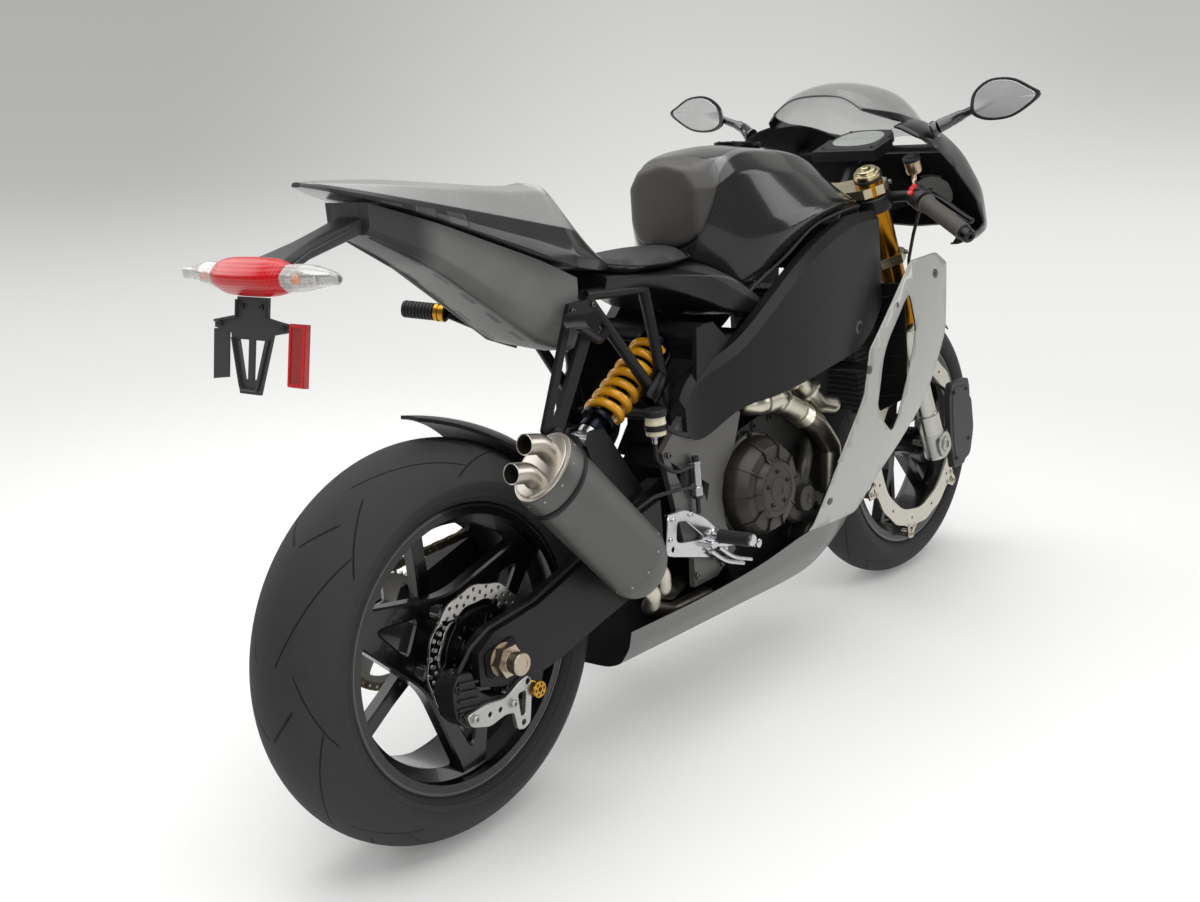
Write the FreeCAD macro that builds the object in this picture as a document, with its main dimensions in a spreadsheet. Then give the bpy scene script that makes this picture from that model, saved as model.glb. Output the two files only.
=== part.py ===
# A sport motorcycle leaning on its side stand.
# The bike is drawn upright: X forward, Y to the rider's left, Z up, and the
# origin under the rear wheel's contact point. At the end every piece gets the
# same lean and shift, so that the bike stands on its stand and the origin is
# under the middle of its box.
import FreeCAD, Part
import math
import os
import Sketcher
from FreeCAD import Placement, Rotation, Vector

document = FreeCAD.newDocument("sport_bike")
sheet = document.addObject("Spreadsheet::Sheet", "sizes")


class Size(float):
    """A number that remembers the sheet formula it came from."""

    def __new__(cls, number, formula):
        made = float.__new__(cls, number)
        made.formula = formula
        return made

    def __add__(self, other):
        return Size(float(self) + float(other), f"({self.formula} + {formula_of(other)})")

    def __radd__(self, other):
        return Size(float(other) + float(self), f"({formula_of(other)} + {self.formula})")

    def __sub__(self, other):
        return Size(float(self) - float(other), f"({self.formula} - {formula_of(other)})")

    def __rsub__(self, other):
        return Size(float(other) - float(self), f"({formula_of(other)} - {self.formula})")

    def __mul__(self, other):
        return Size(float(self) * float(other), f"({self.formula} * {formula_of(other)})")

    def __rmul__(self, other):
        return Size(float(other) * float(self), f"({formula_of(other)} * {self.formula})")

    def __truediv__(self, other):
        return Size(float(self) / float(other), f"({self.formula} / {formula_of(other)})")

    def __neg__(self):
        return Size(-float(self), f"(0 - {self.formula})")


def formula_of(amount):
    return amount.formula if isinstance(amount, Size) else f"{float(amount):.6f}"


sheet_rows = []


def size(alias, amount):
    """Writes one driving size into the sheet and returns it."""
    sheet_rows.append(alias)
    cell = f"B{len(sheet_rows)}"
    sheet.set(f"A{len(sheet_rows)}", alias)
    sheet.set(cell, str(amount))
    sheet.setAlias(cell, alias)
    return Size(amount, f"sizes.{alias}")


# Chassis
wheelbase = size("wheelbase", 1400)
lean_angle = size("lean_angle", 6.5)
rake_angle = size("rake_angle", 21)
fork_offset = size("fork_offset", 28)

# Tyres and rims
rear_radius = size("rear_tyre_radius", 320)
rear_width = size("rear_tyre_width", 190)
rear_crown = size("rear_crown_share", 58 / 92)
front_radius = size("front_tyre_radius", 300)
front_width = size("front_tyre_width", 120)
front_crown = size("front_crown_share", 42 / 72)
tyre_wall = size("tyre_wall", 9)
seat_radius = size("bead_seat_radius", 216)
flange_height = size("flange_height", 12)
flange_wall = size("flange_wall", 5)
rim_wall = size("rim_wall", 6)
rim_well = size("rim_well_depth", 18)
rear_rim_half = size("rear_rim_half_width", 78)
front_rim_half = size("front_rim_half_width", 50)
spoke_count = size("spoke_count", 6)
rear_spoke_thick = size("rear_spoke_thickness", 34)
front_spoke_thick = size("front_spoke_thickness", 26)
rear_spoke_phase = size("rear_spoke_phase", 34)
front_spoke_phase = size("front_spoke_phase", 20)
rear_hub_radius = size("rear_hub_radius", 42)
front_hub_radius = size("front_hub_radius", 30)
axle_radius = size("axle_radius", 12.5)
bearing_gap = size("bearing_gap", 0.5)

# Brakes and final drive
disc_thick = size("disc_thickness", 5)
rear_disc_radius = size("rear_disc_radius", 110)
rotor_radius = seat_radius - size("rotor_to_rim_gap", 23)
rotor_inner = rotor_radius - size("rotor_band", 35)
rotor_lug_radius = seat_radius - size("rotor_boss_inset", 8)
sprocket_radius = size("sprocket_radius", 98)
sprocket_thick = size("sprocket_thickness", 7)
chain_width = size("chain_width", 10)
chain_height = size("chain_height", 16)
output_radius = size("output_sprocket_reach", 34)

# Swingarm
arm_gap = size("arm_to_tyre_gap", 22)
arm_thick = size("arm_thickness", 36)
pivot_x = size("pivot_x", 560)
pivot_z = size("pivot_z", 388)
pivot_radius = size("pivot_tube_radius", 30)
spool_radius = size("stand_spool_radius", 8)
spool_length = size("stand_spool_length", 18)
spool_lip = size("stand_spool_lip", 5)
spool_lip_thick = size("stand_spool_lip_thickness", 4)

# Fork and steering
fork_half_space = size("fork_half_spacing", 115)
fork_upper_radius = size("fork_upper_radius", 27)
fork_slider_radius = size("fork_slider_radius", 22)
fork_length = size("fork_length", 655)
fork_upper_length = size("fork_upper_length", 350)
clamp_thick = size("clamp_thickness", 20)
head_radius = size("head_tube_radius", 32)
stem_radius = size("stem_radius", 18)
stem_bore_radius = size("stem_bore_radius", 9)
stem_bore_depth = size("stem_bore_depth", 60)
bar_radius = size("bar_radius", 11)
grip_radius = size("grip_radius", 17)
grip_length = size("grip_length", 118)

# Frame
spar_thick = size("spar_thickness", 34)
plate_thick = size("pivot_plate_thickness", 12)
plate_y = size("pivot_plate_offset", 128)
tube_radius = size("subframe_tube_radius", 10)
shock_bar_radius = size("shock_bar_radius", 20)

# Hoses
hose_radius = size("hose_radius", 3.5)
hose_bend = size("hose_bend", 28)
master_radius = size("master_cylinder_radius", 9)

# Engine and exhaust
engine_half = size("engine_half_width", 120)
clutch_radius = size("clutch_cover_radius", 92)
clutch_depth = size("clutch_cover_depth", 70)
clutch_ribs = size("clutch_cover_ribs", 10)
header_radius = size("header_radius", 21)
muffler_length = size("muffler_length", 322)
muffler_major = size("muffler_major_radius", 62)
muffler_minor = size("muffler_minor_radius", 44)
muffler_gap = size("muffler_to_arm_gap", 7)

# Bodywork
panel_wall = size("panel_wall", 4)
seam = size("seam", 0.6)
seat_gap = size("seat_gap", 0.3)
fender_gap = size("fender_to_tyre_gap", 16)
hugger_gap = size("hugger_to_tyre_gap", 22)

# Side stand
stand_pivot_x = size("stand_pivot_x", 520)
stand_pivot_y = size("stand_pivot_y", 185)
stand_pivot_z = size("stand_pivot_z", 282)
stand_foot_x = size("stand_foot_x", 600)
stand_reach = size("stand_reach", 262)
stand_radius = size("stand_leg_radius", 12)
foot_radius = size("stand_foot_radius", 26)

document.recompute()

# Bodywork stations are drawn for this wheelbase and these tyres, and follow
# the real ones.
DRAWN_WHEELBASE = 1400.0
DRAWN_REAR_RADIUS = 320.0
DRAWN_FRONT_RADIUS = 300.0
DRAWN_FORK_LENGTH = 655.0

# The way the side stand's leg points when it is folded
STAND_FOLDED_WAY = (-0.988, 0.127, -0.106)

X_AXIS = Vector(1, 0, 0)
Y_AXIS = Vector(0, 1, 0)
Z_AXIS = Vector(0, 0, 1)
RIGHT = -1.0
LEFT = 1.0
SIDES = (RIGHT, LEFT)


def at(x, y, z):
    """A point of the upright bike, drawn at the nominal size."""
    share = x / DRAWN_WHEELBASE
    rear_lift = float(rear_radius) - DRAWN_REAR_RADIUS
    front_lift = float(front_radius) - DRAWN_FRONT_RADIUS
    return Vector(share * float(wheelbase), y, z + (1 - share) * rear_lift + share * front_lift)


sub_parts = []


def keep(piece, label, base=None):
    """Marks a document object as a sub-part with the place it is drawn in."""
    piece.Label = label
    sub_parts.append((piece, base or Placement()))
    return piece


def feature(name, shape):
    made = document.addObject("Part::Feature", name)
    made.Shape = shape
    return made


def put(target, amounts):
    """Sets properties, bound to the sheet where the amount comes from it."""
    for name, amount in amounts.items():
        if isinstance(amount, Size):
            target.setExpression(name, amount.formula)
        else:
            setattr(target, name, amount)
    return target


def turned_to(direction):
    return Rotation(Z_AXIS, Vector(direction))


def cylinder(name, radius, length, start, direction=Z_AXIS):
    made = document.addObject("Part::Cylinder", name)
    put(made, {"Radius": radius, "Height": length})
    made.Placement = Placement(Vector(start), turned_to(direction))
    return made


def across(name, radius, length, start):
    """A cylinder that runs to the bike's left from its start."""
    return cylinder(name, radius, length, start, Y_AXIS)


def rod(name, radius, start, end):
    """A round bar between two points."""
    way = Vector(end) - Vector(start)
    return cylinder(name, radius, way.Length, start, way)


def box(name, long, wide, high, corner, rotation=None):
    made = document.addObject("Part::Box", name)
    put(made, {"Length": long, "Width": wide, "Height": high})
    made.Placement = Placement(Vector(corner), rotation or Rotation())
    return made


def joined(name, pieces):
    made = document.addObject("Part::MultiFuse", name)
    made.Shapes = pieces
    made.Refine = True
    return made


def cut(name, base, tool):
    made = document.addObject("Part::Cut", name)
    made.Base = base
    made.Tool = tool
    return made


def group(name, pieces):
    made = document.addObject("Part::Compound", name)
    made.Links = pieces
    return made


def mirrored_points(points):
    """Closes a half outline, given from the bottom up, over the centre plane."""
    right = [(-width, height) for width, height in points]
    left = [(width, height) for width, height in reversed(points) if width > 0]
    return right + left


def section(x, outline):
    """A closed wire across the bike at one station."""
    corners = [at(x, width, height) for width, height in outline]
    return Part.makePolygon(corners + corners[:1])


def lofted(stations, ruled=False):
    """A solid through cross sections, each a station and its half outline."""
    wires = [section(x, mirrored_points(half)) for x, half in stations]
    return Part.makeLoft(wires, True, ruled)


def side_lofted(stations, ruled=False):
    """A solid through cross sections that lie on one side of the bike."""
    wires = [section(x, outline) for x, outline in stations]
    return Part.makeLoft(wires, True, ruled)


def plate_between(points, near_y, far_y):
    """An outline in the side view, as a solid from one width to another."""
    corners = [at(x, near_y, z) for x, z in points]
    face = Part.Face(Part.makePolygon(corners + corners[:1]))
    return face.extrude(Vector(0, far_y - near_y, 0))


def mirror_shape(shape):
    return shape.mirror(Vector(0, 0, 0), Y_AXIS)


def bent_path(points, bend):
    """Straight runs joined by tangent arcs, each as large as its runs allow."""
    edges = []
    start = points[0]
    for before, corner, after in zip(points, points[1:], points[2:]):
        coming = before - corner
        going = after - corner
        half_turn = (math.pi - coming.getAngle(going)) / 2
        trim = min(bend * math.tan(half_turn), 0.45 * min(coming.Length, going.Length))
        radius = trim / math.tan(half_turn)
        coming.normalize()
        going.normalize()
        first = corner + coming * trim
        last = corner + going * trim
        middle_way = coming + going
        middle_way.normalize()
        middle = corner + middle_way * (radius / math.cos(half_turn) - radius)
        edges.append(Part.LineSegment(start, first).toShape())
        edges.append(Part.Arc(first, middle, last).toShape())
        start = last
    edges.append(Part.LineSegment(start, points[-1]).toShape())
    return Part.Wire(edges)


def tube_along(points, radius, bend):
    """A solid round bar along a bent path."""
    path = bent_path(points, bend)
    ring = Part.makeCircle(float(radius), points[0], points[1] - points[0])
    return path.makePipeShell([Part.Wire([ring])], True, False)


def plane_of(body, role):
    for plane in body.Origin.OriginFeatures:
        if plane.Role == role:
            return plane
    raise ValueError(role)


def new_body(label, base=None):
    body = document.addObject("PartDesign::Body", label)
    return keep(body, label, base)


def new_sketch(body, name, role):
    sketch = body.newObject("Sketcher::SketchObject", name)
    sketch.AttachmentSupport = [(plane_of(body, role), "")]
    sketch.MapMode = "FlatFace"
    return sketch


def hold(sketch, kind, *where, amount):
    """One driving constraint, bound to the sheet where it comes from it."""
    index = sketch.addConstraint(Sketcher.Constraint(kind, *where, float(amount)))
    if isinstance(amount, Size):
        sketch.setExpression(f"Constraints[{index}]", amount.formula)


ROOT_GEOMETRY = -1
ROOT_POINT = 1


def draw_polygon(sketch, points):
    """A closed polygon whose corners are held from the sketch's origin."""
    first = sketch.GeometryCount
    count = len(points)
    for index, (start, end) in enumerate(zip(points, points[1:] + points[:1])):
        a = Vector(float(start[0]), float(start[1]), 0)
        b = Vector(float(end[0]), float(end[1]), 0)
        sketch.addGeometry(Part.LineSegment(a, b), False)
    for index in range(count):
        following = first + (index + 1) % count
        sketch.addConstraint(Sketcher.Constraint("Coincident", first + index, 2, following, 1))
    for index, (across_by, up_by) in enumerate(points):
        here = first + index
        hold(sketch, "DistanceX", ROOT_GEOMETRY, ROOT_POINT, here, 1, amount=across_by)
        hold(sketch, "DistanceY", ROOT_GEOMETRY, ROOT_POINT, here, 1, amount=up_by)


def draw_circle(sketch, centre, radius):
    index = sketch.addGeometry(
        Part.Circle(Vector(float(centre[0]), float(centre[1]), 0), Z_AXIS, float(radius)), False)
    hold(sketch, "Radius", index, amount=radius)
    hold(sketch, "DistanceX", ROOT_GEOMETRY, ROOT_POINT, index, 3, amount=centre[0])
    hold(sketch, "DistanceY", ROOT_GEOMETRY, ROOT_POINT, index, 3, amount=centre[1])
    return index


def pad(body, sketch, name, length, midplane=False):
    made = body.newObject("PartDesign::Pad", name)
    made.Profile = sketch
    made.Midplane = midplane
    put(made, {"Length": length})
    return made


def pocket_through(body, sketch, name):
    made = body.newObject("PartDesign::Pocket", name)
    made.Profile = sketch
    made.Type = "ThroughAll"
    made.Midplane = True
    return made


def revolve(body, sketch, name):
    made = body.newObject("PartDesign::Revolution", name)
    made.Profile = sketch
    made.ReferenceAxis = (sketch, ["V_Axis"])
    made.Angle = 360
    return made


def repeat_round(body, made, name, count, role="Y_Axis"):
    """Repeats a feature about one of the body's own axes."""
    pattern = body.newObject("PartDesign::PolarPattern", name)
    pattern.Originals = [made]
    for axis in body.Origin.OriginFeatures:
        if axis.Role == role:
            pattern.Axis = (axis, [""])
    pattern.Angle = 360
    put(pattern, {"Occurrences": count})
    body.Tip = pattern
    return pattern


# Places that several pieces share
rear_axle = at(0, 0, DRAWN_REAR_RADIUS)
front_axle = at(DRAWN_WHEELBASE, 0, DRAWN_FRONT_RADIUS)
rear_place = Placement(rear_axle, Rotation())
front_place = Placement(front_axle, Rotation())
steer_turn = Rotation(Y_AXIS, -float(rake_angle))
steer_place = Placement(front_axle - steer_turn.multVec(X_AXIS) * float(fork_offset), steer_turn)
arm_inner = rear_width / 2 + arm_gap
arm_outer = arm_inner + arm_thick
disc_centre = arm_inner - 10
pivot = at(pivot_x, 0, float(pivot_z))
output_place = at(640, 0, 398)


def steered(x, y, z):
    """A point given in the fork's own frame, as a point of the bike."""
    return steer_place.multVec(Vector(x, y, z))


def make_tyre(label, base, radius, width, crown_share, rim_half):
    """A carcass of even wall, seated on the rim's bead seats."""
    bead = float(rim_half - flange_wall) - 0.2
    seat = float(seat_radius) + 0.2
    flange = float(seat_radius + flange_height)
    wall = float(tyre_wall)
    shoulder = float(radius) - (float(radius) - flange) * float(crown_share)
    half = float(width) / 2
    belly = (flange + shoulder) / 2
    bulge = half + 1.5

    def boundary(inset):
        rim_point = Vector(seat, bead - inset, 0)
        foot = Vector(flange, bead - inset * 0.8, 0)
        side = Vector(belly, bulge - inset - 3, 0)
        edge = Vector(shoulder - inset * 0.4, half - inset, 0)
        crown = Vector(float(radius) - inset, 0, 0)
        return rim_point, foot, side, edge, crown

    def flip(point):
        return Vector(point.x, -point.y, 0)

    rim_out, foot_out, side_out, edge_out, crown_out = boundary(0)
    rim_in, foot_in, side_in, edge_in, crown_in = boundary(wall)
    edges = [
        Part.LineSegment(rim_out, foot_out),
        Part.Arc(foot_out, side_out, edge_out),
        Part.Arc(edge_out, crown_out, flip(edge_out)),
        Part.Arc(flip(edge_out), flip(side_out), flip(foot_out)),
        Part.LineSegment(flip(foot_out), flip(rim_out)),
        Part.LineSegment(flip(rim_out), flip(rim_in)),
        Part.LineSegment(flip(rim_in), flip(foot_in)),
        Part.Arc(flip(foot_in), flip(side_in), flip(edge_in)),
        Part.Arc(flip(edge_in), crown_in, edge_in),
        Part.Arc(edge_in, side_in, foot_in),
        Part.LineSegment(foot_in, rim_in),
        Part.LineSegment(rim_in, rim_out),
    ]
    profile = Part.Face(Part.Wire([edge.toShape() for edge in edges]))
    shape = profile.revolve(Vector(0, 0, 0), Y_AXIS, 360)
    return keep(feature(label, shape), label, base)


def make_rim(label, base, half, spoke_thick, hub_radius, hub_half, phase):
    """A cast wheel: a welled barrel, split spokes in a ring and a hub."""
    body = new_body(label, Placement(base.Base, Rotation(Y_AXIS, -float(phase))))
    barrel = new_sketch(body, label + "_barrel", "XY_Plane")
    lip = seat_radius + flange_height
    flat = half - flange_wall
    well_half = half * 0.55
    well = seat_radius - rim_well
    draw_polygon(barrel, [
        (seat_radius - rim_wall, half),
        (lip, half),
        (lip, flat),
        (seat_radius, flat),
        (seat_radius, well_half + 12),
        (well, well_half),
        (well, -well_half),
        (seat_radius, -well_half - 12),
        (seat_radius, -flat),
        (lip, -flat),
        (lip, -half),
        (seat_radius - rim_wall, -half),
        (seat_radius - rim_wall, -well_half - 14),
        (well - rim_wall, -well_half),
        (well - rim_wall, well_half),
        (seat_radius - rim_wall, well_half + 14),
    ])
    revolve(body, barrel, label + "_ring")
    spoke = new_sketch(body, label + "_spoke", "XZ_Plane")
    root = hub_radius * 0.5
    end = well - rim_wall + 2
    draw_polygon(spoke, [
        (root, hub_radius * 0.45),
        (hub_radius + 40, hub_radius * 0.38),
        (end * 0.97, hub_radius * 0.38 + 22),
        (end * 0.97, -hub_radius * 0.38 - 22),
        (hub_radius + 40, -hub_radius * 0.38),
        (root, -hub_radius * 0.45),
    ])
    draw_polygon(spoke, [
        (hub_radius + 62, 0),
        (end - 12, 19),
        (end - 12, -19),
    ])
    arm = pad(body, spoke, label + "_spoke_pad", spoke_thick, True)
    repeat_round(body, arm, label + "_spokes", spoke_count)
    hub = new_sketch(body, label + "_hub", "XY_Plane")
    draw_polygon(hub, [
        (axle_radius + bearing_gap, hub_half),
        (hub_radius, hub_half),
        (hub_radius, -hub_half),
        (axle_radius + bearing_gap, -hub_half),
    ])
    revolve(body, hub, label + "_hub_ring")
    return body


def make_rear_disc():
    """The drilled rear disc with its carrier, on the right of the wheel."""
    body = new_body("rear_disc", Placement(rear_axle, Rotation()))
    ring = new_sketch(body, "rear_disc_ring", "XZ_Plane")
    ring.AttachmentOffset = Placement(Vector(0, 0, float(disc_centre)), Rotation())
    draw_circle(ring, (0, 0), rear_disc_radius)
    draw_circle(ring, (0, 0), axle_radius + 8)
    pad(body, ring, "rear_disc_pad", disc_thick, True)
    window = new_sketch(body, "rear_disc_window", "XZ_Plane")
    draw_polygon(window, [
        (rear_disc_radius * 0.42, 12),
        (rear_disc_radius * 0.62, 24),
        (rear_disc_radius * 0.66, 0),
        (rear_disc_radius * 0.62, -24),
        (rear_disc_radius * 0.42, -12),
    ])
    opening = pocket_through(body, window, "rear_disc_window_cut")
    repeat_round(body, opening, "rear_disc_windows", 6)
    return body


def make_front_rotor():
    """The rim-mounted front rotor with its lugs, on the right of the wheel."""
    body = new_body("front_rotor", Placement(front_axle, Rotation(Y_AXIS, -float(front_spoke_phase))))
    ring = new_sketch(body, "front_rotor_ring", "XZ_Plane")
    ring.AttachmentOffset = Placement(Vector(0, 0, float(front_rim_half + 20)), Rotation())
    draw_circle(ring, (0, 0), rotor_radius)
    draw_circle(ring, (0, 0), rotor_inner)
    pad(body, ring, "front_rotor_pad", disc_thick, True)
    lug = new_sketch(body, "front_rotor_lug", "XZ_Plane")
    lug.AttachmentOffset = Placement(Vector(0, 0, float(front_rim_half + 20)), Rotation())
    draw_polygon(lug, [
        (rotor_inner + 12, 22),
        (rotor_lug_radius + 10, 11),
        (rotor_lug_radius + 10, -11),
        (rotor_inner + 12, -22),
    ])
    made = pad(body, lug, "front_rotor_lug_pad", disc_thick, True)
    repeat_round(body, made, "front_rotor_lugs", spoke_count)
    boss = new_sketch(body, "front_rotor_boss", "XZ_Plane")
    boss.AttachmentOffset = Placement(Vector(0, 0, float(front_rim_half)), Rotation())
    draw_circle(boss, (rotor_lug_radius, 0), 9)
    post = pad(body, boss, "front_rotor_boss_pad", 20.0, False)
    repeat_round(body, post, "front_rotor_bosses", spoke_count)
    return body


def make_wheels():
    make_tyre("rear_tyre", rear_place, rear_radius, rear_width, rear_crown, rear_rim_half)
    make_tyre("front_tyre", front_place, front_radius, front_width, front_crown, front_rim_half)
    rear_hub_half = disc_centre - disc_thick / 2 - 0.2
    make_rim("rear_rim", rear_place, rear_rim_half, rear_spoke_thick, rear_hub_radius, rear_hub_half,
             rear_spoke_phase)
    front_hub_half = fork_half_space - fork_slider_radius - 14
    make_rim("front_rim", front_place, front_rim_half, front_spoke_thick, front_hub_radius,
             front_hub_half, front_spoke_phase)
    make_rear_disc()
    make_front_rotor()


def make_sprocket():
    """The rear sprocket, on the left of the hub."""
    body = new_body("rear_sprocket", Placement(rear_axle, Rotation()))
    ring = new_sketch(body, "rear_sprocket_ring", "XZ_Plane")
    centre = disc_centre + (sprocket_thick - disc_thick) / 2
    ring.AttachmentOffset = Placement(Vector(0, 0, -float(centre)), Rotation())
    draw_circle(ring, (0, 0), sprocket_radius)
    draw_circle(ring, (0, 0), axle_radius + 8)
    pad(body, ring, "rear_sprocket_pad", sprocket_thick, True)
    window = new_sketch(body, "rear_sprocket_window", "XZ_Plane")
    draw_circle(window, (sprocket_radius * 0.62, 0), sprocket_radius * 0.17)
    opening = pocket_through(body, window, "rear_sprocket_window_cut")
    repeat_round(body, opening, "rear_sprocket_windows", 6)
    return body


def make_chain():
    """One fixed loop round the sprocket and the engine's output."""
    clearance = 4.0
    outer_rear = float(sprocket_radius) + clearance + float(chain_height)
    inner_rear = float(sprocket_radius) + clearance
    inner_front = float(output_radius)
    outer_front = inner_front + float(chain_height)
    near = float(disc_centre - chain_width / 2)

    def loop(rear_r, front_r):
        way = output_place - rear_axle
        angle = math.atan2(way.z, way.x)
        lift = math.acos((rear_r - front_r) / way.Length)
        spots = []
        for centre, radius in ((rear_axle, rear_r), (output_place, front_r)):
            for turn in (lift, -lift):
                spots.append(centre + Vector(math.cos(angle + turn), 0, math.sin(angle + turn)) * radius)
        back = rear_axle - Vector(math.cos(angle), 0, math.sin(angle)) * rear_r
        front = output_place + Vector(math.cos(angle), 0, math.sin(angle)) * front_r
        rear_top, rear_low, front_top, front_low = spots
        return Part.Wire([
            Part.LineSegment(rear_top, front_top).toShape(),
            Part.Arc(front_top, front, front_low).toShape(),
            Part.LineSegment(front_low, rear_low).toShape(),
            Part.Arc(rear_low, back, rear_top).toShape(),
        ])

    outside = Part.Face(loop(outer_rear, outer_front))
    inside = Part.Face(loop(inner_rear, inner_front))
    band = outside.cut(inside)
    band.translate(Vector(0, near, 0))
    keep(feature("drive_chain", band.extrude(Vector(0, float(chain_width), 0))), "drive_chain")


def make_swingarm():
    """Two arms, the box between them, and narrower arms from there to the pivot."""
    outline = [
        (-48, 292), (-46, 345), (-8, 366), (90, 376), (206, 408), (330, 442), (402, 456),
        (402, 322), (330, 318), (240, 300), (130, 274), (86, 268), (74, 236), (44, 234), (36, 266), (0, 276),
    ]
    narrow_outline = [(376, 332), (376, 440), (470, 466), (560, 446), (590, 388), (560, 342), (450, 324)]
    solid = None
    # Inside the chain's loop the box may reach from arm to arm
    wide_profile = [(362, 334), (356, 380), (370, 416), (398, 417), (398, 334)]
    narrow_profile = [(384, 348), (384, 410), (394, 436), (470, 450), (500, 428), (500, 345)]
    ear_profile = [(384, 430), (446, 446), (352, 586), (322, 588), (306, 566), (312, 546)]
    box_shapes = [
        plate_between(wide_profile, -float(arm_inner) - 1, float(arm_inner) + 1),
        plate_between(narrow_profile, -NARROW_ARM + 10, NARROW_ARM - 10),
    ]
    for side in SIDES:
        box_shapes.append(plate_between(outline, side * float(arm_inner), side * float(arm_outer)))
        box_shapes.append(plate_between(narrow_outline, side * (NARROW_ARM - 27), side * NARROW_ARM))
        middle = SHOCK_LOW[1] + side * EAR_OFFSET
        box_shapes.append(plate_between(ear_profile, middle - EAR_THICK / 2, middle + EAR_THICK / 2))
        # The spool that a workshop stand lifts the bike by
        root = at(SPOOL_AT[0], side * (float(arm_outer) - 2), SPOOL_AT[1])
        out = Vector(0, side, 0)
        box_shapes.append(Part.makeCylinder(float(spool_radius), float(spool_length) + 2, root, out))
        lip_start = root + out * float(spool_length + 2 - spool_lip_thick)
        box_shapes.append(Part.makeCylinder(float(spool_radius + spool_lip), float(spool_lip_thick), lip_start, out))
    reach = float(plate_y - seat_gap)
    box_shapes.append(Part.makeCylinder(float(pivot_radius), reach * 2, pivot - Vector(0, reach, 0), Y_AXIS))
    for shape in box_shapes:
        solid = shape if solid is None else solid.fuse(shape)
    bore = Part.makeCylinder(float(axle_radius), float(arm_outer) * 2 + 4,
                             rear_axle - Vector(0, float(arm_outer) + 2, 0), Y_AXIS)
    return keep(feature("swingarm", solid.cut(bore)), "swingarm")


def make_rear_axle():
    """The axle with its large hexagonal nut on the right and a nut on the left."""
    half = float(arm_outer)
    rod_piece = across("rear_axle_rod", axle_radius - 0.3, arm_outer * 2,
                       rear_axle - Vector(0, half, 0))
    nut = document.addObject("Part::Prism", "rear_axle_nut")
    put(nut, {"Polygon": 6, "Circumradius": 26, "Height": 20})
    nut.Placement = Placement(rear_axle + Vector(0, -half, 0), turned_to(-Y_AXIS))
    collar = across("rear_axle_collar", 17, 26, rear_axle + Vector(0, -half - 44, 0))
    other = document.addObject("Part::Prism", "rear_axle_left_nut")
    put(other, {"Polygon": 6, "Circumradius": 22, "Height": 18})
    other.Placement = Placement(rear_axle + Vector(0, half, 0), turned_to(Y_AXIS))
    spacers = []
    for side in SIDES:
        inner = float(disc_centre + sprocket_thick / 2) + 1.4
        start = rear_axle + Vector(0, side * inner, 0)
        end = rear_axle + Vector(0, side * float(arm_inner), 0)
        spacers.append(rod("rear_axle_spacer", 19, start, end))
    return keep(joined("rear_axle", [rod_piece, nut, collar, other] + spacers), "rear_axle")


def make_rear_caliper():
    """The caliper below the axle on its cut-out bracket."""
    outer = -float(arm_outer) - 0.4
    bracket = plate_between(
        [(-88, 262), (-78, 236), (-30, 214), (16, 228), (20, 200), (38, 200), (44, 262), (20, 290),
         (-20, 270), (-60, 272)], outer, outer - 10)
    window = plate_between([(10, 246), (34, 262), (30, 222)], outer + 1, outer - 11)
    block = plate_between([(-62, 232), (-58, 286), (-20, 268), (12, 262), (6, 226)],
                          outer, -float(disc_centre) - 6)
    shape = bracket.cut(window).fuse(block).removeSplitter()
    return keep(feature("rear_caliper", shape), "rear_caliper")


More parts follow.
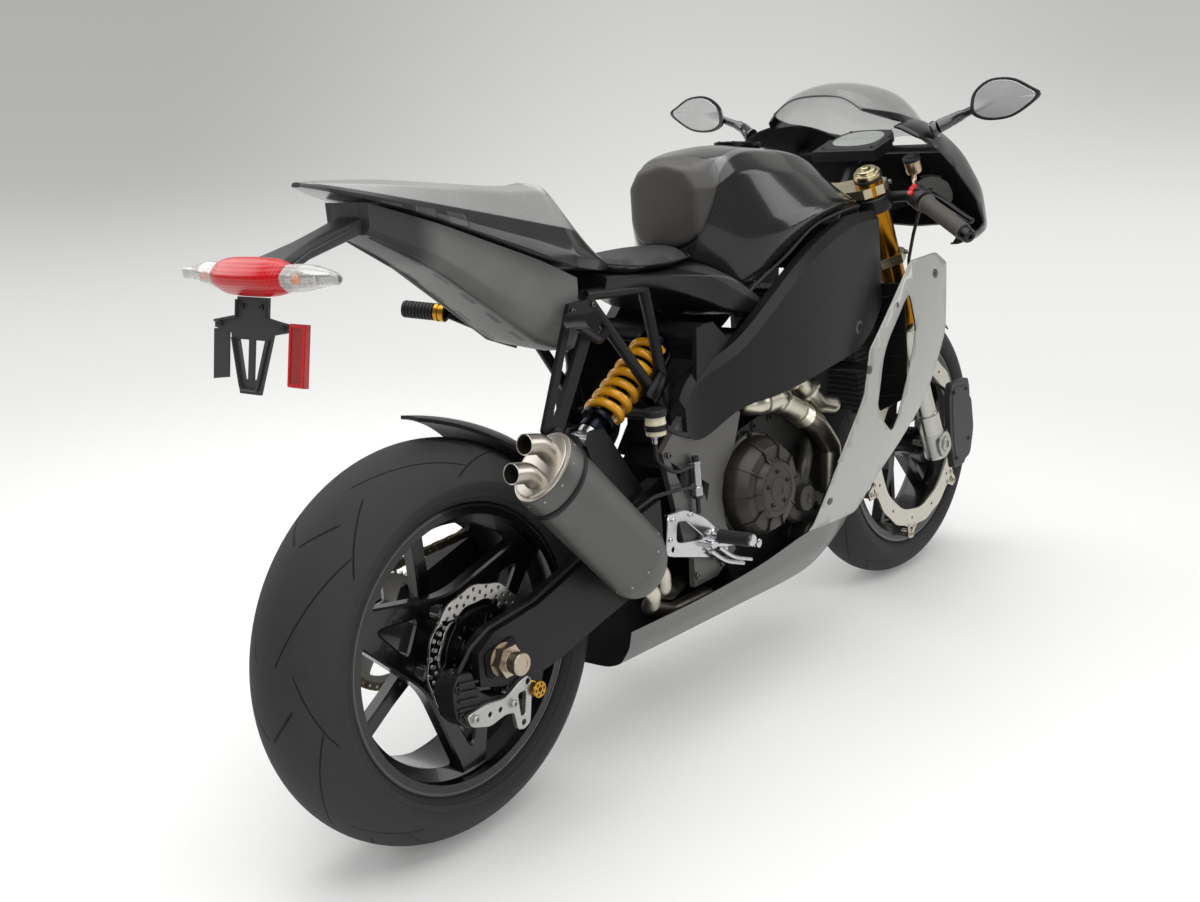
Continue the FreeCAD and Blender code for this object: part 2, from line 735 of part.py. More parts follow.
def make_frame():
    """The two wide spars, the head block between them and the head tube."""
    stations = [
        (492, 150, 545, 606), (600, 166, 556, 668), (700, 184, 568, 724), (800, 196, 578, 790),
        (900, 198, 590, 832), (1000, 192, 606, 850), (1060, 187, 640, 850), (1092, 182, 668, 848),
    ]
    thick = float(spar_thick)
    chamfer = 16.0

    def profile(outer, low, high):
        return [(outer, low), (outer, high - chamfer), (outer - chamfer * 0.8, high),
                (outer - thick, high - 3), (outer - thick, low + 3)]

    left = side_lofted([(x, profile(outer, low, high)) for x, outer, low, high in stations])
    head_low = steered(0, 0, float(fork_length) - 177)
    head_high = steered(0, 0, float(fork_length) - 45)
    head = rod("head_tube", head_radius, head_low, head_high)
    slot_outline = [(430, 500), (430, 529), (469, 561), (519.5, 597), (600.5, 601), (661, 545.5),
                    (661, 500)]
    near = float(plate_y - seat_gap)
    far = float(plate_y + plate_thick + seat_gap)
    left = left.cut(plate_between(slot_outline, near, far))
    right = mirror_shape(left)
    gusset_outline = [(524, 596), (538, 722), (584, 724), (640, 672), (610, 610)]
    gussets = []
    for side in SIDES:
        gussets.append(feature("shock_bar_gusset", plate_between(gusset_outline, side * 141, side * 150)))
    stem_bore = rod("head_bore", stem_radius + bearing_gap, head_low + (head_low - head_high) * 0.1,
                    head_high + (head_high - head_low) * 0.1)
    # The neck reaches as high as the head tube, and the wings stay under the tank
    head_shift = steered(0, 0, float(fork_length)) - steered(0, 0, DRAWN_FORK_LENGTH)
    wings = []
    low = at(1080, 0, 738).z
    high = low + 92
    for side in SIDES:
        neck = [at(1148, side * -2, 0), at(1165, side * 22, 0), at(1084, side * 62, 0), at(1080, side * -2, 0)]
        wing = [at(1080, side * -2, 0), at(1084, side * 62, 0), at(1076, side * 152, 0), at(1010, side * 162, 0),
                at(1016, side * 60, 0)]
        neck[:2] = [corner + Vector(min(head_shift.x, 0), 0, 0) for corner in neck[:2]]
        neck_low = low + min(head_shift.z, 0)
        neck_high = high + max(head_shift.z, 0)
        for name, corners, start, end in (("head_neck", neck, neck_low, neck_high), ("head_wing", wing, low, high)):
            flat = [Vector(corner.x, corner.y, start) for corner in corners]
            face = Part.Face(Part.makePolygon(flat + flat[:1]))
            wings.append(feature(name, face.extrude(Vector(0, 0, end - start))))
    spars = [feature("spar_left", left), feature("spar_right", right)]
    bar_half = 149.0
    shock_bar = across("shock_bar", shock_bar_radius, bar_half * 2,
                       shock_top_bar() - Vector(0, bar_half + SHOCK_HIGH[1], 0))
    solid = joined("frame_solid", spars + wings + gussets + [head, shock_bar])
    return keep(cut("frame_spars", solid, stem_bore), "frame_spars")


SHOCK_LOW = (366, -58, 588)
SHOCK_HIGH = (536, -58, 690)
EYE_HALF = 20.4
EAR_THICK = 7.2
EAR_OFFSET = EYE_HALF + 0.3 + EAR_THICK / 2
NARROW_ARM = 97.0
SPOOL_AT = (57, 252)


def shock_way():
    way = at(*SHOCK_HIGH) - at(*SHOCK_LOW)
    way.normalize()
    return way


def shock_top_bar():
    """The middle of the frame tube that the damper's top end bears on."""
    return at(*SHOCK_HIGH) + shock_way() * (10.3 + float(shock_bar_radius))


def make_pivot_plates():
    """The two plates behind the engine that carry the swingarm's pivot."""
    outline = [(432, 528), (470, 560), (520, 596), (600, 600), (660, 545), (634, 484), (600, 450),
               (588, 400), (597, 350), (612, 326), (620, 300), (560, 268), (494, 268), (498, 322), (476, 345)]
    windows = [[(452, 508), (492, 478), (486, 440)], [(524, 462), (556, 440), (546, 410)]]
    near = float(plate_y)
    far = near + float(plate_thick)
    right = plate_between(outline, -near, -far)
    for window in windows:
        right = right.cut(plate_between(window, -near + 1, -far - 1))
    left = mirror_shape(right)
    hinge, ground, hinge_axis = stand_hinge()
    lug_end = hinge - hinge_axis * 9
    lug_start = lug_end - hinge_axis * ((lug_end.y - far + 4) / hinge_axis.y)
    lug = Part.makeCylinder(15, (lug_end - lug_start).Length, lug_start, hinge_axis)
    lug = lug.cut(Part.makeBox(200, 100, 200, Vector(lug_end.x - 100, near - 100, lug_end.z - 100)))
    shapes = []
    for name, shape in (("pivot_plate_right", right), ("pivot_plate_left", left.fuse(lug))):
        shapes.append(feature(name, shape))
    return keep(group("pivot_plates", shapes), "pivot_plates")


HANGER_NEAR = 90.0
HANGER_FAR = 98.0


def subframe_rails():
    """The start and end of each straight tube of the subframe."""
    lines = []
    for side in SIDES:
        foot = at(505, side * 105.4, 570)
        seat_front = at(470, side * 96, 800)
        tail_low = at(330, side * 89, 812)
        lines += [(foot, seat_front), (foot, tail_low), (seat_front, tail_low)]
    lines.append((at(470, -96, 800), at(470, 96, 800)))
    lines.append((at(330, -89, 812), at(330, 89, 812)))
    return lines


def make_subframe():
    """Struts from the frame to the tail, and the hanger that holds the muffler."""
    pieces = [rod("subframe_tube", tube_radius, start, end) for start, end in subframe_rails()]
    reach = 115.2
    pieces.append(rod("subframe_low_cross", tube_radius, at(505, -reach, 570), at(505, reach, 570)))
    for side in SIDES:
        arm = tube_along([at(380, side * 90, 748), at(322, side * 118, 742), at(238, side * 138, 790)], 8, 40)
        peg = Part.makeCylinder(13, 78, at(238, side * 138, 790), Vector(-0.35, side * 0.93, 0.12))
        pieces.append(feature("passenger_peg", arm.fuse(peg)))
    hanger = [(282, 806), (344, 806), (352, 780), (244, 612), (226, 584), (204, 592), (196, 620)]
    opening = [(286, 784), (322, 780), (232, 636), (222, 640)]
    plate = plate_between(hanger, -HANGER_NEAR, -HANGER_FAR)
    plate = plate.cut(plate_between(opening, -HANGER_NEAR + 1, -HANGER_FAR - 1))
    pieces.append(feature("muffler_hanger", plate))
    return keep(joined("subframe", pieces), "subframe")


def ellipse_wire(centre, way, side_way, side_radius, up_radius):
    """An oval across a direction, its side axis along the given one."""
    up_way = way.cross(side_way)
    ring = Part.Ellipse(centre + up_way * up_radius, centre + side_way * side_radius, centre)
    return Part.Wire([ring.toShape()])


CYLINDER_SHARE = 0.8


def make_exhaust():
    offset = float(arm_outer + muffler_gap + muffler_minor)
    tail_end = at(78, -offset, 604)
    front_end = at(290, -offset, 374)
    way = front_end - tail_end
    way.normalize()
    side = Vector(0, 1, 0)
    minor = float(muffler_minor)
    major = float(muffler_major)
    length = float(muffler_length)

    def canister(near, far, near_scale, far_scale):
        wires = [
            ellipse_wire(tail_end + way * near, way, side, minor * near_scale, major * near_scale),
            ellipse_wire(tail_end + way * far, way, side, minor * far_scale, major * far_scale),
        ]
        return Part.makeLoft(wires, True, True)

    can = canister(0, length - 40, 1, 1).fuse(canister(length - 40, length, 1, 0.7))
    strap = canister(18, 40, 1.05, 1.05)
    can = can.fuse(strap).removeSplitter()
    stay_top = at(222, -HANGER_FAR, 604)
    stay = Part.makeCylinder(9, abs(stay_top.y + offset), stay_top, Vector(0, -1, 0))
    can = can.fuse(stay).removeSplitter()
    keep(feature("muffler", can), "muffler")

    back = way * -1
    plate = canister(-6, -0.3, 0.9, 0.98)
    up_way = way.cross(side)
    tips = []
    for shift, reach in ((24, 26), (-24, 22)):
        start = tail_end + up_way * shift + back * 2
        bend = start + back * reach
        end = bend + Vector(-0.98, 0, 0.2) * 34
        outer = tube_along([start, bend, end], 16, 26)
        tips.append(outer)
    body = plate
    for tip in tips:
        body = body.fuse(tip)
    keep(feature("muffler_end_plate", body.removeSplitter()), "muffler_end_plate")

    low = tail_end + way * (length + 0.4)
    # Two pipes leave the muffler's low end, pass below the arm and go in over the belly's rim
    routes = [
        (19, [at(363, -178, 318), at(401, -131, 292), at(462, -108, 264), at(600, -20, 222)]),
        (-19, [at(344, -166, 294), at(386, -121, 265), at(460, -108, 230), at(600, -84, 212)]),
    ]
    pipes = []
    for step, route in routes:
        start = low + up_way * step
        pipes.append(tube_along([start, start + way * 30] + route, 13.5, 60))
    face = -float(engine_half) * CYLINDER_SHARE - 0.4
    run = face - 24.6 - float(header_radius)
    headers = [
        tube_along([at(700, face, 550), at(700, run, 550), at(765, run, 548), at(830, run, 512),
                    at(900, run, 466), at(945, run, 410), at(935, run, 320)], header_radius, 26),
        tube_along([at(775, face, 586), at(775, run + 3, 586), at(850, run + 3, 560),
                    at(915, run + 3, 505), at(975, run + 3, 486), at(975, face, 486)],
                   float(header_radius) - 4, 22),
    ]
    solids = [feature("exhaust_pipe", shape) for shape in pipes + headers]
    keep(group("exhaust_pipes", solids), "exhaust_pipes")


def make_engine():
    """The crankcase with its two cylinders in a vee, and its mounting bosses."""
    half = float(engine_half)
    case = [(604, 300), (600, 440), (650, 500), (760, 520), (880, 500), (950, 420), (940, 300),
            (880, 214), (640, 206)]
    crank = plate_between(case, -half, half)
    narrow = half * CYLINDER_SHARE
    front = plate_between([(850, 500), (900, 560), (1006, 640), (1036, 560), (1006, 480), (920, 400)],
                          -narrow, narrow)
    rear = plate_between([(620, 480), (640, 640), (800, 640), (800, 500)], -narrow, narrow)
    shape = crank.fuse(front).fuse(rear)
    # A recess for the chain, with the output sprocket that fills the chain's end
    chain_near = float(disc_centre - chain_width / 2)
    recess_near = chain_near - 4
    around = float(output_radius + chain_height) + 5
    round_part = Part.makeCylinder(around, half - recess_near + 1,
                                   output_place + Vector(0, recess_near, 0), Y_AXIS)
    corner = output_place + Vector(-around, recess_near, -around - 14)
    square_part = Part.makeBox(around, half - recess_near + 1, around * 2 + 14, corner)
    shape = shape.cut(round_part).cut(square_part)
    sprocket = Part.makeCylinder(float(output_radius - seat_gap), float(chain_width),
                                 output_place + Vector(0, chain_near, 0), Y_AXIS)
    shaft = Part.makeCylinder(14, 10, output_place + Vector(0, recess_near - 1, 0), Y_AXIS)
    shape = shape.fuse(sprocket).fuse(shaft)
    for side in SIDES:
        low_boss = Part.makeCylinder(10, float(plate_y - seat_gap) - half + 2,
                                     at(613, side * (half - 2), 312), Vector(0, side, 0))
        spar_face = 158.0
        high_boss = Part.makeCylinder(12, spar_face - narrow + 2,
                                      at(985, side * (narrow - 2), 612), Vector(0, side, 0))
        shape = shape.fuse(low_boss).fuse(high_boss)
    keep(feature("engine_case", shape.removeSplitter()), "engine_case")


def make_clutch_cover():
    """The round ribbed cover on the right of the engine."""
    centre = at(696, -float(engine_half) - 0.3, 398)
    body = new_body("clutch_cover", Placement(centre, Rotation(X_AXIS, 180)))
    dome = new_sketch(body, "clutch_cover_profile", "XY_Plane")
    depth = clutch_depth
    draw_polygon(dome, [
        (0, 0),
        (clutch_radius + 10, 0),
        (clutch_radius + 10, 9),
        (clutch_radius, 12),
        (clutch_radius, depth * 0.55),
        (clutch_radius - 14, depth * 0.82),
        (clutch_radius * 0.5, depth),
        (0, depth),
    ])
    revolve(body, dome, "clutch_cover_dome")
    rib = new_sketch(body, "clutch_cover_rib", "XZ_Plane")
    draw_polygon(rib, [
        (clutch_radius * 0.5, 3),
        (clutch_radius + 4, 3),
        (clutch_radius + 4, -3),
        (clutch_radius * 0.5, -3),
    ])
    made = pad(body, rib, "clutch_cover_rib_pad", depth * 0.86)
    made.Reversed = True
    repeat_round(body, made, "clutch_cover_ribs", clutch_ribs)
    return body


def make_shock():
    """The rear damper between the swingarm and the frame, with its coil spring."""
    low = at(*SHOCK_LOW)
    high = at(*SHOCK_HIGH)
    length = (high - low).Length
    way = shock_way()
    body = rod("shock_body", 20, low - way * 34, high + way * 10)
    seat = rod("shock_seat", 31, low + way * 2, low + way * 12)
    top = rod("shock_top", 31, high - way * 10, high)
    eye = across("shock_lower_eye", 17, EYE_HALF * 2, low - way * 44 - Vector(0, EYE_HALF, 0))
    keep(joined("rear_shock", [body, seat, top, eye]), "rear_shock")

    turns = 5.5
    coil_radius = 27.0
    span = length - 24 - 13
    helix = Part.makeHelix(span / turns, span, coil_radius)
    section_circle = Part.makeCircle(5.9, Vector(coil_radius, 0, 0), Y_AXIS)
    coil = Part.Wire(helix.Edges).makePipeShell([Part.Wire([section_circle])], True, True)
    coil.Placement = Placement(low + way * 18.5, Rotation(Z_AXIS, way))
    keep(feature("shock_spring", coil), "shock_spring")


def make_reservoir():
    """The small brake fluid pot with its cap."""
    foot = at(426, -136, 560)
    pot = cylinder("reservoir_pot", 18, 34, foot)
    cap = cylinder("reservoir_cap", 20, 12, foot + Vector(0, 0, 34))
    arm_y = -float(plate_y + plate_thick) - 5.4
    arm = rod("reservoir_arm", 5, at(432, arm_y, 566), at(478, arm_y, 550))
    keep(joined("brake_reservoir", [pot, cap, arm]), "brake_reservoir")


def make_hoses():
    """The rear brake's cylinder and hoses, and the front brake's hose along the fork."""
    face = -float(plate_y + plate_thick) - 0.5
    master_y = face - float(master_radius)
    master_foot = at(508, master_y, 430)
    master = Part.makeCylinder(float(master_radius), 66, master_foot, Z_AXIS)
    push_rod = Part.makeCylinder(4, 29, master_foot - Vector(0, 0, 28), Z_AXIS)
    cap = Part.makeCylinder(float(master_radius) - 2.5, 8, master_foot + Vector(0, 0, 66), Z_AXIS)
    along = -float(arm_outer) + 10
    rear_route = [
        at(-60.4, -134, 262), at(-84, -134, 262), at(-84, along, 322), at(-52, along, 353), at(-10, along, 371),
        at(89, along, 381), at(205, along, 413), at(329, along, 447), at(402, along, 461),
        at(446, master_y - 8.5, 462), at(500, master_y - 2.5, 452),
    ]
    feed_route = [at(421, -136, 559.7), at(421, -136, 516), at(446, master_y - 2.5, 490), at(500, master_y - 1.5, 490)]
    shape = master.fuse(push_rod).fuse(cap)
    for route in (rear_route, feed_route):
        shape = shape.fuse(tube_along(route, hose_radius, float(hose_bend)))
    keep(feature("brake_hoses", shape), "brake_hoses")

    bar_level = float(fork_length) - DRAWN_FORK_LENGTH
    side = -float(fork_half_space)
    front_route = [
        Vector(42.6, side - 91.2, 570 + bar_level), Vector(50, side - 57, 505 + bar_level),
        Vector(72, side - 19, 435 + bar_level), Vector(64, side - 3, 335), Vector(58, side + 2, 220),
        Vector(96, side + 14, 118), Vector(147.5, side + 20, 60), Vector(154.6, side + 20, 29.5),
    ]
    hose = tube_along(front_route, hose_radius, float(hose_bend))
    keep(feature("front_brake_hose", hose), "front_brake_hose", steer_place)


TANK_STATIONS = [
    (655, [(0, 815), (40, 822), (52, 880), (56, 940), (40, 972), (0, 984)]),
    (690, [(0, 790), (88, 796), (100, 870), (94, 940), (70, 977), (0, 992)]),
    (735, [(0, 750), (126, 760), (134, 860), (110, 962), (82, 990), (0, 1000)]),
    (800, [(0, 790), (150, 800), (166, 856), (120, 960), (84, 996), (0, 1006)]),
    (900, [(0, 836), (158, 840), (176, 872), (118, 946), (80, 984), (0, 997)]),
    (1000, [(0, 850), (152, 856), (164, 876), (112, 924), (70, 964), (0, 980)]),
    (1074, [(0, 852), (138, 858), (146, 868), (100, 894), (58, 932), (0, 946)]),
]

SEAT_BASE_STATIONS = [
    (372, [(0, 806), (96, 808), (104, 834), (60, 838), (0, 838)]),
    (470, [(0, 796), (108, 800), (122, 822), (70, 826), (0, 826)]),
    (580, [(0, 756), (126, 762), (138, 806), (80, 820), (0, 820)]),
    (650, [(0, 722), (140, 728), (150, 790), (90, 812), (0, 812)]),
    (726, [(0, 704), (148, 712), (151, 744), (92, 746), (0, 746)]),
]

SEAT_STATIONS = [
    (398, [(0, 840), (70, 841), (84, 850), (60, 862), (0, 866)]),
    (450, [(0, 829), (92, 830), (108, 838), (70, 848), (0, 850)]),
    (530, [(0, 827), (100, 828), (118, 834), (76, 842), (0, 843)]),
    (610, [(0, 823), (84, 824), (98, 832), (60, 842), (0, 844)]),
    (652, [(0, 814), (30, 815), (38, 826), (26, 840), (0, 842)]),
]

TAIL_STATIONS = [
    (394, [(0, 842), (86, 842), (92, 852), (58, 868), (0, 872)]),
    (352, [(0, 846), (100, 848), (104, 868), (54, 924), (0, 930)]),
    (305, [(0, 856), (108, 860), (110, 882), (50, 984), (0, 992)]),
    (220, [(0, 894), (106, 896), (104, 916), (48, 992), (0, 1002)]),
    (110, [(0, 942), (92, 944), (88, 958), (46, 1010), (0, 1020)]),
    (0, [(0, 990), (68, 992), (66, 1000), (42, 1028), (0, 1037)]),
    (-90, [(0, 1022), (42, 1024), (40, 1030), (34, 1040), (0, 1046)]),
    (-143, [(0, 1041), (10, 1042), (10, 1044), (8, 1047), (0, 1049)]),
]

UNDERTAIL_STATIONS = [
    (319.7, [(0, 718), (66, 724), (84, 762), (86, 842), (0, 842)]),
    (243, [(0, 748), (62, 752), (78, 790), (80, 882), (0, 882)]),
    (150, [(0, 820), (56, 824), (74, 850), (76, 922), (0, 922)]),
    (50, [(0, 896), (50, 900), (66, 918), (66, 966), (0, 966)]),
    (-60, [(0, 962), (36, 964), (46, 976), (46, 1010), (0, 1010)]),
]


def make_bodywork():
    keep(feature("tank_cover", lofted(TANK_STATIONS)), "tank_cover")
    gap = float(seat_gap)
    base = lofted(SEAT_BASE_STATIONS).cut(lofted(shrunk(TANK_STATIONS, -gap)))
    for start, end in subframe_rails():
        way = end - start
        base = base.cut(Part.makeCylinder(float(tube_radius) + gap, way.Length, start, way))
    keep(feature("seat_base", base), "seat_base")
    pad_shape = lofted(SEAT_STATIONS).cut(lofted(shrunk(SEAT_BASE_STATIONS, -gap)))
    keep(feature("seat_pad", pad_shape), "seat_pad")
    keep(feature("tail_cowl", lofted(TAIL_STATIONS)), "tail_cowl")
    keep(feature("undertail", lofted(UNDERTAIL_STATIONS)), "undertail")


PLATE_HOLE = 70.0


def make_tail_lamps():
    """The arm behind the tail with the lamp, the two signals and the plate bracket."""
    arm_stations = [
        (-60.3, [(0, 963), (28, 963), (30, 988), (0, 990)]),
        (-150, [(0, 942), (20, 942), (22, 966), (0, 968)]),
        (-217.7, [(0, 918), (34, 918), (36, 950), (0, 952)]),
    ]
    keep(feature("tail_lamp_arm", lofted(arm_stations)), "tail_lamp_arm")

    def lamp_section(y, front, back, low, high):
        points = [Vector(front, y, low + 4), Vector(front, y, high - 4), Vector((front + back) / 2, y, high),
                  Vector(back, y, (low + high) / 2 + 6), Vector(back + 2, y, (low + high) / 2 - 8),
                  Vector((front + back) / 2, y, low)]
        spots = [at(point.x, point.y, point.z) for point in points]
        return Part.makePolygon(spots + spots[:1])

    lens = Part.makeLoft([
        lamp_section(-76, -222, -252, 912, 952),
        lamp_section(-40, -218, -268, 906, 960),
        lamp_section(40, -218, -268, 906, 960),
        lamp_section(76, -222, -252, 912, 952),
    ], True, True)
    keep(feature("tail_lamp", lens), "tail_lamp")
    left = Part.makeLoft([
        lamp_section(76 + float(seam), -220, -252, 912, 952),
        lamp_section(110, -214, -248, 914, 952),
        lamp_section(148, -212, -234, 922, 944),
        lamp_section(172, -222, -232, 926, 940),
    ], True, True)
    signals = [feature("signal_left", left), feature("signal_right", mirror_shape(left))]
    keep(group("turn_signals", signals), "turn_signals")

    top = at(-241, 0, 906)
    place = Placement(top, Rotation(Y_AXIS, 12))
    body = new_body("plate_bracket", place)
    face = new_sketch(body, "plate_bracket_face", "YZ_Plane")
    draw_polygon(face, [(-34, 0), (-34, -28), (-84, -34), (-84, -44), (-46, -50), (-22, -132), (22, -132),
                        (46, -50), (84, -44), (84, -34), (34, -28), (34, 0)])
    draw_polygon(face, [(-30, -58), (-14, -112), (-5, -112), (-5, -58)])
    draw_polygon(face, [(30, -58), (5, -58), (5, -112), (14, -112)])
    for hole_at in (-PLATE_HOLE, PLATE_HOLE):
        draw_circle(face, (hole_at, -39), 3.2)
    pad(body, face, "plate_bracket_pad", 5.0)

    marker = Part.makeBox(8, 34, 84, Vector(-1.5, -84.3 - 34, -116))
    keep(feature("side_reflector", marker), "side_reflector", place)


def arch(radius, thick, half, sag, start, end, centre):
    """A curved guard over a wheel, from one angle to another, seen from the right."""
    outer = Part.Arc(Vector(radius + thick - sag, -half, 0), Vector(radius + thick, 0, 0),
                     Vector(radius + thick - sag, half, 0))
    inner = Part.Arc(Vector(radius - sag, half, 0), Vector(radius, 0, 0), Vector(radius - sag, -half, 0))
    wire = Part.Wire([outer.toShape(),
                      Part.LineSegment(Vector(radius + thick - sag, half, 0),
                                       Vector(radius - sag, half, 0)).toShape(),
                      inner.toShape(),
                      Part.LineSegment(Vector(radius - sag, -half, 0),
                                       Vector(radius + thick - sag, -half, 0)).toShape()])
    face = Part.Face(wire)
    face.rotate(Vector(0, 0, 0), Y_AXIS, -start)
    shape = face.revolve(Vector(0, 0, 0), Y_AXIS, -(end - start))
    shape.translate(centre)
    return shape


def make_guards():
    hugger = arch(float(rear_radius + hugger_gap), 4.0, 92.0, 34.0, 22.0, 85.0, rear_axle)
    top_view = [(-20, 0), (110, 40), (240, 96), (420, 100), (420, -100), (240, -96), (110, -40)]
    corners = [at(x, y, 400) for x, y in top_view]
    trim = Part.Face(Part.makePolygon(corners + corners[:1])).extrude(Vector(0, 0, 400))
    shape = hugger.common(trim)
    brackets = []
    for side in SIDES:
        brackets.append(plate_between([(268, 453), (300, 453), (306, 478), (272, 484)],
                                      side * 86, side * 135))
        brackets.append(plate_between([(268, 425.4), (300, 434.1), (300, 455), (268, 455)],
                                      side * 119, side * 135))
    hull = shape
    for bracket in brackets:
        hull = hull.fuse(bracket)
    keep(feature("hugger", hull.removeSplitter()), "hugger")

    fender = arch(float(front_radius + fender_gap), 4.0, 70.0, 30.0, 38.0, 150.0, Vector(0, 0, 0))
    fender.translate(front_axle)
    legs = []
    for side in SIDES:
        inner = 64.0
        outer = float(fork_half_space - fork_slider_radius) - 0.3
        level = float(front_radius + fender_gap) - 26
        start = steered(float(fork_offset), side * inner, level)
        leg = Part.makeCylinder(9, outer - inner, start, Vector(0, side, 0))
        legs.append(leg)
    for leg in legs:
        fender = fender.fuse(leg)
    keep(feature("front_fender", fender.removeSplitter()), "front_fender")


def make_fork():
    """Clamps, stem, upper tubes, sliders with their feet, and the front axle."""
    length = float(fork_length)
    top_at = length - 22 - float(clamp_thick)
    low_at = length - 200
    clamps = []
    half = float(fork_half_space)
    for level, reach in ((top_at, 34), (low_at, 36)):
        outline = [(-26, 0), (-24, 40), (fork_offset - 34, half + 4), (fork_offset - 4, half + reach),
                   (fork_offset + 22, half + reach - 6), (fork_offset + 32, half), (30, 40), (34, 0)]
        corners = [(float(x), y) for x, y in outline]
        ring = corners + [(x, -y) for x, y in reversed(corners) if y > 0]
        points = [Vector(x, y, level) for x, y in ring]
        slab = Part.Face(Part.makePolygon(points + points[:1])).extrude(Vector(0, 0, float(clamp_thick)))
        for side in SIDES:
            bore = Part.makeCylinder(float(fork_upper_radius) + 0.2, 60,
                                     Vector(float(fork_offset), side * half, level - 10))
            slab = slab.cut(bore)
        clamps.append(slab)
    stem = Part.makeCylinder(float(stem_radius), top_at - low_at + 12, Vector(0, 0, low_at))
    stand_hole = Part.makeCylinder(float(stem_bore_radius), float(stem_bore_depth) + 1,
                                   Vector(0, 0, low_at - 1))
    body = clamps[0].fuse(clamps[1]).fuse(stem).cut(stand_hole).removeSplitter()
    keep(feature("fork_clamps", body), "fork_clamps", steer_place)

    uppers = []
    for side in SIDES:
        name = "fork_upper"
        base = Vector(float(fork_offset), side * half, length - float(fork_upper_length))
        tube = cylinder(name, fork_upper_radius, fork_upper_length, base)
        uppers.append(tube)
    keep(group("fork_uppers", uppers), "fork_uppers", steer_place)

    sliders = []
    for side in SIDES:
        low = Vector(float(fork_offset), side * half, 0)
        slider = cylinder("fork_slider", fork_slider_radius, length - float(fork_upper_length) - 60.5,
                          low + Vector(0, 0, 60))
        foot = cylinder("fork_foot", fork_slider_radius + 4, 110, low + Vector(0, 0, -30))
        sliders += [slider, foot]
    axle = across("front_axle_rod", axle_radius - 0.3, fork_half_space * 2,
                  Vector(float(fork_offset), -half, 0))
    keep(joined("fork_sliders", sliders + [axle]), "fork_sliders", steer_place)

    bars = []
    for side in SIDES:
        name = "bar_right" if side < 0 else "bar_left"
        level = length - 78
        ring = Part.makeCylinder(float(fork_upper_radius) + 9, 32,
                                 Vector(float(fork_offset), side * half, level))
        start = Vector(float(fork_offset) + 16, side * (half + 30), level + 16)
        inner = Vector(46, side * 200, 596)
        end = Vector(-27, side * 330, 556)
        bar = tube_along([start, inner, end], float(bar_radius), 60)
        way = end - inner
        way.normalize()
        grip = Part.makeCylinder(float(grip_radius), float(grip_length), end - way * float(grip_length), way)
        cap = Part.makeCylinder(float(grip_radius) - 3, 22, end, way)
        pod = Part.makeCylinder(22, 34, end - way * (float(grip_length) + 40), way)
        lever_start = end - way * (float(grip_length) + 20) + Vector(38, 0, -6)
        lever_end = end - way * 6 + Vector(62, 0, -8)
        lever = Part.makeCylinder(6, (lever_end - lever_start).Length, lever_start, lever_end - lever_start)
        perch = Part.makeCylinder(8, 40, end - way * (float(grip_length) + 20), lever_start
                                  - (end - way * (float(grip_length) + 20)))
        shape = ring.fuse(bar).fuse(grip).fuse(cap).fuse(pod).fuse(perch).fuse(lever)
        hole = Part.makeCylinder(float(fork_upper_radius) + 0.2, 60,
                                 Vector(float(fork_offset), side * half, level - 10))
        bars.append(feature(name, shape.cut(hole).removeSplitter()))
    keep(group("handlebars", bars), "handlebars", steer_place)


def make_front_caliper():
    """The caliper inside the rotor, its duct plate, and the arm to the fork's foot."""
    inner = -(float(front_rim_half) + 20 + float(disc_thick) / 2 + 3)
    outer = -float(fork_half_space)
    near = float(rotor_inner) - 42
    far = float(rotor_radius) - 6
    start = math.radians(-32)
    end = math.radians(34)
    steps = 8
    corners = []
    for radius, span in ((far, range(steps + 1)), (near, range(steps, -1, -1))):
        for step in span:
            turn = start + (end - start) * step / steps
            corners.append(Vector(radius * math.cos(turn), 0, radius * math.sin(turn)))
    face = Part.Face(Part.makePolygon(corners + corners[:1]))
    pad_shape = face.extrude(Vector(0, outer - inner, 0))
    pad_shape.translate(Vector(0, inner, 0))
    arm = Part.makeBox(float(near) + 4, abs(outer - inner) - 8, 34)
    arm.translate(Vector(6, outer + 4, -17))
    duct = plate_between([(1462, 226), (1452, 376), (1476, 428), (1600, 392), (1622, 300), (1560, 226)],
                         outer - 16, outer - 0.2)
    body = pad_shape.fuse(arm)
    body.translate(front_axle)
    bore = Part.makeCylinder(float(fork_slider_radius) + 4.3, 300, steered(float(fork_offset), outer, -120),
                             steered(float(fork_offset), outer, 60) - steered(float(fork_offset), outer, -60))
    axle_hole = Part.makeCylinder(float(axle_radius) + 1, 200, front_axle - Vector(0, 200, 0), Y_AXIS)
    body = body.fuse(duct).cut(bore).cut(axle_hole).removeSplitter()
    keep(feature("front_caliper", body), "front_caliper")


def shrunk(stations, wall):
    """The same stations with the outline moved in by a wall."""
    made = []
    for x, half in stations:
        middle = sum(height for width, height in half) / len(half)
        made.append((x, [(max(width - wall, 0), height - wall if height > middle else height + wall)
                         for width, height in half]))
    return made


COWL_STATIONS = [
    (1100, [(0, 744), (192, 746), (208, 754), (214, 850), (208, 936), (150, 985), (0, 1004)]),
    (1240, [(0, 744), (212, 746), (228, 758), (234, 860), (222, 976), (166, 1004), (0, 1024)]),
    (1340, [(0, 744), (224, 747), (240, 760), (234, 860), (204, 958), (150, 998), (0, 1016)]),
    (1440, [(0, 742), (214, 748), (230, 762), (220, 850), (180, 926), (116, 960), (0, 976)]),
    (1560, [(0, 750), (150, 760), (162, 774), (154, 830), (118, 884), (70, 906), (0, 914)]),
    (1640, [(0, 784), (44, 788), (54, 796), (54, 820), (44, 842), (24, 852), (0, 856)]),
]

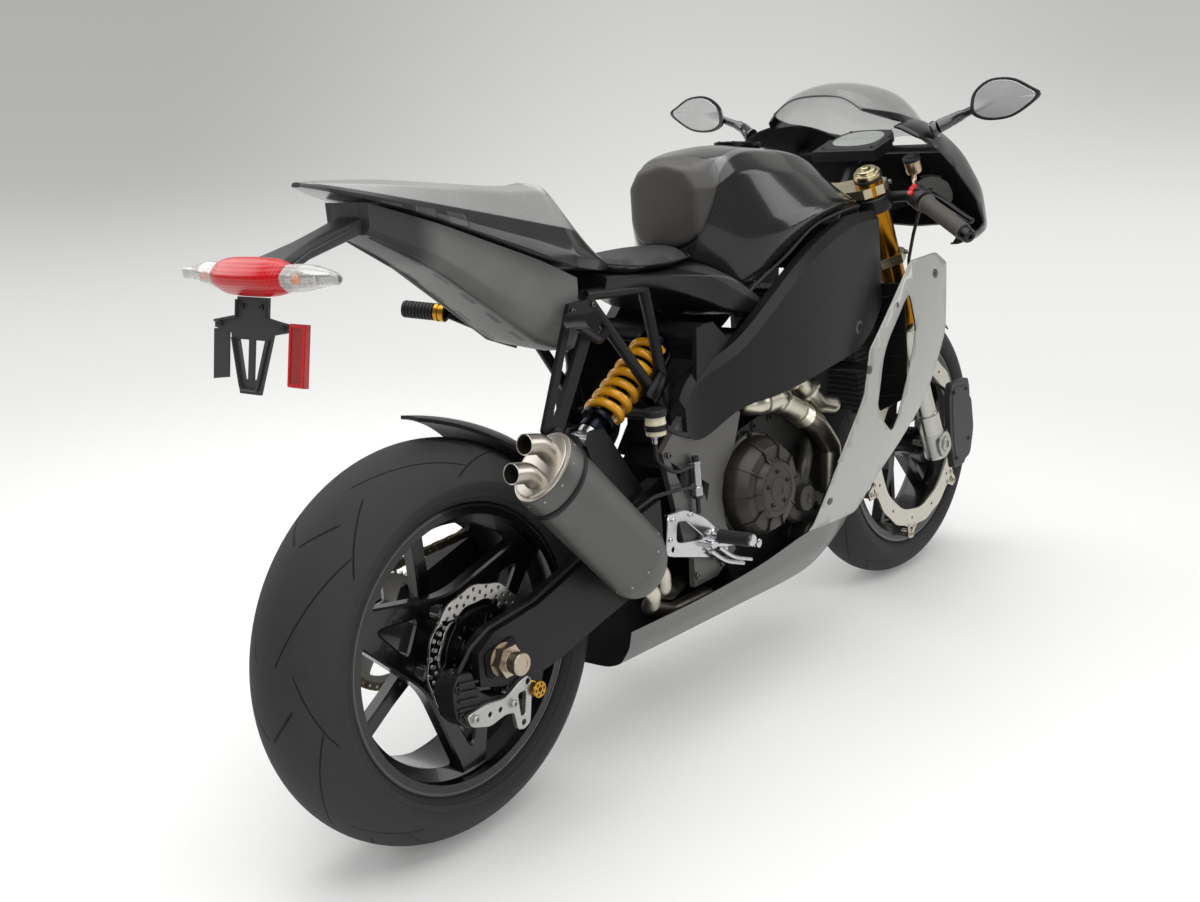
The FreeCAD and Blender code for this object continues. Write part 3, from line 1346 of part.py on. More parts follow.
SCREEN_STATIONS = [
    (1176, [(0, 1066), (60, 1060), (104, 1034)]),
    (1240, [(0, 1086), (96, 1064), (159.5, 1004)]),
    (1340, [(0, 1070), (88, 1052), (141.5, 998)]),
    (1450, [(0, 1014), (68, 998), (104.5, 954)]),
    (1520, [(0, 956), (40, 948), (65.5, 925)]),
]


def screen_opening(gap):
    """The cowl's opening for the screen, as an upright block, made narrower by a gap."""
    edge = [(1000, 160), (1240, 160), (1340, 142), (1450, 105), (1521 - gap, 66)]
    corners = [at(x, gap - width, 880) for x, width in edge]
    corners += [at(x, width - gap, 880) for x, width in reversed(edge)]
    return Part.Face(Part.makePolygon(corners + corners[:1])).extrude(Vector(0, 0, 240))


def make_upper_fairing():
    """The nose cowl: a hollow shell, open at the back, below and for the screen."""
    wall = float(panel_wall)
    outer = lofted(COWL_STATIONS)
    inner = lofted(shrunk(COWL_STATIONS, wall))
    shell = outer.cut(inner)
    rear = [(1060, 774), (1426, 774), (1398, 826), (1317, 906), (1206, 974), (1180, 1060), (1060, 1060)]
    rear_cut = plate_between(rear, -320, 320)
    under = [at(1000, -176, 700), at(1340, -206, 700), at(1560, -110, 700), at(1560, 110, 700),
             at(1340, 206, 700), at(1000, 176, 700)]
    under_cut = Part.Face(Part.makePolygon(under + under[:1])).extrude(Vector(0, 0, 62))
    lamps = []
    for side in SIDES:
        lamps.append(plate_between([(1556, 800), (1540, 850), (1640, 830), (1650, 800)],
                                   side * 34, side * 132))
    shell = shell.cut(rear_cut).cut(under_cut).cut(screen_opening(0))
    lenses = []
    for lamp in lamps:
        lens = shell.common(lamp)
        lenses.append(feature("headlight", lens))
    gap = float(seam)
    for side in SIDES:
        opening = plate_between([(1556 - gap, 800 - gap), (1540 - gap, 850 + gap), (1640, 830 + gap),
                                 (1650 + gap, 800 - gap)], side * (34 - gap), side * (132 + gap))
        shell = shell.cut(opening)
    keep(feature("upper_fairing", shell), "upper_fairing")
    keep(group("headlights", lenses), "headlights")


def make_screen():
    """The clear screen, a thin curved sheet."""
    wall = 3.0
    wires = []
    for x, half in SCREEN_STATIONS:
        top = [(-width, height) for width, height in reversed(half)] + \
              [(width, height) for width, height in half[1:]]
        outer = [at(x, width, height) for width, height in top]
        inner = [at(x, width * (1 - wall / 150), height - wall) for width, height in reversed(top)]
        ring = outer + inner
        wires.append(Part.makePolygon(ring + ring[:1]))
    sheet_shape = Part.makeLoft(wires, True, False).common(screen_opening(float(seam)))
    keep(feature("windscreen", sheet_shape), "windscreen")


def make_side_fairings():
    """The silver side panels with their tall vents, one on each side."""
    wall = float(panel_wall)
    skin = [
        (780, [(150, 190), (180, 300), (198, 420), (204, 560), (206, 760)]),
        (900, [(150, 190), (184, 300), (206, 420), (212, 560), (212, 760)]),
        (1050, [(136, 190), (176, 300), (210, 420), (220, 560), (216, 760)]),
        (1200, [(120, 190), (160, 300), (200, 420), (218, 560), (214, 760)]),
        (1340, [(90, 190), (140, 300), (180, 420), (200, 560), (204, 760)]),
    ]
    stations = []
    for x, outer in skin:
        inner = [(width - wall, height) for width, height in reversed(outer)]
        stations.append((x, outer + inner))
    slab = side_lofted(stations)
    outline = [(814, 294), (867, 389), (960, 513), (982, 597), (1054, 661), (1150, 742), (1258, 742),
               (1310, 714), (1296, 576), (1200, 450), (1052, 341), (975, 272), (800, 284)]
    vent = [(1134, 686), (1156, 602), (1123, 528), (1090, 454), (1063, 416), (1000, 470), (1030, 590)]
    left = slab.common(plate_between(outline, 60, 260)).cut(plate_between(vent, 60, 260))
    engine_side = float(engine_half) * CYLINDER_SHARE + 0.3
    post = Part.makeCylinder(9, 214.6 - engine_side, at(997, engine_side, 560), Y_AXIS)
    left = left.fuse(post).removeSplitter()
    keep(feature("side_fairing_left", left), "side_fairing_left")
    keep(feature("side_fairing_right", mirror_shape(left)), "side_fairing_right")


def make_belly_pan():
    """The open trough under the engine."""
    wall = float(panel_wall)
    stations = [
        (295, [(0, 181), (96, 183), (128, 194), (150, 226), (158, 258)]),
        (470, [(0, 178), (100, 180), (134, 192), (160, 226), (168, 259)]),
        (640, [(0, 174), (104, 177), (138, 190), (166, 230), (174, 266)]),
        (800, [(0, 164), (100, 168), (134, 184), (168, 236), (176, 282.4)]),
        (900, [(0, 158), (86, 164), (120, 182), (160, 230), (172, 275.2)]),
        (996, [(0, 158), (50, 164), (80, 184), (124, 224), (150, 268.4)]),
    ]

    def trough(inset):
        wires = []
        for x, half in stations:
            lifted = [(max(width - inset, 0), height + inset) for width, height in half[:-1]]
            rim_width, rim_height = half[-1]
            lifted.append((rim_width - inset, rim_height + (40 if inset else 0)))
            wires.append(section(x, mirrored_closed(lifted)))
        return Part.makeLoft(wires, True, False)

    def mirrored_closed(half):
        right = [(-width, height) for width, height in reversed(half)]
        left = [(width, height) for width, height in half if width > 0]
        return right + left

    shape = trough(0).cut(trough(wall))
    for x, y in ((700, 70), (850, 60)):
        for side in SIDES:
            foot = at(x, side * y, 172)
            shape = shape.fuse(Part.makeCylinder(9, at(x, 0, 206 + (x - 640) / 30).z - 0.3 - foot.z, foot))
    keep(feature("belly_pan", shape), "belly_pan")


def make_radiator():
    """The radiator behind the front wheel, with its tanks and the stays to the spars."""
    slope = Rotation(Y_AXIS, -8)
    half = 118.0
    tank = 22.0
    corner = at(1074, -half, 450)
    core = box("radiator_core", 34.0, half * 2, 250.0, corner, slope)
    tank_right = box("radiator_tank_right", 44.0, tank + 1, 262.0, corner + Vector(-5, -tank, -6), slope)
    tank_left = box("radiator_tank_left", 44.0, tank + 1, 262.0, corner + Vector(-5, half * 2 - 1, -6), slope)
    stays = []
    for side in SIDES:
        stays.append(rod("radiator_stay", 8, at(1052, side * (half + tank - 2), 672), at(1052, side * 152.6, 672)))
    keep(joined("radiator", [core, tank_right, tank_left] + stays), "radiator")


def make_mirrors():
    """Two teardrop mirrors on arms from the cowl."""
    outline = [(-70, -8), (-58, 22), (-22, 40), (24, 34), (58, 12), (76, -6), (50, -24), (10, -38),
               (-34, -36), (-62, -24)]

    def ring(depth, scale):
        points = [Vector(depth, width * scale, height * scale) for width, height in outline]
        curve = Part.BSplineCurve()
        curve.interpolate(points, True)
        return Part.Wire([curve.toShape()])

    head = Part.makeLoft([ring(0, 1), ring(12, 0.93), ring(22, 0.7), ring(27, 0.34)], True, False)
    head.Placement = Placement(at(1256, 362, 1037), Rotation(X_AXIS, 8))
    arm = tube_along([at(1258, 222, 988), at(1278, 256, 1004), at(1268, 330, 1030)], 9, 40)
    base = Part.makeCylinder(16, 10, at(1252, 213, 983), Vector(0.1, 0.93, 0.35))
    left = head.fuse(arm).fuse(base).cut(lofted(shrunk(COWL_STATIONS, -float(seat_gap))))
    shapes = [feature("mirror_left", left), feature("mirror_right", mirror_shape(left))]
    keep(group("mirrors", shapes), "mirrors")


def make_instruments():
    """The dash between the bars, on a stay from the head tube that also holds the cowl."""
    panel = box("dash_panel", 76.0, 150.0, 22.0, at(1268, -75, 925), Rotation(Y_AXIS, -14))
    root = steered(float(head_radius) + 6.2, 0, float(fork_length) - 110)
    knee = at(1310, 0, 926)
    post = rod("dash_post", 12, root, knee)
    rise = rod("dash_rise", 12, knee, at(1392, 0, 940))
    cross = Part.makeCylinder(9, 440, at(1392, -220, 936), Y_AXIS)
    trimmed = feature("dash_cross", cross.common(lofted(shrunk(COWL_STATIONS, float(panel_wall + seat_gap)))))
    keep(joined("instrument_panel", [panel, post, rise, trimmed]), "instrument_panel")


def make_rearsets():
    """Foot pegs on their carrier plates, with the brake and gear levers."""
    shapes = []
    for side in SIDES:
        near = float(plate_y + plate_thick) + 0.3
        outline = [(408, 352), (420, 424), (470, 420), (520, 392), (586, 330), (578, 302), (520, 316)]
        plate = plate_between(outline, side * near, side * (near + 12))
        window = plate_between([(438, 368), (444, 404), (470, 398), (520, 352)], side * (near - 1),
                               side * (near + 13))
        plate = plate.cut(window)
        peg = Part.makeCylinder(12, 84, at(540, side * (near + 10), 352), Vector(0.1, side, 0))
        lever = Part.makeCylinder(6, 120, at(520, side * (near + 22), 345), Vector(1, 0, -0.28))
        root = Part.makeCylinder(9, 24, at(520, side * (near + 6), 345), Vector(0, side, 0))
        pad_piece = Part.makeCylinder(8, 30, at(636, side * (near + 12), 312), Vector(0, side, 0))
        shape = plate.fuse(peg).fuse(lever).fuse(root).fuse(pad_piece).removeSplitter()
        shapes.append(feature("rearset", shape))
    keep(group("rearsets", shapes), "rearsets")


def stand_hinge():
    """The stand's pivot, its foot on the leaning bike's floor, and the pivot's axis."""
    lean = math.radians(float(lean_angle))
    hinge = Vector(at(stand_pivot_x, 0, 0).x, float(stand_pivot_y),
                   at(stand_pivot_x, 0, float(stand_pivot_z)).z)
    reach = float(stand_reach)
    ground = Vector(at(stand_foot_x, 0, 0).x, reach * math.cos(lean), reach * math.sin(lean))
    axis = (ground - hinge).cross(Vector(*STAND_FOLDED_WAY))
    axis.normalize()
    return hinge, ground, axis


def make_side_stand():
    """The stand on the left, its foot flat on the ground when the bike leans."""
    hinge, ground, hinge_axis = stand_hinge()
    lean = math.radians(float(lean_angle))
    up = Vector(0, -math.sin(lean), math.cos(lean))
    leg_end = ground + up * 6
    eye = Part.makeCylinder(15, 17, hinge - hinge_axis * 8.5, hinge_axis)
    way = leg_end - hinge
    length = way.Length
    way.normalize()
    leg = Part.makeCylinder(float(stand_radius), length - 17, hinge + way * 17, way)
    neck = Part.makeCylinder(8, 30, hinge, way)
    foot = Part.makeCylinder(float(foot_radius), 8, ground, up)
    shape = eye.fuse(neck).fuse(leg).fuse(foot).removeSplitter()
    keep(feature("side_stand", shape), "side_stand")


def check_states():
    """Stops the build where an object failed or a sub-part has no sound shape."""
    for item in document.Objects:
        if "Invalid" in item.State or "Error" in item.State:
            raise RuntimeError(f"{item.Label} did not build")
    broken = [piece.Label for piece, base in sub_parts
              if piece.Shape.isNull() or not piece.Shape.isValid()]
    if broken:
        raise RuntimeError(f"no valid shape: {broken}")


make_wheels()
make_sprocket()
make_chain()
make_swingarm()
make_rear_axle()
make_rear_caliper()
make_frame()
make_pivot_plates()
make_subframe()
make_exhaust()
make_engine()
make_clutch_cover()
make_shock()
make_reservoir()
make_bodywork()
make_tail_lamps()
make_guards()
make_fork()
make_front_caliper()
make_upper_fairing()
make_screen()
make_side_fairings()
make_belly_pan()
make_radiator()
make_mirrors()
make_instruments()
make_rearsets()
make_side_stand()
make_hoses()

document.recompute()
check_states()

# Every piece leans with the bike
lean_place = Placement(Vector(0, 0, 0), Rotation(X_AXIS, -float(lean_angle)))
whole = FreeCAD.BoundBox()
for piece, base in sub_parts:
    shape = piece.Shape.copy()
    shape.Placement = lean_place.multiply(base).multiply(piece.Placement) if base != Placement() \
        else lean_place.multiply(piece.Placement)
    whole.add(shape.optimalBoundingBox(False, False))
shift = Vector(-(whole.XMin + whole.XMax) / 2, -(whole.YMin + whole.YMax) / 2, -whole.ZMin)
print("shift", shift, "size", whole.XLength, whole.YLength, whole.ZLength)
stand_place = Placement(shift, Rotation()).multiply(lean_place)
for piece, base in sub_parts:
    piece.Placement = stand_place.multiply(base).multiply(piece.Placement)
document.recompute()

check_states()

os.makedirs("parts", exist_ok=True)
for piece, base in sub_parts:
    piece.Shape.exportStep(f"parts/{piece.Label}.step")
print("sub-parts", len(sub_parts))
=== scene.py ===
"""A sport bike on its side stand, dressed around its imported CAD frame."""
import math

import bmesh
import bpy
from mathutils import Matrix, Vector


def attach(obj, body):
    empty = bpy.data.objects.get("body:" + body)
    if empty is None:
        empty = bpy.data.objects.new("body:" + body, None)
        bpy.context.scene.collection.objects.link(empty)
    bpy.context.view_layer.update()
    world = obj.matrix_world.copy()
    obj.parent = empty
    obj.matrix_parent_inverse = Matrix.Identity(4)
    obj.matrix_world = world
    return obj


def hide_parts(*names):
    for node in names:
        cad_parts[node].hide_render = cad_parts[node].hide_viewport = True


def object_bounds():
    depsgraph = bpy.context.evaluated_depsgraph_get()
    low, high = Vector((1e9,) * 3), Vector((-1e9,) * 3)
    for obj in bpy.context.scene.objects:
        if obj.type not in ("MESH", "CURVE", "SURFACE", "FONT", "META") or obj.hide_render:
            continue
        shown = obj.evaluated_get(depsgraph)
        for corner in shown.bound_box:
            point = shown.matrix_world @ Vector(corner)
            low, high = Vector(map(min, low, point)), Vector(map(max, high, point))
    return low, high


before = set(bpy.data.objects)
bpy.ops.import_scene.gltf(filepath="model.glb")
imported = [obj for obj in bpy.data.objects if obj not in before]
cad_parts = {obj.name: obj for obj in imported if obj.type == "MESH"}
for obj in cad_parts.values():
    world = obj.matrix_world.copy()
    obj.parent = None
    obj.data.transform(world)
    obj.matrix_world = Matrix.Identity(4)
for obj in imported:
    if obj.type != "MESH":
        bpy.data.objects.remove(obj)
cad_low, cad_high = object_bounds()

# The bike is drawn upright in millimetres, then leaned on its stand
LEAN = math.radians(-6.5)
SHIFT = Vector((-0.6900, -0.1178157, 0.0006865))
RAKE = math.radians(21)
STEERING_FOOT = Vector((1373.86, 0, 289.97))
MILLIMETRES = Matrix.Scale(0.001, 4)
BIKE = Matrix.Translation(SHIFT) @ Matrix.Rotation(LEAN, 4, "X") @ MILLIMETRES
FORK = BIKE @ Matrix.Translation(STEERING_FOOT) @ Matrix.Rotation(-RAKE, 4, "Y")
REAR_AXLE = Vector((0, 0, 320))
FRONT_AXLE = Vector((1400, 0, 300))
X = Vector((1, 0, 0))
Y = Vector((0, 1, 0))
Z = Vector((0, 0, 1))


def wheel_place(axle, turn=0.0):
    """Drawn flat: x and y lie in the wheel's plane, z points to the bike's right."""
    return BIKE @ Matrix.Translation(axle) @ Matrix.Rotation(-turn, 4, "Y") @ Matrix.Rotation(math.pi / 2, 4, "X")


def light_of(level):
    level /= 255
    return level / 12.92 if level <= 0.04045 else ((level + 0.055) / 1.055) ** 2.4


def tint(red, green=None, blue=None):
    """A colour from its levels of 0 to 255; one level alone gives a grey."""
    levels = (red,) * 3 if green is None else (red, green, blue)
    return tuple(light_of(level) for level in levels) + (1.0,)


def shade(colour, share):
    return tuple(min(1.0, part * share) for part in colour[:3]) + (1.0,)


class Amount:
    """A number that changes over a surface, with ordinary arithmetic on it."""

    def __init__(self, finish, socket):
        self.finish = finish
        self.socket = socket

    def __add__(self, other):
        return self.finish.maths("ADD", self, other)

    __radd__ = __add__

    def __sub__(self, other):
        return self.finish.maths("SUBTRACT", self, other)

    def __rsub__(self, other):
        return self.finish.maths("SUBTRACT", other, self)

    def __mul__(self, other):
        return self.finish.maths("MULTIPLY", self, other)

    __rmul__ = __mul__

    def __truediv__(self, other):
        return self.finish.maths("DIVIDE", self, other)

    def __mod__(self, other):
        return self.finish.maths("FLOORED_MODULO", self, other)

    def __abs__(self):
        return self.finish.maths("ABSOLUTE", self)


class Finish:
    """One material in the making."""

    def __init__(self, name):
        self.material = bpy.data.materials.new(name)
        self.material.use_nodes = True
        self.tree = self.material.node_tree
        self.shader = self.tree.nodes["Principled BSDF"]
        self.output = self.tree.nodes["Material Output"]

    def feed(self, socket, value):
        if isinstance(value, Amount):
            self.tree.links.new(value.socket, socket)
        else:
            socket.default_value = value

    def node(self, kind, settings=None, sockets=None, output=0):
        made = self.tree.nodes.new(kind)
        for name, setting in (settings or {}).items():
            setattr(made, name, setting)
        for name, value in (sockets or {}).items():
            self.feed(made.inputs[name], value)
        return Amount(self, made.outputs[output])

    def maths(self, operation, first, second=0.0):
        return self.node("ShaderNodeMath", {"operation": operation}, {0: first, 1: second})

    def smooth(self, value, low, high):
        """0 below low and 1 above high, with a soft step between them."""
        return self.node("ShaderNodeMapRange", {"interpolation_type": "SMOOTHSTEP"},
                         {"Value": value, "From Min": low, "From Max": high})

    def band(self, value, middle, half, soft):
        """1 within half of the middle, fading to 0 over a soft edge."""
        return 1 - self.smooth(abs(value - middle), half - soft, half + soft)

    def mixed(self, share, first, second):
        return self.node("ShaderNodeMix", {"data_type": "RGBA"}, {0: share, 6: first, 7: second}, 2)

    def place(self, axle=None):
        """Where the surface is on the upright bike, in millimetres, or from an axle of it."""
        spot = self.node("ShaderNodeTexCoord", output="Object")
        spot = self.node("ShaderNodeMapping", {"vector_type": "TEXTURE"},
                         {"Vector": spot, "Location": SHIFT, "Rotation": (LEAN, 0, 0), "Scale": (0.001,) * 3})
        if axle is not None:
            spot = self.node("ShaderNodeMapping", {"vector_type": "TEXTURE"}, {"Vector": spot, "Location": axle})
        return spot

    def split(self, spot):
        return [self.node("ShaderNodeSeparateXYZ", sockets={"Vector": spot}, output=axis) for axis in range(3)]

    def noise(self, spot, grain, detail=2.0, rough=0.5, stretch=None):
        """Cloudy noise whose spots are about grain millimetres across."""
        if stretch:
            spot = self.node("ShaderNodeMapping", sockets={"Vector": spot, "Scale": stretch})
        return self.node("ShaderNodeTexNoise",
                         sockets={"Vector": spot, "Scale": 1 / grain, "Detail": detail, "Roughness": rough})

    def cells(self, spot, size, output="Distance"):
        return self.node("ShaderNodeTexVoronoi", sockets={"Vector": spot, "Scale": 1 / size}, output=output)

    def bump(self, height, depth):
        """depth is in metres for a height of 1."""
        return self.node("ShaderNodeBump", sockets={"Height": height, "Distance": depth, "Strength": 1.0})

    def done(self, **sockets):
        for name, value in sockets.items():
            self.feed(self.shader.inputs[name.replace("_", " ")], value)
        return self.material


def surface(name, axle=None):
    """A new finish, where its surface is, and the three parts of that place."""
    finish = Finish(name)
    spot = finish.place(axle)
    return (finish, spot, *finish.split(spot))


def lathe_rings(finish, spot, x, z, pitch, grain):
    """The cutter's rings round a wheel's axle, and cloudy wear."""
    reach = finish.maths("SQRT", x * x + z * z)
    return finish.maths("SINE", reach * (math.tau / pitch)), finish.noise(spot, grain, 4)


def painted(name, colour, rough=0.3, coat=0.0, metal=0.0, peel=0.00002, gloss=0.5):
    """Sprayed paint: faint clouds of tone and the ripple of its skin."""
    finish, spot, *_ = surface(name)
    clouds = finish.noise(spot, 90, 3)
    base = finish.mixed(clouds, shade(colour, 0.93), shade(colour, 1.07))
    dust = finish.noise(spot, 12, 5, 0.65)
    skin = finish.bump(finish.noise(spot, 3.2, 1), peel)
    return finish.done(Base_Color=base, Roughness=rough * 0.85 + dust * rough * 0.3, Metallic=metal, Normal=skin,
                       Coat_Weight=coat, Coat_Roughness=0.04, Specular_IOR_Level=gloss)


def cast(name, colour, rough=0.4, metal=0.85, grain=1.3, depth=0.00006):
    """Cast or blasted metal with a fine pitted skin."""
    finish, spot, *_ = surface(name)
    pits = finish.noise(spot, grain, 4, 0.7)
    clouds = finish.noise(spot, 38, 3)
    base = finish.mixed(clouds * 0.7 + pits * 0.3, shade(colour, 0.82), shade(colour, 1.15))
    return finish.done(Base_Color=base, Roughness=rough - 0.08 + clouds * 0.16, Metallic=metal,
                       Normal=finish.bump(pits, depth))


def moulded(name, colour, rough=0.5, grain=0.9, depth=0.00005, coat=0.0, gloss=0.4):
    """Moulded plastic with a fine stipple."""
    finish, spot, *_ = surface(name)
    stipple = finish.cells(spot, grain)
    clouds = finish.noise(spot, 60, 3)
    base = finish.mixed(clouds, shade(colour, 0.9), shade(colour, 1.1))
    return finish.done(Base_Color=base, Roughness=rough - 0.06 + clouds * 0.12,
                       Normal=finish.bump(stipple, depth), Coat_Weight=coat, Coat_Roughness=0.12,
                       Specular_IOR_Level=gloss)


def machined(name, colour, rough):
    """Bright machined metal with the fine lines of the cutter."""
    finish, spot, *_ = surface(name)
    lines = finish.noise(spot, 0.7, 2, stretch=(0.08, 0.08, 1.0))
    clouds = finish.noise(spot, 25, 4)
    base = finish.mixed(clouds, shade(colour, 0.88), shade(colour, 1.08))
    return finish.done(Base_Color=base, Roughness=rough * 0.7 + lines * rough * 0.6, Metallic=1.0,
                       Normal=finish.bump(lines, 0.000012))


def turned(name, colour, axle, rough):
    """Metal faced on a lathe, with rings round the wheel's axle."""
    finish, spot, x, y, z = surface(name, axle)
    rings, wear = lathe_rings(finish, spot, x, z, 1.1, 9)
    base = finish.mixed(wear * 0.7 + rings * 0.12, shade(colour, 0.85), shade(colour, 1.12))
    return finish.done(Base_Color=base, Roughness=rough - 0.05 + wear * 0.12, Metallic=1.0,
                       Normal=finish.bump(rings, 0.00001))


# Finishes of the bike's own surfaces
def tank_finish():
    """Deep gloss over dark weave: a satin rear face and the joint between it and the gloss, and a pale band along the
    crease that is a painted highlight.
    """
    finish, spot, x, y, z = surface("tank_gloss_over_weave")
    weave = finish.maths("SINE", (x + z) * (math.tau / 7)) * finish.maths("SINE", (x - z) * (math.tau / 7))
    clouds = finish.noise(spot, 70, 3)
    base = finish.mixed(clouds * 0.4 + weave * 0.25 + 0.3, tint(22), tint(40, 40, 39))
    back = 1 - finish.smooth(x - (z - 880) * 0.42, 664, 672)
    base = finish.mixed(back * 0.85, base, tint(70, 68, 66))
    joint = finish.band(x - (z - 880) * 0.42, 672, 1.6, 0.8)
    base = finish.mixed(joint, base, tint(8))
    # Painted highlight: a pale band along the top crease, where the crease catches the light.
    painted_crease_highlight = finish.band(abs(y) + (x - 735) * 0.07, 84, 7, 2)
    painted_crease_highlight = painted_crease_highlight * finish.smooth(z, 925, 940) * finish.smooth(x, 690, 720)
    base = finish.mixed(painted_crease_highlight * 0.55, base, tint(122, 122, 124))
    rough = 0.13 + clouds * 0.06 + back * 0.26
    skin = finish.bump(weave * 0.12 - joint * 3.0, 0.0003)
    return finish.done(Base_Color=base, Roughness=rough, Metallic=0.05, Normal=skin, Coat_Weight=0.4 - back * 0.35,
                       Coat_Roughness=0.05, Specular_IOR_Level=0.3)


def seat_side_finish():
    """Gloss grey side panel with a paler triangle, as painted."""
    finish, spot, x, y, z = surface("seat_side_gloss")
    clouds = finish.noise(spot, 60, 3)
    base = finish.mixed(clouds, tint(15), tint(22))
    pale = finish.smooth(x * 0.55 + z, 1128, 1131) * finish.smooth(x, 560, 563)
    pale = pale * (1 - finish.smooth(x * 0.2 + z, 936, 939))
    base = finish.mixed(pale * 0.6, base, tint(62, 62, 61))
    return finish.done(Base_Color=base, Roughness=0.3 + clouds * 0.08, Coat_Weight=0.12, Coat_Roughness=0.05,
                       Specular_IOR_Level=0.25, Normal=finish.bump(finish.noise(spot, 3, 1), 0.00002))


def tail_finish():
    """Silver-grey top over a black side band with its slots, split along the tail's crease."""
    finish, spot, x, y, z = surface("tail_silver_over_black")
    clouds = finish.noise(spot, 80, 3)
    sparkle = finish.smooth(finish.cells(spot, 0.9, output="Color"), 0.5, 0.95)
    silver = finish.mixed(clouds, tint(130, 130, 129), tint(148, 148, 147))
    silver = finish.mixed(sparkle * 0.2, silver, tint(212, 212, 211))
    black = finish.mixed(clouds, tint(30), tint(40))
    edge = z + x * 0.281 - 1008
    top = finish.smooth(edge, -0.6, 0.6)
    front = finish.smooth(x + z * 0.1, 404, 440)
    share = top * (1 - front * 0.9)
    base = finish.mixed(share, black, silver)
    slots = finish.band(x % 52, 26, 15, 1.5) * finish.band(edge, -18, 9, 1) * (1 - finish.smooth(x, 100, 104))
    slots = slots * (1 - top) * finish.smooth(x, -50, -45)
    base = finish.mixed(slots * 0.7, base, tint(62, 62, 63))
    seam = finish.band(edge, 0, 0.9, 0.5) * finish.smooth(x, -130, -120)
    return finish.done(Base_Color=finish.mixed(seam * 0.8, base, tint(16)),
                       Roughness=0.2 + share * 0.12 + clouds * 0.05, Metallic=share * 0.3, Coat_Weight=0.25,
                       Coat_Roughness=0.12, Specular_IOR_Level=0.35,
                       Normal=finish.bump(finish.noise(spot, 3, 1) * 0.05 - seam - slots, 0.0006))


def undertail_finish():
    finish, spot, x, y, z = surface("undertail_moulded_grey")
    stipple = finish.cells(spot, 1.0)
    clouds = finish.noise(spot, 60, 3)
    base = finish.mixed(clouds, tint(90, 90, 89), tint(108, 108, 107))
    low = 1 - finish.smooth(abs(y), 40, 60)
    along = finish.band(((x * 0.8 - z * 0.6) % 62) - 31, 0, 17, 2) * finish.band(abs(y), 34, 6, 1.5)
    base = finish.mixed(along * low * 0.85, base, tint(34, 34, 35))
    base = finish.mixed(1 - finish.smooth(x, 10, 60), base, tint(44))
    return finish.done(Base_Color=base, Roughness=0.4 + clouds * 0.12,
                       Normal=finish.bump(stipple * 0.1 - along * 0.8, 0.0005))


def cowl_finish(name, top, low, spread, black_to=0):
    """Silver satin paint over fine flake, graded in brightness by height from the low to the top colour as painted
    light and shade, black behind a given length.
    """
    finish, spot, x, y, z = surface(name)
    clouds = finish.noise(spot, 110, 3)
    sparkle = finish.smooth(finish.cells(spot, 0.8, output="Color"), 0.5, 0.95)
    # Painted light and shade: the colour runs from low to top with height, for how the lamps fall on the panel.
    base = finish.mixed(finish.smooth(z, *spread), low, top)
    base = finish.mixed(clouds * 0.15, base, shade(top, 1.25))
    base = finish.mixed(sparkle * 0.2, base, shade(top, 1.9))
    base = finish.mixed(1 - finish.smooth(x + z * 0.2, black_to + 180, black_to + 190), base, tint(18))
    dust = finish.noise(spot, 14, 5, 0.65)
    return finish.done(Base_Color=base, Roughness=0.32 + dust * 0.1, Metallic=0.4,
                       Normal=finish.bump(finish.noise(spot, 3.4, 1), 0.00002), Coat_Weight=0.35, Coat_Roughness=0.12)


def tyre_finish(name, axle, radius, half, angle, count):
    """Matte rubber: the sipes curve from the shoulder to the crown, coloured near black as painted shade in their
    grooves, rings near the rim, faint scuffing.
    """
    finish, spot, x, y, z = surface(name, axle)
    reach = finish.maths("SQRT", x * x + z * z)
    turn = finish.maths("ARCTAN2", z, x) * (count / math.tau)
    wide = abs(y) / half
    tread = finish.smooth(reach, radius * 0.8, radius * 0.84)
    sipes = None
    for shift, tilt, bend, start, end, thick in ((0.0, 0.55, 0.5, 0.2, 0.84, 0.016),
                                                 (0.46, -0.5, -0.35, 0.5, 0.94, 0.013),
                                                 (0.73, 0.3, 0.2, 0.04, 0.5, 0.014)):
        line = ((turn + angle + shift + wide * tilt + wide * wide * bend) % 1.0) - 0.5
        width = 1 - abs(wide - (start + end) / 2) / ((end - start) / 2)
        mark = (1 - finish.smooth(abs(line), thick * 0.5, thick)) * finish.smooth(width, 0.0, 0.12)
        sipes = mark if sipes is None else finish.maths("MAXIMUM", sipes, mark)
    sipes = sipes * tread
    rings = finish.band(reach, radius * 0.742, 0.8, 0.4) + finish.band(reach, radius * 0.775, 0.6, 0.4)
    scuff = finish.noise(spot, 26, 5, 0.7)
    grain = finish.cells(spot, 1.1)
    base = finish.mixed(scuff * 0.7 + tread * 0.3, tint(34), tint(54))
    # Painted shade: the sipes' grooves are coloured near black.
    base = finish.mixed(sipes, base, tint(9))
    base = finish.mixed(rings * 0.5, base, tint(24))
    height = grain * 0.05 + scuff * 0.05 - sipes * 1.2 + rings * 0.3
    return finish.done(Base_Color=base, Roughness=0.58 + scuff * 0.16 + tread * 0.06,
                       Normal=finish.bump(height, 0.0016), Specular_IOR_Level=0.3)


def ground_disc(name, colour, axle):
    """Bright brake steel, ground in rings, with a faint bronze cast from heat."""
    finish, spot, x, y, z = surface(name, axle)
    rings, wear = lathe_rings(finish, spot, x, z, 1.3, 12)
    base = finish.mixed(wear, shade(colour, 0.84), shade(colour, 1.1))
    base = finish.mixed(finish.smooth(wear, 0.5, 0.9) * 0.25, base, tint(168, 150, 126))
    return finish.done(Base_Color=base, Roughness=0.22 + wear * 0.16, Metallic=0.95,
                       Normal=finish.bump(rings, 0.000014))


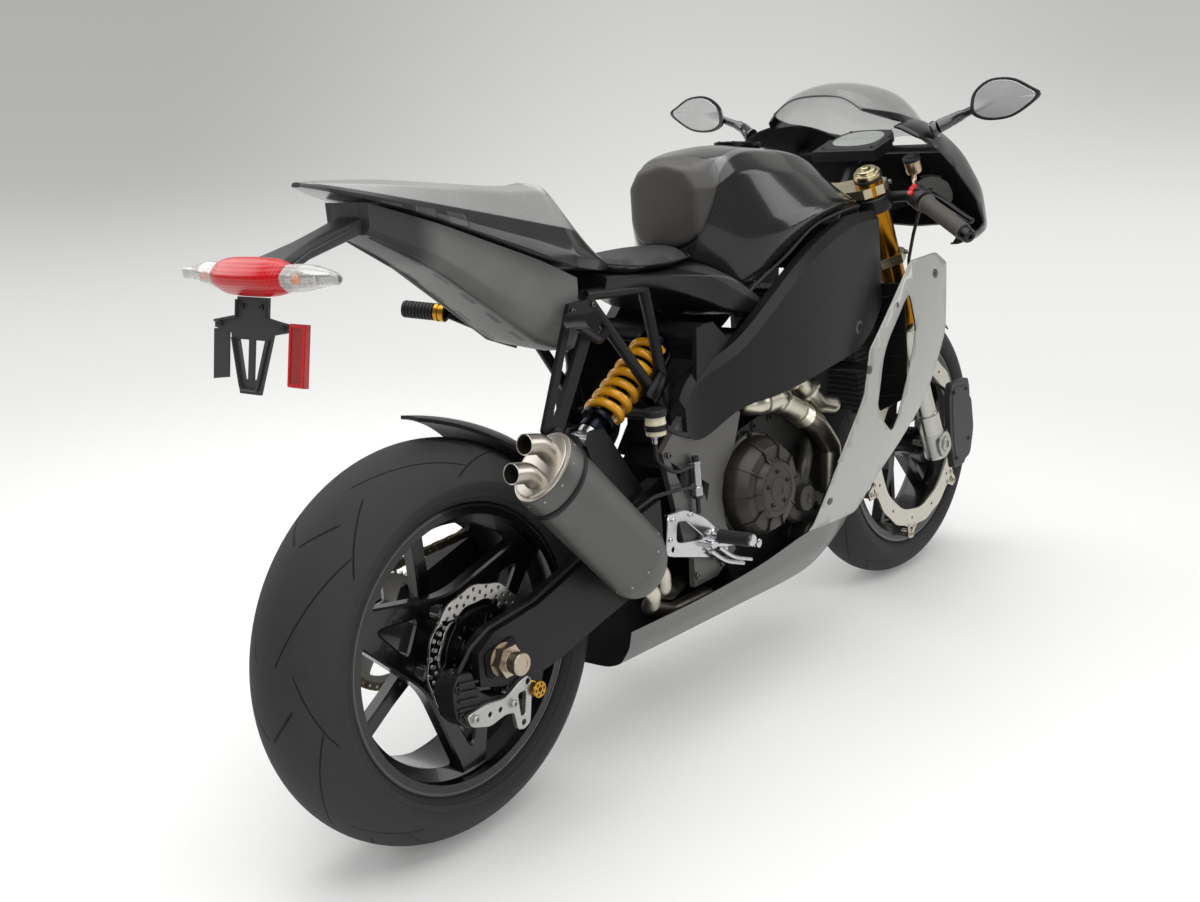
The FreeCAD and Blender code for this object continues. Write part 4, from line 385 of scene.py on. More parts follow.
def glow_lens(name, colour, alpha, rough=0.06, coat=1.0):
    """A clear moulded lens with prisms behind its smooth face."""
    finish, spot, x, y, z = surface(name)
    prisms = abs(((y / 5.0) % 1.0) - 0.5) + abs(((z / 5.0) % 1.0) - 0.5)
    base = finish.mixed(prisms * 0.8, shade(colour, 0.75), shade(colour, 1.25))
    edge = finish.node("ShaderNodeLayerWeight", sockets={"Blend": 0.35}, output="Facing")
    return finish.done(Base_Color=base, Roughness=rough + prisms * 0.05, Alpha=alpha + edge * (1 - alpha) * 0.8,
                       Normal=finish.bump(prisms, 0.0005), Coat_Weight=coat, Coat_Roughness=0.02)


def screen_finish():
    """Clear acrylic with a faint grey cast, denser where it is seen edge on, and fine dust."""
    finish, spot, x, y, z = surface("clear_acrylic_screen")
    edge = finish.node("ShaderNodeLayerWeight", sockets={"Blend": 0.45}, output="Facing")
    dust = finish.noise(spot, 30, 5, 0.7)
    foot = 1 - finish.smooth(z + (x - 1176) * 0.28, 1036, 1040)
    base = finish.mixed(dust * 0.3, tint(120, 120, 118), tint(140, 140, 137))
    base = finish.mixed(foot, base, tint(14, 14, 15))
    alpha = 0.1 + edge * 0.34 + dust * 0.03 + foot
    return finish.done(Base_Color=base, Roughness=0.12 + dust * 0.06, Alpha=finish.maths("MINIMUM", alpha, 1.0))


def anodised(name, colour, rough=0.25):
    """Coloured anodised aluminium, turned, with tiny wear."""
    finish, spot, *_ = surface(name)
    grain = finish.noise(spot, 0.8, 2, stretch=(1, 0.1, 1))
    wear = finish.noise(spot, 16, 5, 0.7)
    base = finish.mixed(wear, shade(colour, 0.8), shade(colour, 1.15))
    return finish.done(Base_Color=base, Roughness=rough * 0.7 + grain * rough * 0.5, Metallic=1.0,
                       Normal=finish.bump(grain, 0.00001))


def radiator_finish():
    """Folded fins between flat tubes."""
    finish, spot, x, y, z = surface("radiator_fins")
    fins = finish.maths("SINE", y * (math.tau / 3.2))
    tubes = finish.band((z % 11) - 5.5, 0, 1.6, 0.6)
    base = finish.mixed(tubes * 0.7 + fins * 0.15 + 0.15, tint(16, 16, 17), tint(66, 66, 68))
    return finish.done(Base_Color=base, Roughness=0.42 + fins * 0.08, Metallic=0.6,
                       Normal=finish.bump(fins * 0.4 + tubes, 0.001))


def header_finish(name, colour, straw=0.3):
    """Titanium pipe: straw at the welds, browner where it runs hot."""
    finish, spot, *_ = surface(name)
    heat = finish.noise(spot, 60, 3)
    brushed = finish.noise(spot, 0.9, 2, stretch=(0.15, 1, 1))
    base = finish.mixed(heat, shade(colour, 0.75), shade(colour, 1.12))
    base = finish.mixed(finish.smooth(heat, 0.52, 0.8) * straw, base, tint(150, 120, 84))
    return finish.done(Base_Color=base, Roughness=0.24 + brushed * 0.14, Metallic=1.0,
                       Normal=finish.bump(brushed, 0.00002))


def seat_finish():
    """Grained seat cover with a slightly greyer, worn crown."""
    finish, spot, *_ = surface("seat_cover_grain")
    grain = finish.cells(spot, 2.4)
    fine = finish.noise(spot, 1.0, 4, 0.6)
    wear = finish.noise(spot, 90, 3)
    base = finish.mixed(wear * 0.6 + grain * 0.3, tint(20), tint(34, 34, 33))
    return finish.done(Base_Color=base, Roughness=0.55 + grain * 0.12,
                       Normal=finish.bump(grain * 0.6 + fine * 0.4, 0.0004))


def dash_glass_finish():
    """A grey liquid-crystal face with faint segment bars."""
    finish, spot, x, y, z = surface("dash_display")
    bars = finish.band((y % 9) - 4.5, 0, 1.6, 0.4) * finish.band(x, 1330, 8, 1)
    base = finish.mixed(bars * 0.35, tint(150, 156, 150), tint(84, 90, 86))
    return finish.done(Base_Color=base, Roughness=0.12 + bars * 0.05, Coat_Weight=1.0, Coat_Roughness=0.02,
                       Normal=finish.bump(finish.noise(spot, 20, 1), 0.00001))


def mirror_glass_finish():
    """Silvered glass under a faint film of dust."""
    finish, spot, *_ = surface("mirror_glass_silvered")
    film = finish.noise(spot, 45, 3)
    base = finish.mixed(film, tint(190, 191, 190), tint(214, 215, 214))
    return finish.done(Base_Color=base, Roughness=0.2 + film * 0.1, Metallic=0.7)


tank_paint = tank_finish()
seat_side_paint = seat_side_finish()
tail_paint = tail_finish()
undertail_plastic = undertail_finish()
# One silver paint in three copies at different levels: the belly's is darker as painted shade, the side panels' lighter
# as painted light.
cowl_paint = cowl_finish("nose_silver_satin", tint(128, 128, 125), tint(116, 116, 113), (760, 960), 1452)
panel_paint_lit = cowl_finish("side_panel_silver_satin_painted_light", tint(158, 158, 154), tint(166, 166, 162), (300, 700))
belly_paint_shaded = cowl_finish("belly_silver_satin_painted_shade", tint(98, 98, 96), tint(84, 84, 82), (170, 260))
inner_black = moulded("panel_inside_black", tint(14), 0.5, 1.2, 0.00008, gloss=0.2)
rubber_black = moulded("black_rubber", tint(20, 20, 21), 0.55, 0.8, 0.00006)
cap_black = anodised("tank_cap_black", tint(34, 34, 36), 0.34)
lens_red = glow_lens("red_lens", tint(196, 2, 18), 0.94, 0.26, coat=0.05)
lens_core = moulded("red_lens_core", tint(150, 6, 16), 0.25, 3.0, 0.0002, 0.6)
lens_clear = glow_lens("clear_lens", tint(208, 206, 200), 0.3)
amber_bulb = moulded("amber_bulb_glass", tint(226, 120, 28), 0.12, 3.0, 0.00002, 1.0)
chrome = machined("chrome_reflector", tint(196), 0.14)
arm_plastic = moulded("tail_arm_plastic", tint(48, 48, 50), 0.4, 1.0, 0.00008)
disc_bright = ground_disc("rear_disc_ground_steel", tint(172, 170, 166), REAR_AXLE)
rotor_bright = ground_disc("front_rotor_ground_steel", tint(200, 197, 186), FRONT_AXLE)
carrier_black = anodised("disc_carrier_dark", tint(44, 44, 46), 0.34)
sprocket_steel = turned("chainwheel_steel", tint(150, 148, 142), REAR_AXLE, 0.34)
wheel_black = painted("wheel_gloss_black", tint(9), 0.24, coat=0.25, gloss=0.4)
rim_edge = painted("rim_edge_machined_lip", tint(30, 30, 31), 0.2, coat=0.8)
chain_metal = machined("chain_plate_steel", tint(120, 112, 92), 0.36)
slider_chrome = machined("bright_steel", tint(186, 186, 184), 0.2)
bronze_nut = anodised("axle_nut_bronze", tint(178, 166, 150), 0.32)
gold_anodised = anodised("gold_anodised", tint(190, 140, 44), 0.28)
bracket_silver = cast("caliper_bracket_cast", tint(176, 176, 174), 0.34, metal=0.95, depth=0.00004)
caliper_black = cast("caliper_hard_black", tint(40, 40, 42), 0.4, metal=0.6)
adjuster_black = anodised("adjuster_black", tint(36, 36, 38), 0.36)
muffler_skin = cast("muffler_graphite_sleeve", tint(92, 92, 90), 0.42, metal=0.6, grain=0.7, depth=0.00002)
band_black = painted("band_satin_black", tint(22), 0.4, gloss=0.25)
muffler_steel = header_finish("muffler_champagne_steel", tint(186, 180, 170), 0.15)
soot_and_shade_black = moulded("pipe_soot_and_painted_shade", tint(14, 13, 12), 0.9, 1.4, 0.0002)
spring_paint = painted("spring_yellow_gold", tint(222, 156, 16), 0.26, coat=0.5, metal=0.1)
clevis_silver = machined("clevis_bright", tint(170, 170, 172), 0.24)
damper_blue = anodised("damper_blue_black", tint(34, 38, 48), 0.3)
cream_plastic = moulded("fluid_pot_cream", tint(204, 196, 170), 0.34, 2.0, 0.00003, 0.5)
cover_skin = cast("clutch_cover_cast_magnesium", tint(62, 60, 56), 0.4, metal=0.75, depth=0.00009)
engine_metal = cast("engine_part_cast_dark", tint(52, 50, 48), 0.44, metal=0.7, depth=0.0001)
header_metal = header_finish("header_titanium_joints", tint(210, 206, 192), 0.12)
rearset_silver = machined("rearset_polished", tint(196, 196, 198), 0.2)
peg_black = moulded("peg_black_hard", tint(30, 30, 31), 0.45, 1.0, 0.0001)
screw_steel = machined("screw_steel", tint(98, 97, 96), 0.3)
lug_silver = machined("rotor_lug_aluminium", tint(196, 190, 178), 0.26)
champagne = anodised("fork_cap_champagne", tint(196, 184, 152), 0.26)
foot_silver = cast("fork_foot_cast_silver", tint(176, 176, 172), 0.32, metal=0.95, depth=0.00005)
bar_paint = painted("bar_black_enamel", tint(22), 0.36, gloss=0.3)
grip_rubber = moulded("grip_brown_grey_rubber", tint(74, 70, 66), 0.6, 0.9, 0.0001)
weight_dark = anodised("bar_end_dark", tint(52, 52, 54), 0.3)
switch_red = moulded("switch_red", tint(196, 36, 30), 0.35, 1.4, 0.00004, 0.3)
lever_dark = anodised("lever_dark_anodised", tint(46, 46, 48), 0.3)
pod_metal = cast("perch_cast_black", tint(36, 36, 38), 0.4, metal=0.6)
champagne_pot = anodised("master_pot_champagne", tint(190, 168, 146), 0.3)
dash_plastic = moulded("dash_housing_plastic", tint(26, 26, 28), 0.45, 1.0, 0.00008)
dash_glass = dash_glass_finish()
mirror_shell = painted("mirror_gloss_black_shell", tint(18, 18, 20), 0.2, coat=0.9)
mirror_glass = mirror_glass_finish()
screen_clear = screen_finish()
screen_rim = moulded("screen_rolled_edge", tint(66, 66, 68), 0.25, 2.0, 0.00002, 0.6)
guard_black = moulded("rear_guard_black", tint(20), 0.36, gloss=0.25)
duct_metal = cast("duct_dark_metal", tint(56, 56, 58), 0.42, metal=0.5)
seat_grain = seat_finish()
rear_rubber = tyre_finish("rear_tyre_rubber", REAR_AXLE, 320, 95, 0.12, 7)
front_rubber = tyre_finish("front_tyre_rubber", FRONT_AXLE, 300, 60, 0.3, 8)

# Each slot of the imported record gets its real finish
satin_black = painted("spar_satin_black", tint(22), 0.38, peel=0.00003, gloss=0.22)
finishes = {
    "frame_black": satin_black,
    "plate_grey": cast("pivot_plate_dark_grey", tint(96, 95, 94), 0.36, metal=0.6),
    "arm_black": painted("swingarm_satin_black", tint(20), 0.4, peel=0.00003, gloss=0.25),
    "axle_bronze": bronze_nut,
    "caliper_silver": bracket_silver,
    "shock_body": damper_blue,
    "spring_gold": spring_paint,
    "engine_black": cast("engine_black_casting", tint(34, 33, 32), 0.5, metal=0.5, depth=0.00012),
    "cover_bronze": cover_skin,
    "header_gold": header_finish("header_titanium", tint(206, 200, 184), 0.12),
    "muffler_grey": muffler_skin,
    "end_plate": muffler_steel,
    "carbon_gloss": tank_paint,
    "seat_fabric": seat_grain,
    "silver_paint": panel_paint_lit,
    "undertail_grey": undertail_plastic,
    "lamp_red": lens_red,
    "signal_clear": moulded("headlight_glass", tint(150, 152, 156), 0.08, 6.0, 0.0001, 1.0),
    "bracket_black": arm_plastic,
    "reflector_red": moulded("red_reflector", tint(150, 30, 30), 0.18, 3.0, 0.0001, 1.0),
    "hugger_black": moulded("hugger_black_plastic", tint(26), 0.4, gloss=0.25),
    "machined_silver": slider_chrome,
    "reservoir_cream": cream_plastic,
    "screen_clear": screen_clear,
    "radiator_black": radiator_finish(),
    "mirror_black": mirror_shell,
    "dash_black": dash_plastic,
    "chain_steel": chain_metal,
    "clamp_champagne": cast("clamp_champagne_anodised", tint(186, 176, 148), 0.3, metal=0.95, depth=0.00002),
    "fork_gold": anodised("fork_amber_gold", tint(166, 112, 22), 0.26),
    "slider_silver": machined("slider_polished_steel", tint(184, 182, 176), 0.18),
    "bar_black": bar_paint,
    "caliper_dark": cast("duct_dark_grey", tint(50, 50, 53), 0.45, metal=0.4),
    "tyre_rubber": rear_rubber,
    "rim_black": wheel_black,
    "disc_steel": disc_bright,
    "stand_black": painted("stand_black_enamel", tint(24, 24, 26), 0.35, coat=0.4),
    "hose_black": moulded("hose_black_rubber", tint(22, 22, 23), 0.5, 0.8, 0.00008),
}
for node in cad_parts.values():
    for slot in node.material_slots:
        for name, material in finishes.items():
            if slot.material and slot.material.name.startswith(name):
                slot.material = material
                break
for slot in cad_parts["front_tyre"].material_slots:
    slot.material = front_rubber


def turns(count, start=0.0):
    """Angles that divide a full turn."""
    return [math.tau * (step + start) / count for step in range(count)]


def polar(reach, turn, *depth):
    return (reach * math.cos(turn), reach * math.sin(turn), *depth)


def bend_path(points, radius, steps=5):
    """The points of straight runs joined by tangent arcs."""
    points = [Vector(point) for point in points]
    path = [points[0]]
    for before, corner, after in zip(points, points[1:], points[2:]):
        back = before - corner
        onward = after - corner
        trim = min(radius, back.length * 0.48, onward.length * 0.48)
        first = corner + back.normalized() * trim
        last = corner + onward.normalized() * trim
        for share in (step / steps for step in range(steps + 1)):
            path.append(first * (1 - share) ** 2 + corner * 2 * share * (1 - share) + last * share ** 2)
    return path + [points[-1]]


def rounded(before, corner, after, share, steps):
    """The points of one corner, rounded by a share of its two sides."""
    first, last = ([corner[axis] + (far[axis] - corner[axis]) * share for axis in (0, 1)] for far in (before, after))
    return [[first[axis] * (1 - part) ** 2 + corner[axis] * 2 * part * (1 - part) + last[axis] * part ** 2
             for axis in (0, 1)] for part in (step / steps for step in range(steps + 1))]


def soft_outline(points, softness, steps=4):
    """A closed outline whose corners are rounded, by one share of their sides or by a share for each."""
    count = len(points)
    shares = softness if isinstance(softness, (list, tuple)) else [softness] * count
    return [point for spot in range(count)
            for point in rounded(points[spot - 1], points[spot], points[(spot + 1) % count], shares[spot], steps)]


def between(before, start, end, after, share):
    """A smooth value, or list of values, that passes through start and end."""
    if isinstance(start, (list, tuple)):
        return [between(*parts, share) for parts in zip(before, start, end, after)]
    square, cube = share * share, share * share * share
    return 0.5 * (2 * start + (end - before) * share + (2 * before - 5 * start + 4 * end - after) * square
                  + (3 * start - before - 3 * end + after) * cube)


def flowing(rows, steps):
    """The rows with smooth ones between them."""
    made = []
    for spot in range(len(rows) - 1):
        near = [rows[min(max(spot + part, 0), len(rows) - 1)] for part in (-1, 0, 1, 2)]
        made += [between(*near, step / steps) for step in range(steps)]
    return made + [rows[-1]]


def skin_rows(rows, steps):
    """Rings of points from rows that give a length and an outline across it."""
    return [[(x, y, z) for y, z in outline] for x, outline in flowing(rows, steps)]


class Shape:
    """A piece in the making, drawn in millimetres in one of the frames above."""

    def __init__(self, place=BIKE):
        self.mesh = bmesh.new()
        self.place = place

    def rows(self, rings, ends=False, loop=False):
        """Faces between closed rings of points."""
        made = [[self.mesh.verts.new(point) for point in ring] for ring in rings]
        for ring, next_ring in zip(made, made[1:] + made[:1] if loop else made[1:]):
            for spot in range(len(ring)):
                self.mesh.faces.new((ring[spot - 1], ring[spot], next_ring[spot], next_ring[spot - 1]))
        if ends:
            self.mesh.faces.new(list(reversed(made[0])))
            self.mesh.faces.new(made[-1])

    def turned(self, start, way, profile, steps=32, hollow=False):
        """A profile of (along, radius) pairs turned about a line."""
        lay = Vector(way).to_track_quat("Z", "Y")
        self.rows([[Vector(start) + lay @ Vector(polar(max(radius, 0.002), turn, along)) for turn in turns(steps)]
                   for along, radius in profile], ends=not hollow, loop=hollow)

    def tube(self, points, radius, sides=12, bend=0.0, ends=True):
        """A round bar, or one whose radius follows a list, along a path."""
        path = bend_path(points, bend) if bend else [Vector(point) for point in points]
        count = len(path)
        radii = radius if isinstance(radius, list) else [radius]
        side = (path[1] - path[0]).orthogonal().normalized()
        rings = []
        for spot, point in enumerate(path):
            onward = (path[min(spot + 1, count - 1)] - path[max(spot - 1, 0)]).normalized()
            side = (side - onward * side.dot(onward)).normalized()
            up = onward.cross(side)
            reach = radii[int(spot * len(radii) / count)]
            rings.append([point + side * across + up * high for across, high in
                          (polar(reach, turn) for turn in turns(sides))])
        self.rows(rings, ends=ends)

    def plate(self, loops, thick, lay=Matrix.Identity(4), bevel=0.5):
        """A flat plate cut from an outline with holes, its edges broken, laid by a matrix."""
        curve = bpy.data.curves.new("cut_outline", "CURVE")
        curve.dimensions = "2D"
        curve.fill_mode = "BOTH"
        curve.extrude = thick / 2 - bevel
        curve.bevel_depth = bevel
        curve.bevel_resolution = 0
        curve.offset = -bevel
        for loop in loops:
            spline = curve.splines.new("POLY")
            spline.points.add(len(loop) - 1)
            for point, (across, up) in zip(spline.points, loop):
                point.co = (across, up, 0, 1)
            spline.use_cyclic_u = True
        holder = bpy.data.objects.new("cut_outline", curve)
        mesh = bpy.data.meshes.new_from_object(holder)
        mesh.transform(lay)
        self.mesh.from_mesh(mesh)
        bpy.data.objects.remove(holder)
        bpy.data.curves.remove(curve)
        bpy.data.meshes.remove(mesh)

    def cap_screw(self, spot, way, radius=4.0, high=3.6):
        """A cap screw with a hexagonal socket."""
        lay = Vector(way).to_track_quat("Z", "Y")
        rings = []
        for along, reach, corner in ((0, radius, 1), (high * 0.82, radius, 1), (high, radius * 0.86, 1),
                                     (high, radius * 0.5, 1.155), (high * 0.35, radius * 0.5, 1.155),
                                     (high * 0.35, 0.01, 1)):
            rings.append([Vector(spot) + lay @ Vector(polar(reach * (1 if step % 2 else corner), turn, along))
                          for step, turn in enumerate(turns(12))])
        self.rows(rings, ends=True)

    def hex_nut(self, spot, way, radius=6.0, high=5.0, bore=0.01):
        self.turned(spot, way, [(0, radius), (high * 0.8, radius), (high, radius * 0.88), (high, bore),
                                (high * 0.3, bore)], 6)

    def loose(self, name, smooth=32, weld=0.005):
        """Turns the drawing into an object, cleaned and shaded, that rides on nothing yet."""
        bmesh.ops.remove_doubles(self.mesh, verts=self.mesh.verts, dist=weld)
        bmesh.ops.dissolve_degenerate(self.mesh, edges=self.mesh.edges, dist=0.0005)
        bmesh.ops.recalc_face_normals(self.mesh, faces=self.mesh.faces)
        for edge in self.mesh.edges:
            edge.smooth = len(edge.link_faces) == 2 and edge.calc_face_angle() < math.radians(smooth)
        for face in self.mesh.faces:
            face.smooth = True
        self.mesh.transform(self.place)
        mesh = bpy.data.meshes.new(name)
        self.mesh.to_mesh(mesh)
        self.mesh.free()
        piece = bpy.data.objects.new(name, mesh)
        bpy.context.scene.collection.objects.link(piece)
        return piece

    def make(self, name, *finish, body="chassis", slot=None, smooth=32, replaces=(), weld=0.005):
        """Turns the drawing into a piece that rides on a body of the bike."""
        piece = self.loose(name, smooth, weld)
        for material in finish:
            piece.data.materials.append(material)
        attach(piece, body)
        if replaces:
            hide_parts(*replaces)
        return piece


def panel_skin(shape, stations, softness, steps=6):
    """A smooth closed skin through outlines given from the bottom middle to the top middle."""
    softness = list(softness) + list(reversed(softness[1:-1]))
    rows = [(x, soft_outline(half + [(-width, height) for width, height in reversed(half[1:-1])], softness))
            for x, half in stations]
    shape.rows(skin_rows(rows, steps), ends=True)


def round_loop(radius, count=96, middle=(0, 0), back=False):
    spots = [(middle[0] + across, middle[1] + up) for across, up in (polar(radius, turn) for turn in turns(count))]
    return spots[::-1] if back else spots


def at(x, y, z):
    return Matrix.Translation((x, y, z))


def spun(degrees, axis):
    return Matrix.Rotation(math.radians(degrees), 4, axis)


def side_on(y, x=0, z=0):
    """Lays a flat plate upright along the bike, facing its right."""
    return at(x, y, z) @ spun(90, "X")


def face_on(x):
    """Lays a flat plate upright across the bike, facing its front."""
    return at(x, 0, 0) @ Matrix(((0, 0, 1, 0), (1, 0, 0, 0), (0, 1, 0, 0), (0, 0, 0, 1)))


def hand(side):
    return "left" if side > 0 else "right"


def carve(piece, tools, kind="DIFFERENCE"):
    """Cuts closed tools out of a piece, or keeps only what lies inside them."""
    for tool in tools:
        modifier = piece.modifiers.new("carve", "BOOLEAN")
        modifier.operation = kind
        modifier.solver = "EXACT"
        modifier.object = tool
    bpy.context.view_layer.update()
    mesh = bpy.data.meshes.new_from_object(piece.evaluated_get(bpy.context.evaluated_depsgraph_get()))
    piece.modifiers.clear()
    piece.data = mesh
    for tool in tools:
        used = tool.data
        bpy.data.objects.remove(tool)
        bpy.data.meshes.remove(used)


def tool_block(loop, low, high, lay=Matrix.Identity(4)):
    """A closed block over an outline, used only for cutting."""
    shape = Shape()
    shape.rows([[lay @ Vector((across, up, level)) for across, up in loop] for level in (low, high)], ends=True)
    return shape.loose("cutting_block")


def back_faces(piece, centre):
    """Gives the faces that look towards a line along the bike the second material."""
    place = BIKE @ Vector(centre)
    for face in piece.data.polygons:
        arm = face.center - place
        arm.x = 0
        if face.normal.dot(arm) < 0:
            face.material_index = 1


def both_sides(draw):
    for side in (-1, 1):
        draw(side)


# Bodywork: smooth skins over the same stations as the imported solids
TANK = [
    (654, [(0, 830), (26, 834), (34, 880), (38, 930), (26, 956), (0, 966)]),
    (661, [(0, 812), (58, 818), (72, 880), (72, 942), (50, 974), (0, 987)]),
    (690, [(0, 790), (88, 796), (100, 870), (94, 940), (70, 977), (0, 992)]),
    (735, [(0, 750), (126, 760), (134, 860), (110, 962), (82, 990), (0, 1000)]),
    (800, [(0, 790), (150, 800), (166, 856), (120, 960), (84, 996), (0, 1006)]),
    (900, [(0, 836), (158, 840), (176, 872), (118, 946), (80, 984), (0, 997)]),
    (1000, [(0, 850), (152, 856), (164, 876), (112, 924), (70, 964), (0, 980)]),
    (1074, [(0, 852), (138, 858), (146, 868), (100, 894), (58, 932), (0, 946)]),
]
shape = Shape()
panel_skin(shape, TANK, (0, 0.1, 0.2, 0.08, 0.26, 0.4), 7)
shape.make("tank_shell", tank_paint, smooth=24, replaces=("tank_cover",), slot="carbon_gloss")

SEAT_SIDES = [
    (372, [(0, 806), (96, 808), (104, 834), (60, 838), (0, 838)]),
    (470, [(0, 796), (108, 800), (122, 822), (70, 826), (0, 826)]),
    (580, [(0, 756), (126, 762), (138, 806), (80, 820), (0, 820)]),
    (650, [(0, 722), (140, 728), (150, 790), (90, 812), (0, 812)]),
    (726, [(0, 704), (148, 712), (151, 744), (92, 746), (0, 746)]),
]
shape = Shape()
panel_skin(shape, SEAT_SIDES, (0, 0.15, 0.14, 0.3, 0), 7)
shape.make("seat_side_panels", seat_side_paint, smooth=24, replaces=("seat_base",), slot="carbon_gloss")

TAIL = [
    (394, [(0, 842), (86, 842), (92, 852), (58, 868), (0, 872)]),
    (352, [(0, 846), (100, 848), (104, 868), (54, 924), (0, 930)]),
    (305, [(0, 856), (108, 860), (110, 882), (50, 984), (0, 992)]),
    (286, [(0, 864.5), (107.5, 868), (108.7, 889.6), (49.6, 986), (0, 994.5)]),
    (220, [(0, 894), (106, 896), (104, 916), (48, 992), (0, 1002)]),
    (110, [(0, 942), (92, 944), (88, 958), (46, 1010), (0, 1020)]),
    (0, [(0, 990), (68, 992), (66, 1000), (42, 1028), (0, 1037)]),
    (-90, [(0, 1022), (42, 1024), (40, 1030), (34, 1040), (0, 1046)]),
    (-143, [(0, 1041), (10, 1042), (10, 1044), (8, 1047), (0, 1049)]),
]
shape = Shape()
panel_skin(shape, TAIL, (0, 0.1, 0.16, 0.12, 0.3), 7)
shape.make("tail_shell", tail_paint, smooth=24, replaces=("tail_cowl",), slot="silver_paint")

UNDERTAIL = [
    (319.7, [(0, 718), (66, 724), (84, 762), (86, 842), (0, 842)]),
    (243, [(0, 748), (62, 752), (78, 790), (80, 882), (0, 882)]),
    (150, [(0, 820), (56, 824), (74, 850), (76, 922), (0, 922)]),
    (50, [(0, 896), (50, 900), (66, 918), (66, 966), (0, 966)]),
    (-60, [(0, 962), (36, 964), (46, 976), (46, 1010), (0, 1010)]),
]
shape = Shape()
panel_skin(shape, UNDERTAIL, (0, 0.2, 0.14, 0, 0), 5)
shape.make("undertail_tray", undertail_plastic, smooth=24, replaces=("undertail",), slot="undertail_grey")

# Raised ribs along the undertail's face
shape = Shape()
for side in (-1, 1):
    shape.tube([(312, side * 58, 722.5), (243, side * 54, 751), (150, side * 48, 822.6), (50, side * 42, 898.8),
                (-50, side * 32, 959)], 2.4, 6)
shape.make("undertail_ribs", undertail_plastic)

# The tank's soft edge strip over the spars, and the tank's cap
shape = Shape()
for side in (-1, 1):
    strip = [(668, side * 138, 733), (735, side * 147, 770), (800, side * 158, 800), (887, side * 166, 848),
             (960, side * 168, 858), (1030, side * 160, 860), (1078, side * 146, 858)]
    shape.tube(strip, 3.2, 8, bend=60)
shape.make("tank_edge_strip", rubber_black)
shape = Shape(BIKE @ at(896, 0, 997) @ spun(8, "Y"))
shape.turned((0, 0, 0), Z, [(-4, 44), (1.5, 44), (3.4, 42), (3.6, 34), (2.4, 33), (2.4, 31), (4.4, 30), (4.6, 12),
                            (3.8, 11), (3.8, 0)], 56)
for turn in turns(7):
    shape.cap_screw(polar(38, turn, 3.2), Z, 2.6, 1.4)
shape.make("tank_cap", cap_black)


# Tail lamp, signals with their bulbs, and the arm that carries them
def lamp_ring(y, front, back, low, high, pull=0.0):
    middle = (low + high) / 2
    outline = [(front, low + 4), (front, high - 4), ((front + back) / 2, high), (back, middle + 6),
               (back + 2, middle - 8), ((front + back) / 2, low)]
    centre = ((front + back) / 2, middle)
    outline = [(x + (centre[0] - x) * pull, z + (centre[1] - z) * pull) for x, z in outline]
    return [(x, y, z) for x, z in soft_outline(outline, (0.12, 0.2, 0.35, 0.3, 0.3, 0.35), 5)]


def lamp_rows(rows, steps, pull=0.0):
    return [lamp_ring(*row, pull=pull) for row in flowing(rows, steps)]


LENS_ROWS = [(-76, -222, -252, 912, 952), (-40, -218, -268, 906, 960), (40, -218, -268, 906, 960),
             (76, -222, -252, 912, 952)]
SIGNAL_ROWS = [(76.6, -220, -252, 912, 952), (110, -214, -248, 914, 952), (148, -212, -234, 922, 944),
               (172, -222, -232, 926, 940)]
shape = Shape()
shape.rows(lamp_rows(LENS_ROWS, 8), ends=True)
shape.make("tail_lamp_lens", lens_red, replaces=("tail_lamp",), slot="lamp_red")
shape = Shape()
shape.rows(lamp_rows(LENS_ROWS, 8, 0.22), ends=True)
for row in range(3):
    for step in range(9):
        shape.turned((-250, -48 + step * 12, 922 + row * 12), -X, [(0, 4.2), (3, 4), (5, 2.4), (6, 0)], 10)
shape.make("tail_lamp_core", lens_core)


def signal(side):
    def flip(rings):
        return [[(x, side * y, z) for x, y, z in ring] for ring in rings]
    shape = Shape()
    shape.rows(flip(lamp_rows(SIGNAL_ROWS, 6)), ends=True)
    shape.make("signal_lens_" + hand(side), lens_clear, slot="signal_clear",
               replaces=("turn_signals",) if side < 0 else ())
    shape = Shape()
    shape.rows(flip(lamp_rows(SIGNAL_ROWS, 6, 0.34)), ends=True)
    for spot in range(5):
        y = side * (86 + spot * 12)
        shape.tube([(-236, y, 918 + spot * 2), (-238, y, 946 - spot * 2)], 1.6, 6)
    shape.make("signal_reflector_" + hand(side), chrome)
    shape = Shape()
    shape.turned((-236, side * 92, 932), (-0.5, side * 0.86, 0), [(-2, 7), (2, 8), (10, 8), (16, 6), (20, 0)], 16)
    shape.make("signal_bulb_" + hand(side), amber_bulb)


both_sides(signal)

shape = Shape()
ARM = [(-60.3, 28, 963, 989), (-105, 22, 952, 978), (-150, 20, 942, 967), (-190, 26, 929, 958),
       (-217.7, 36, 918, 951)]
shape.rows([[(x, y, z) for y, z in
             soft_outline([(-half, low), (half, low), (half * 1.06, high), (-half * 1.06, high)], 0.22, 3)]
            for x, half, low, high in ARM], ends=True)
for side in (-1, 1):
    shape.tube([(-70, side * 27, 976), (-150, side * 21, 954), (-212, side * 33, 934)], 1.8, 6)
shape.make("lamp_arm", arm_plastic, replaces=("tail_lamp_arm",), slot="bracket_black")

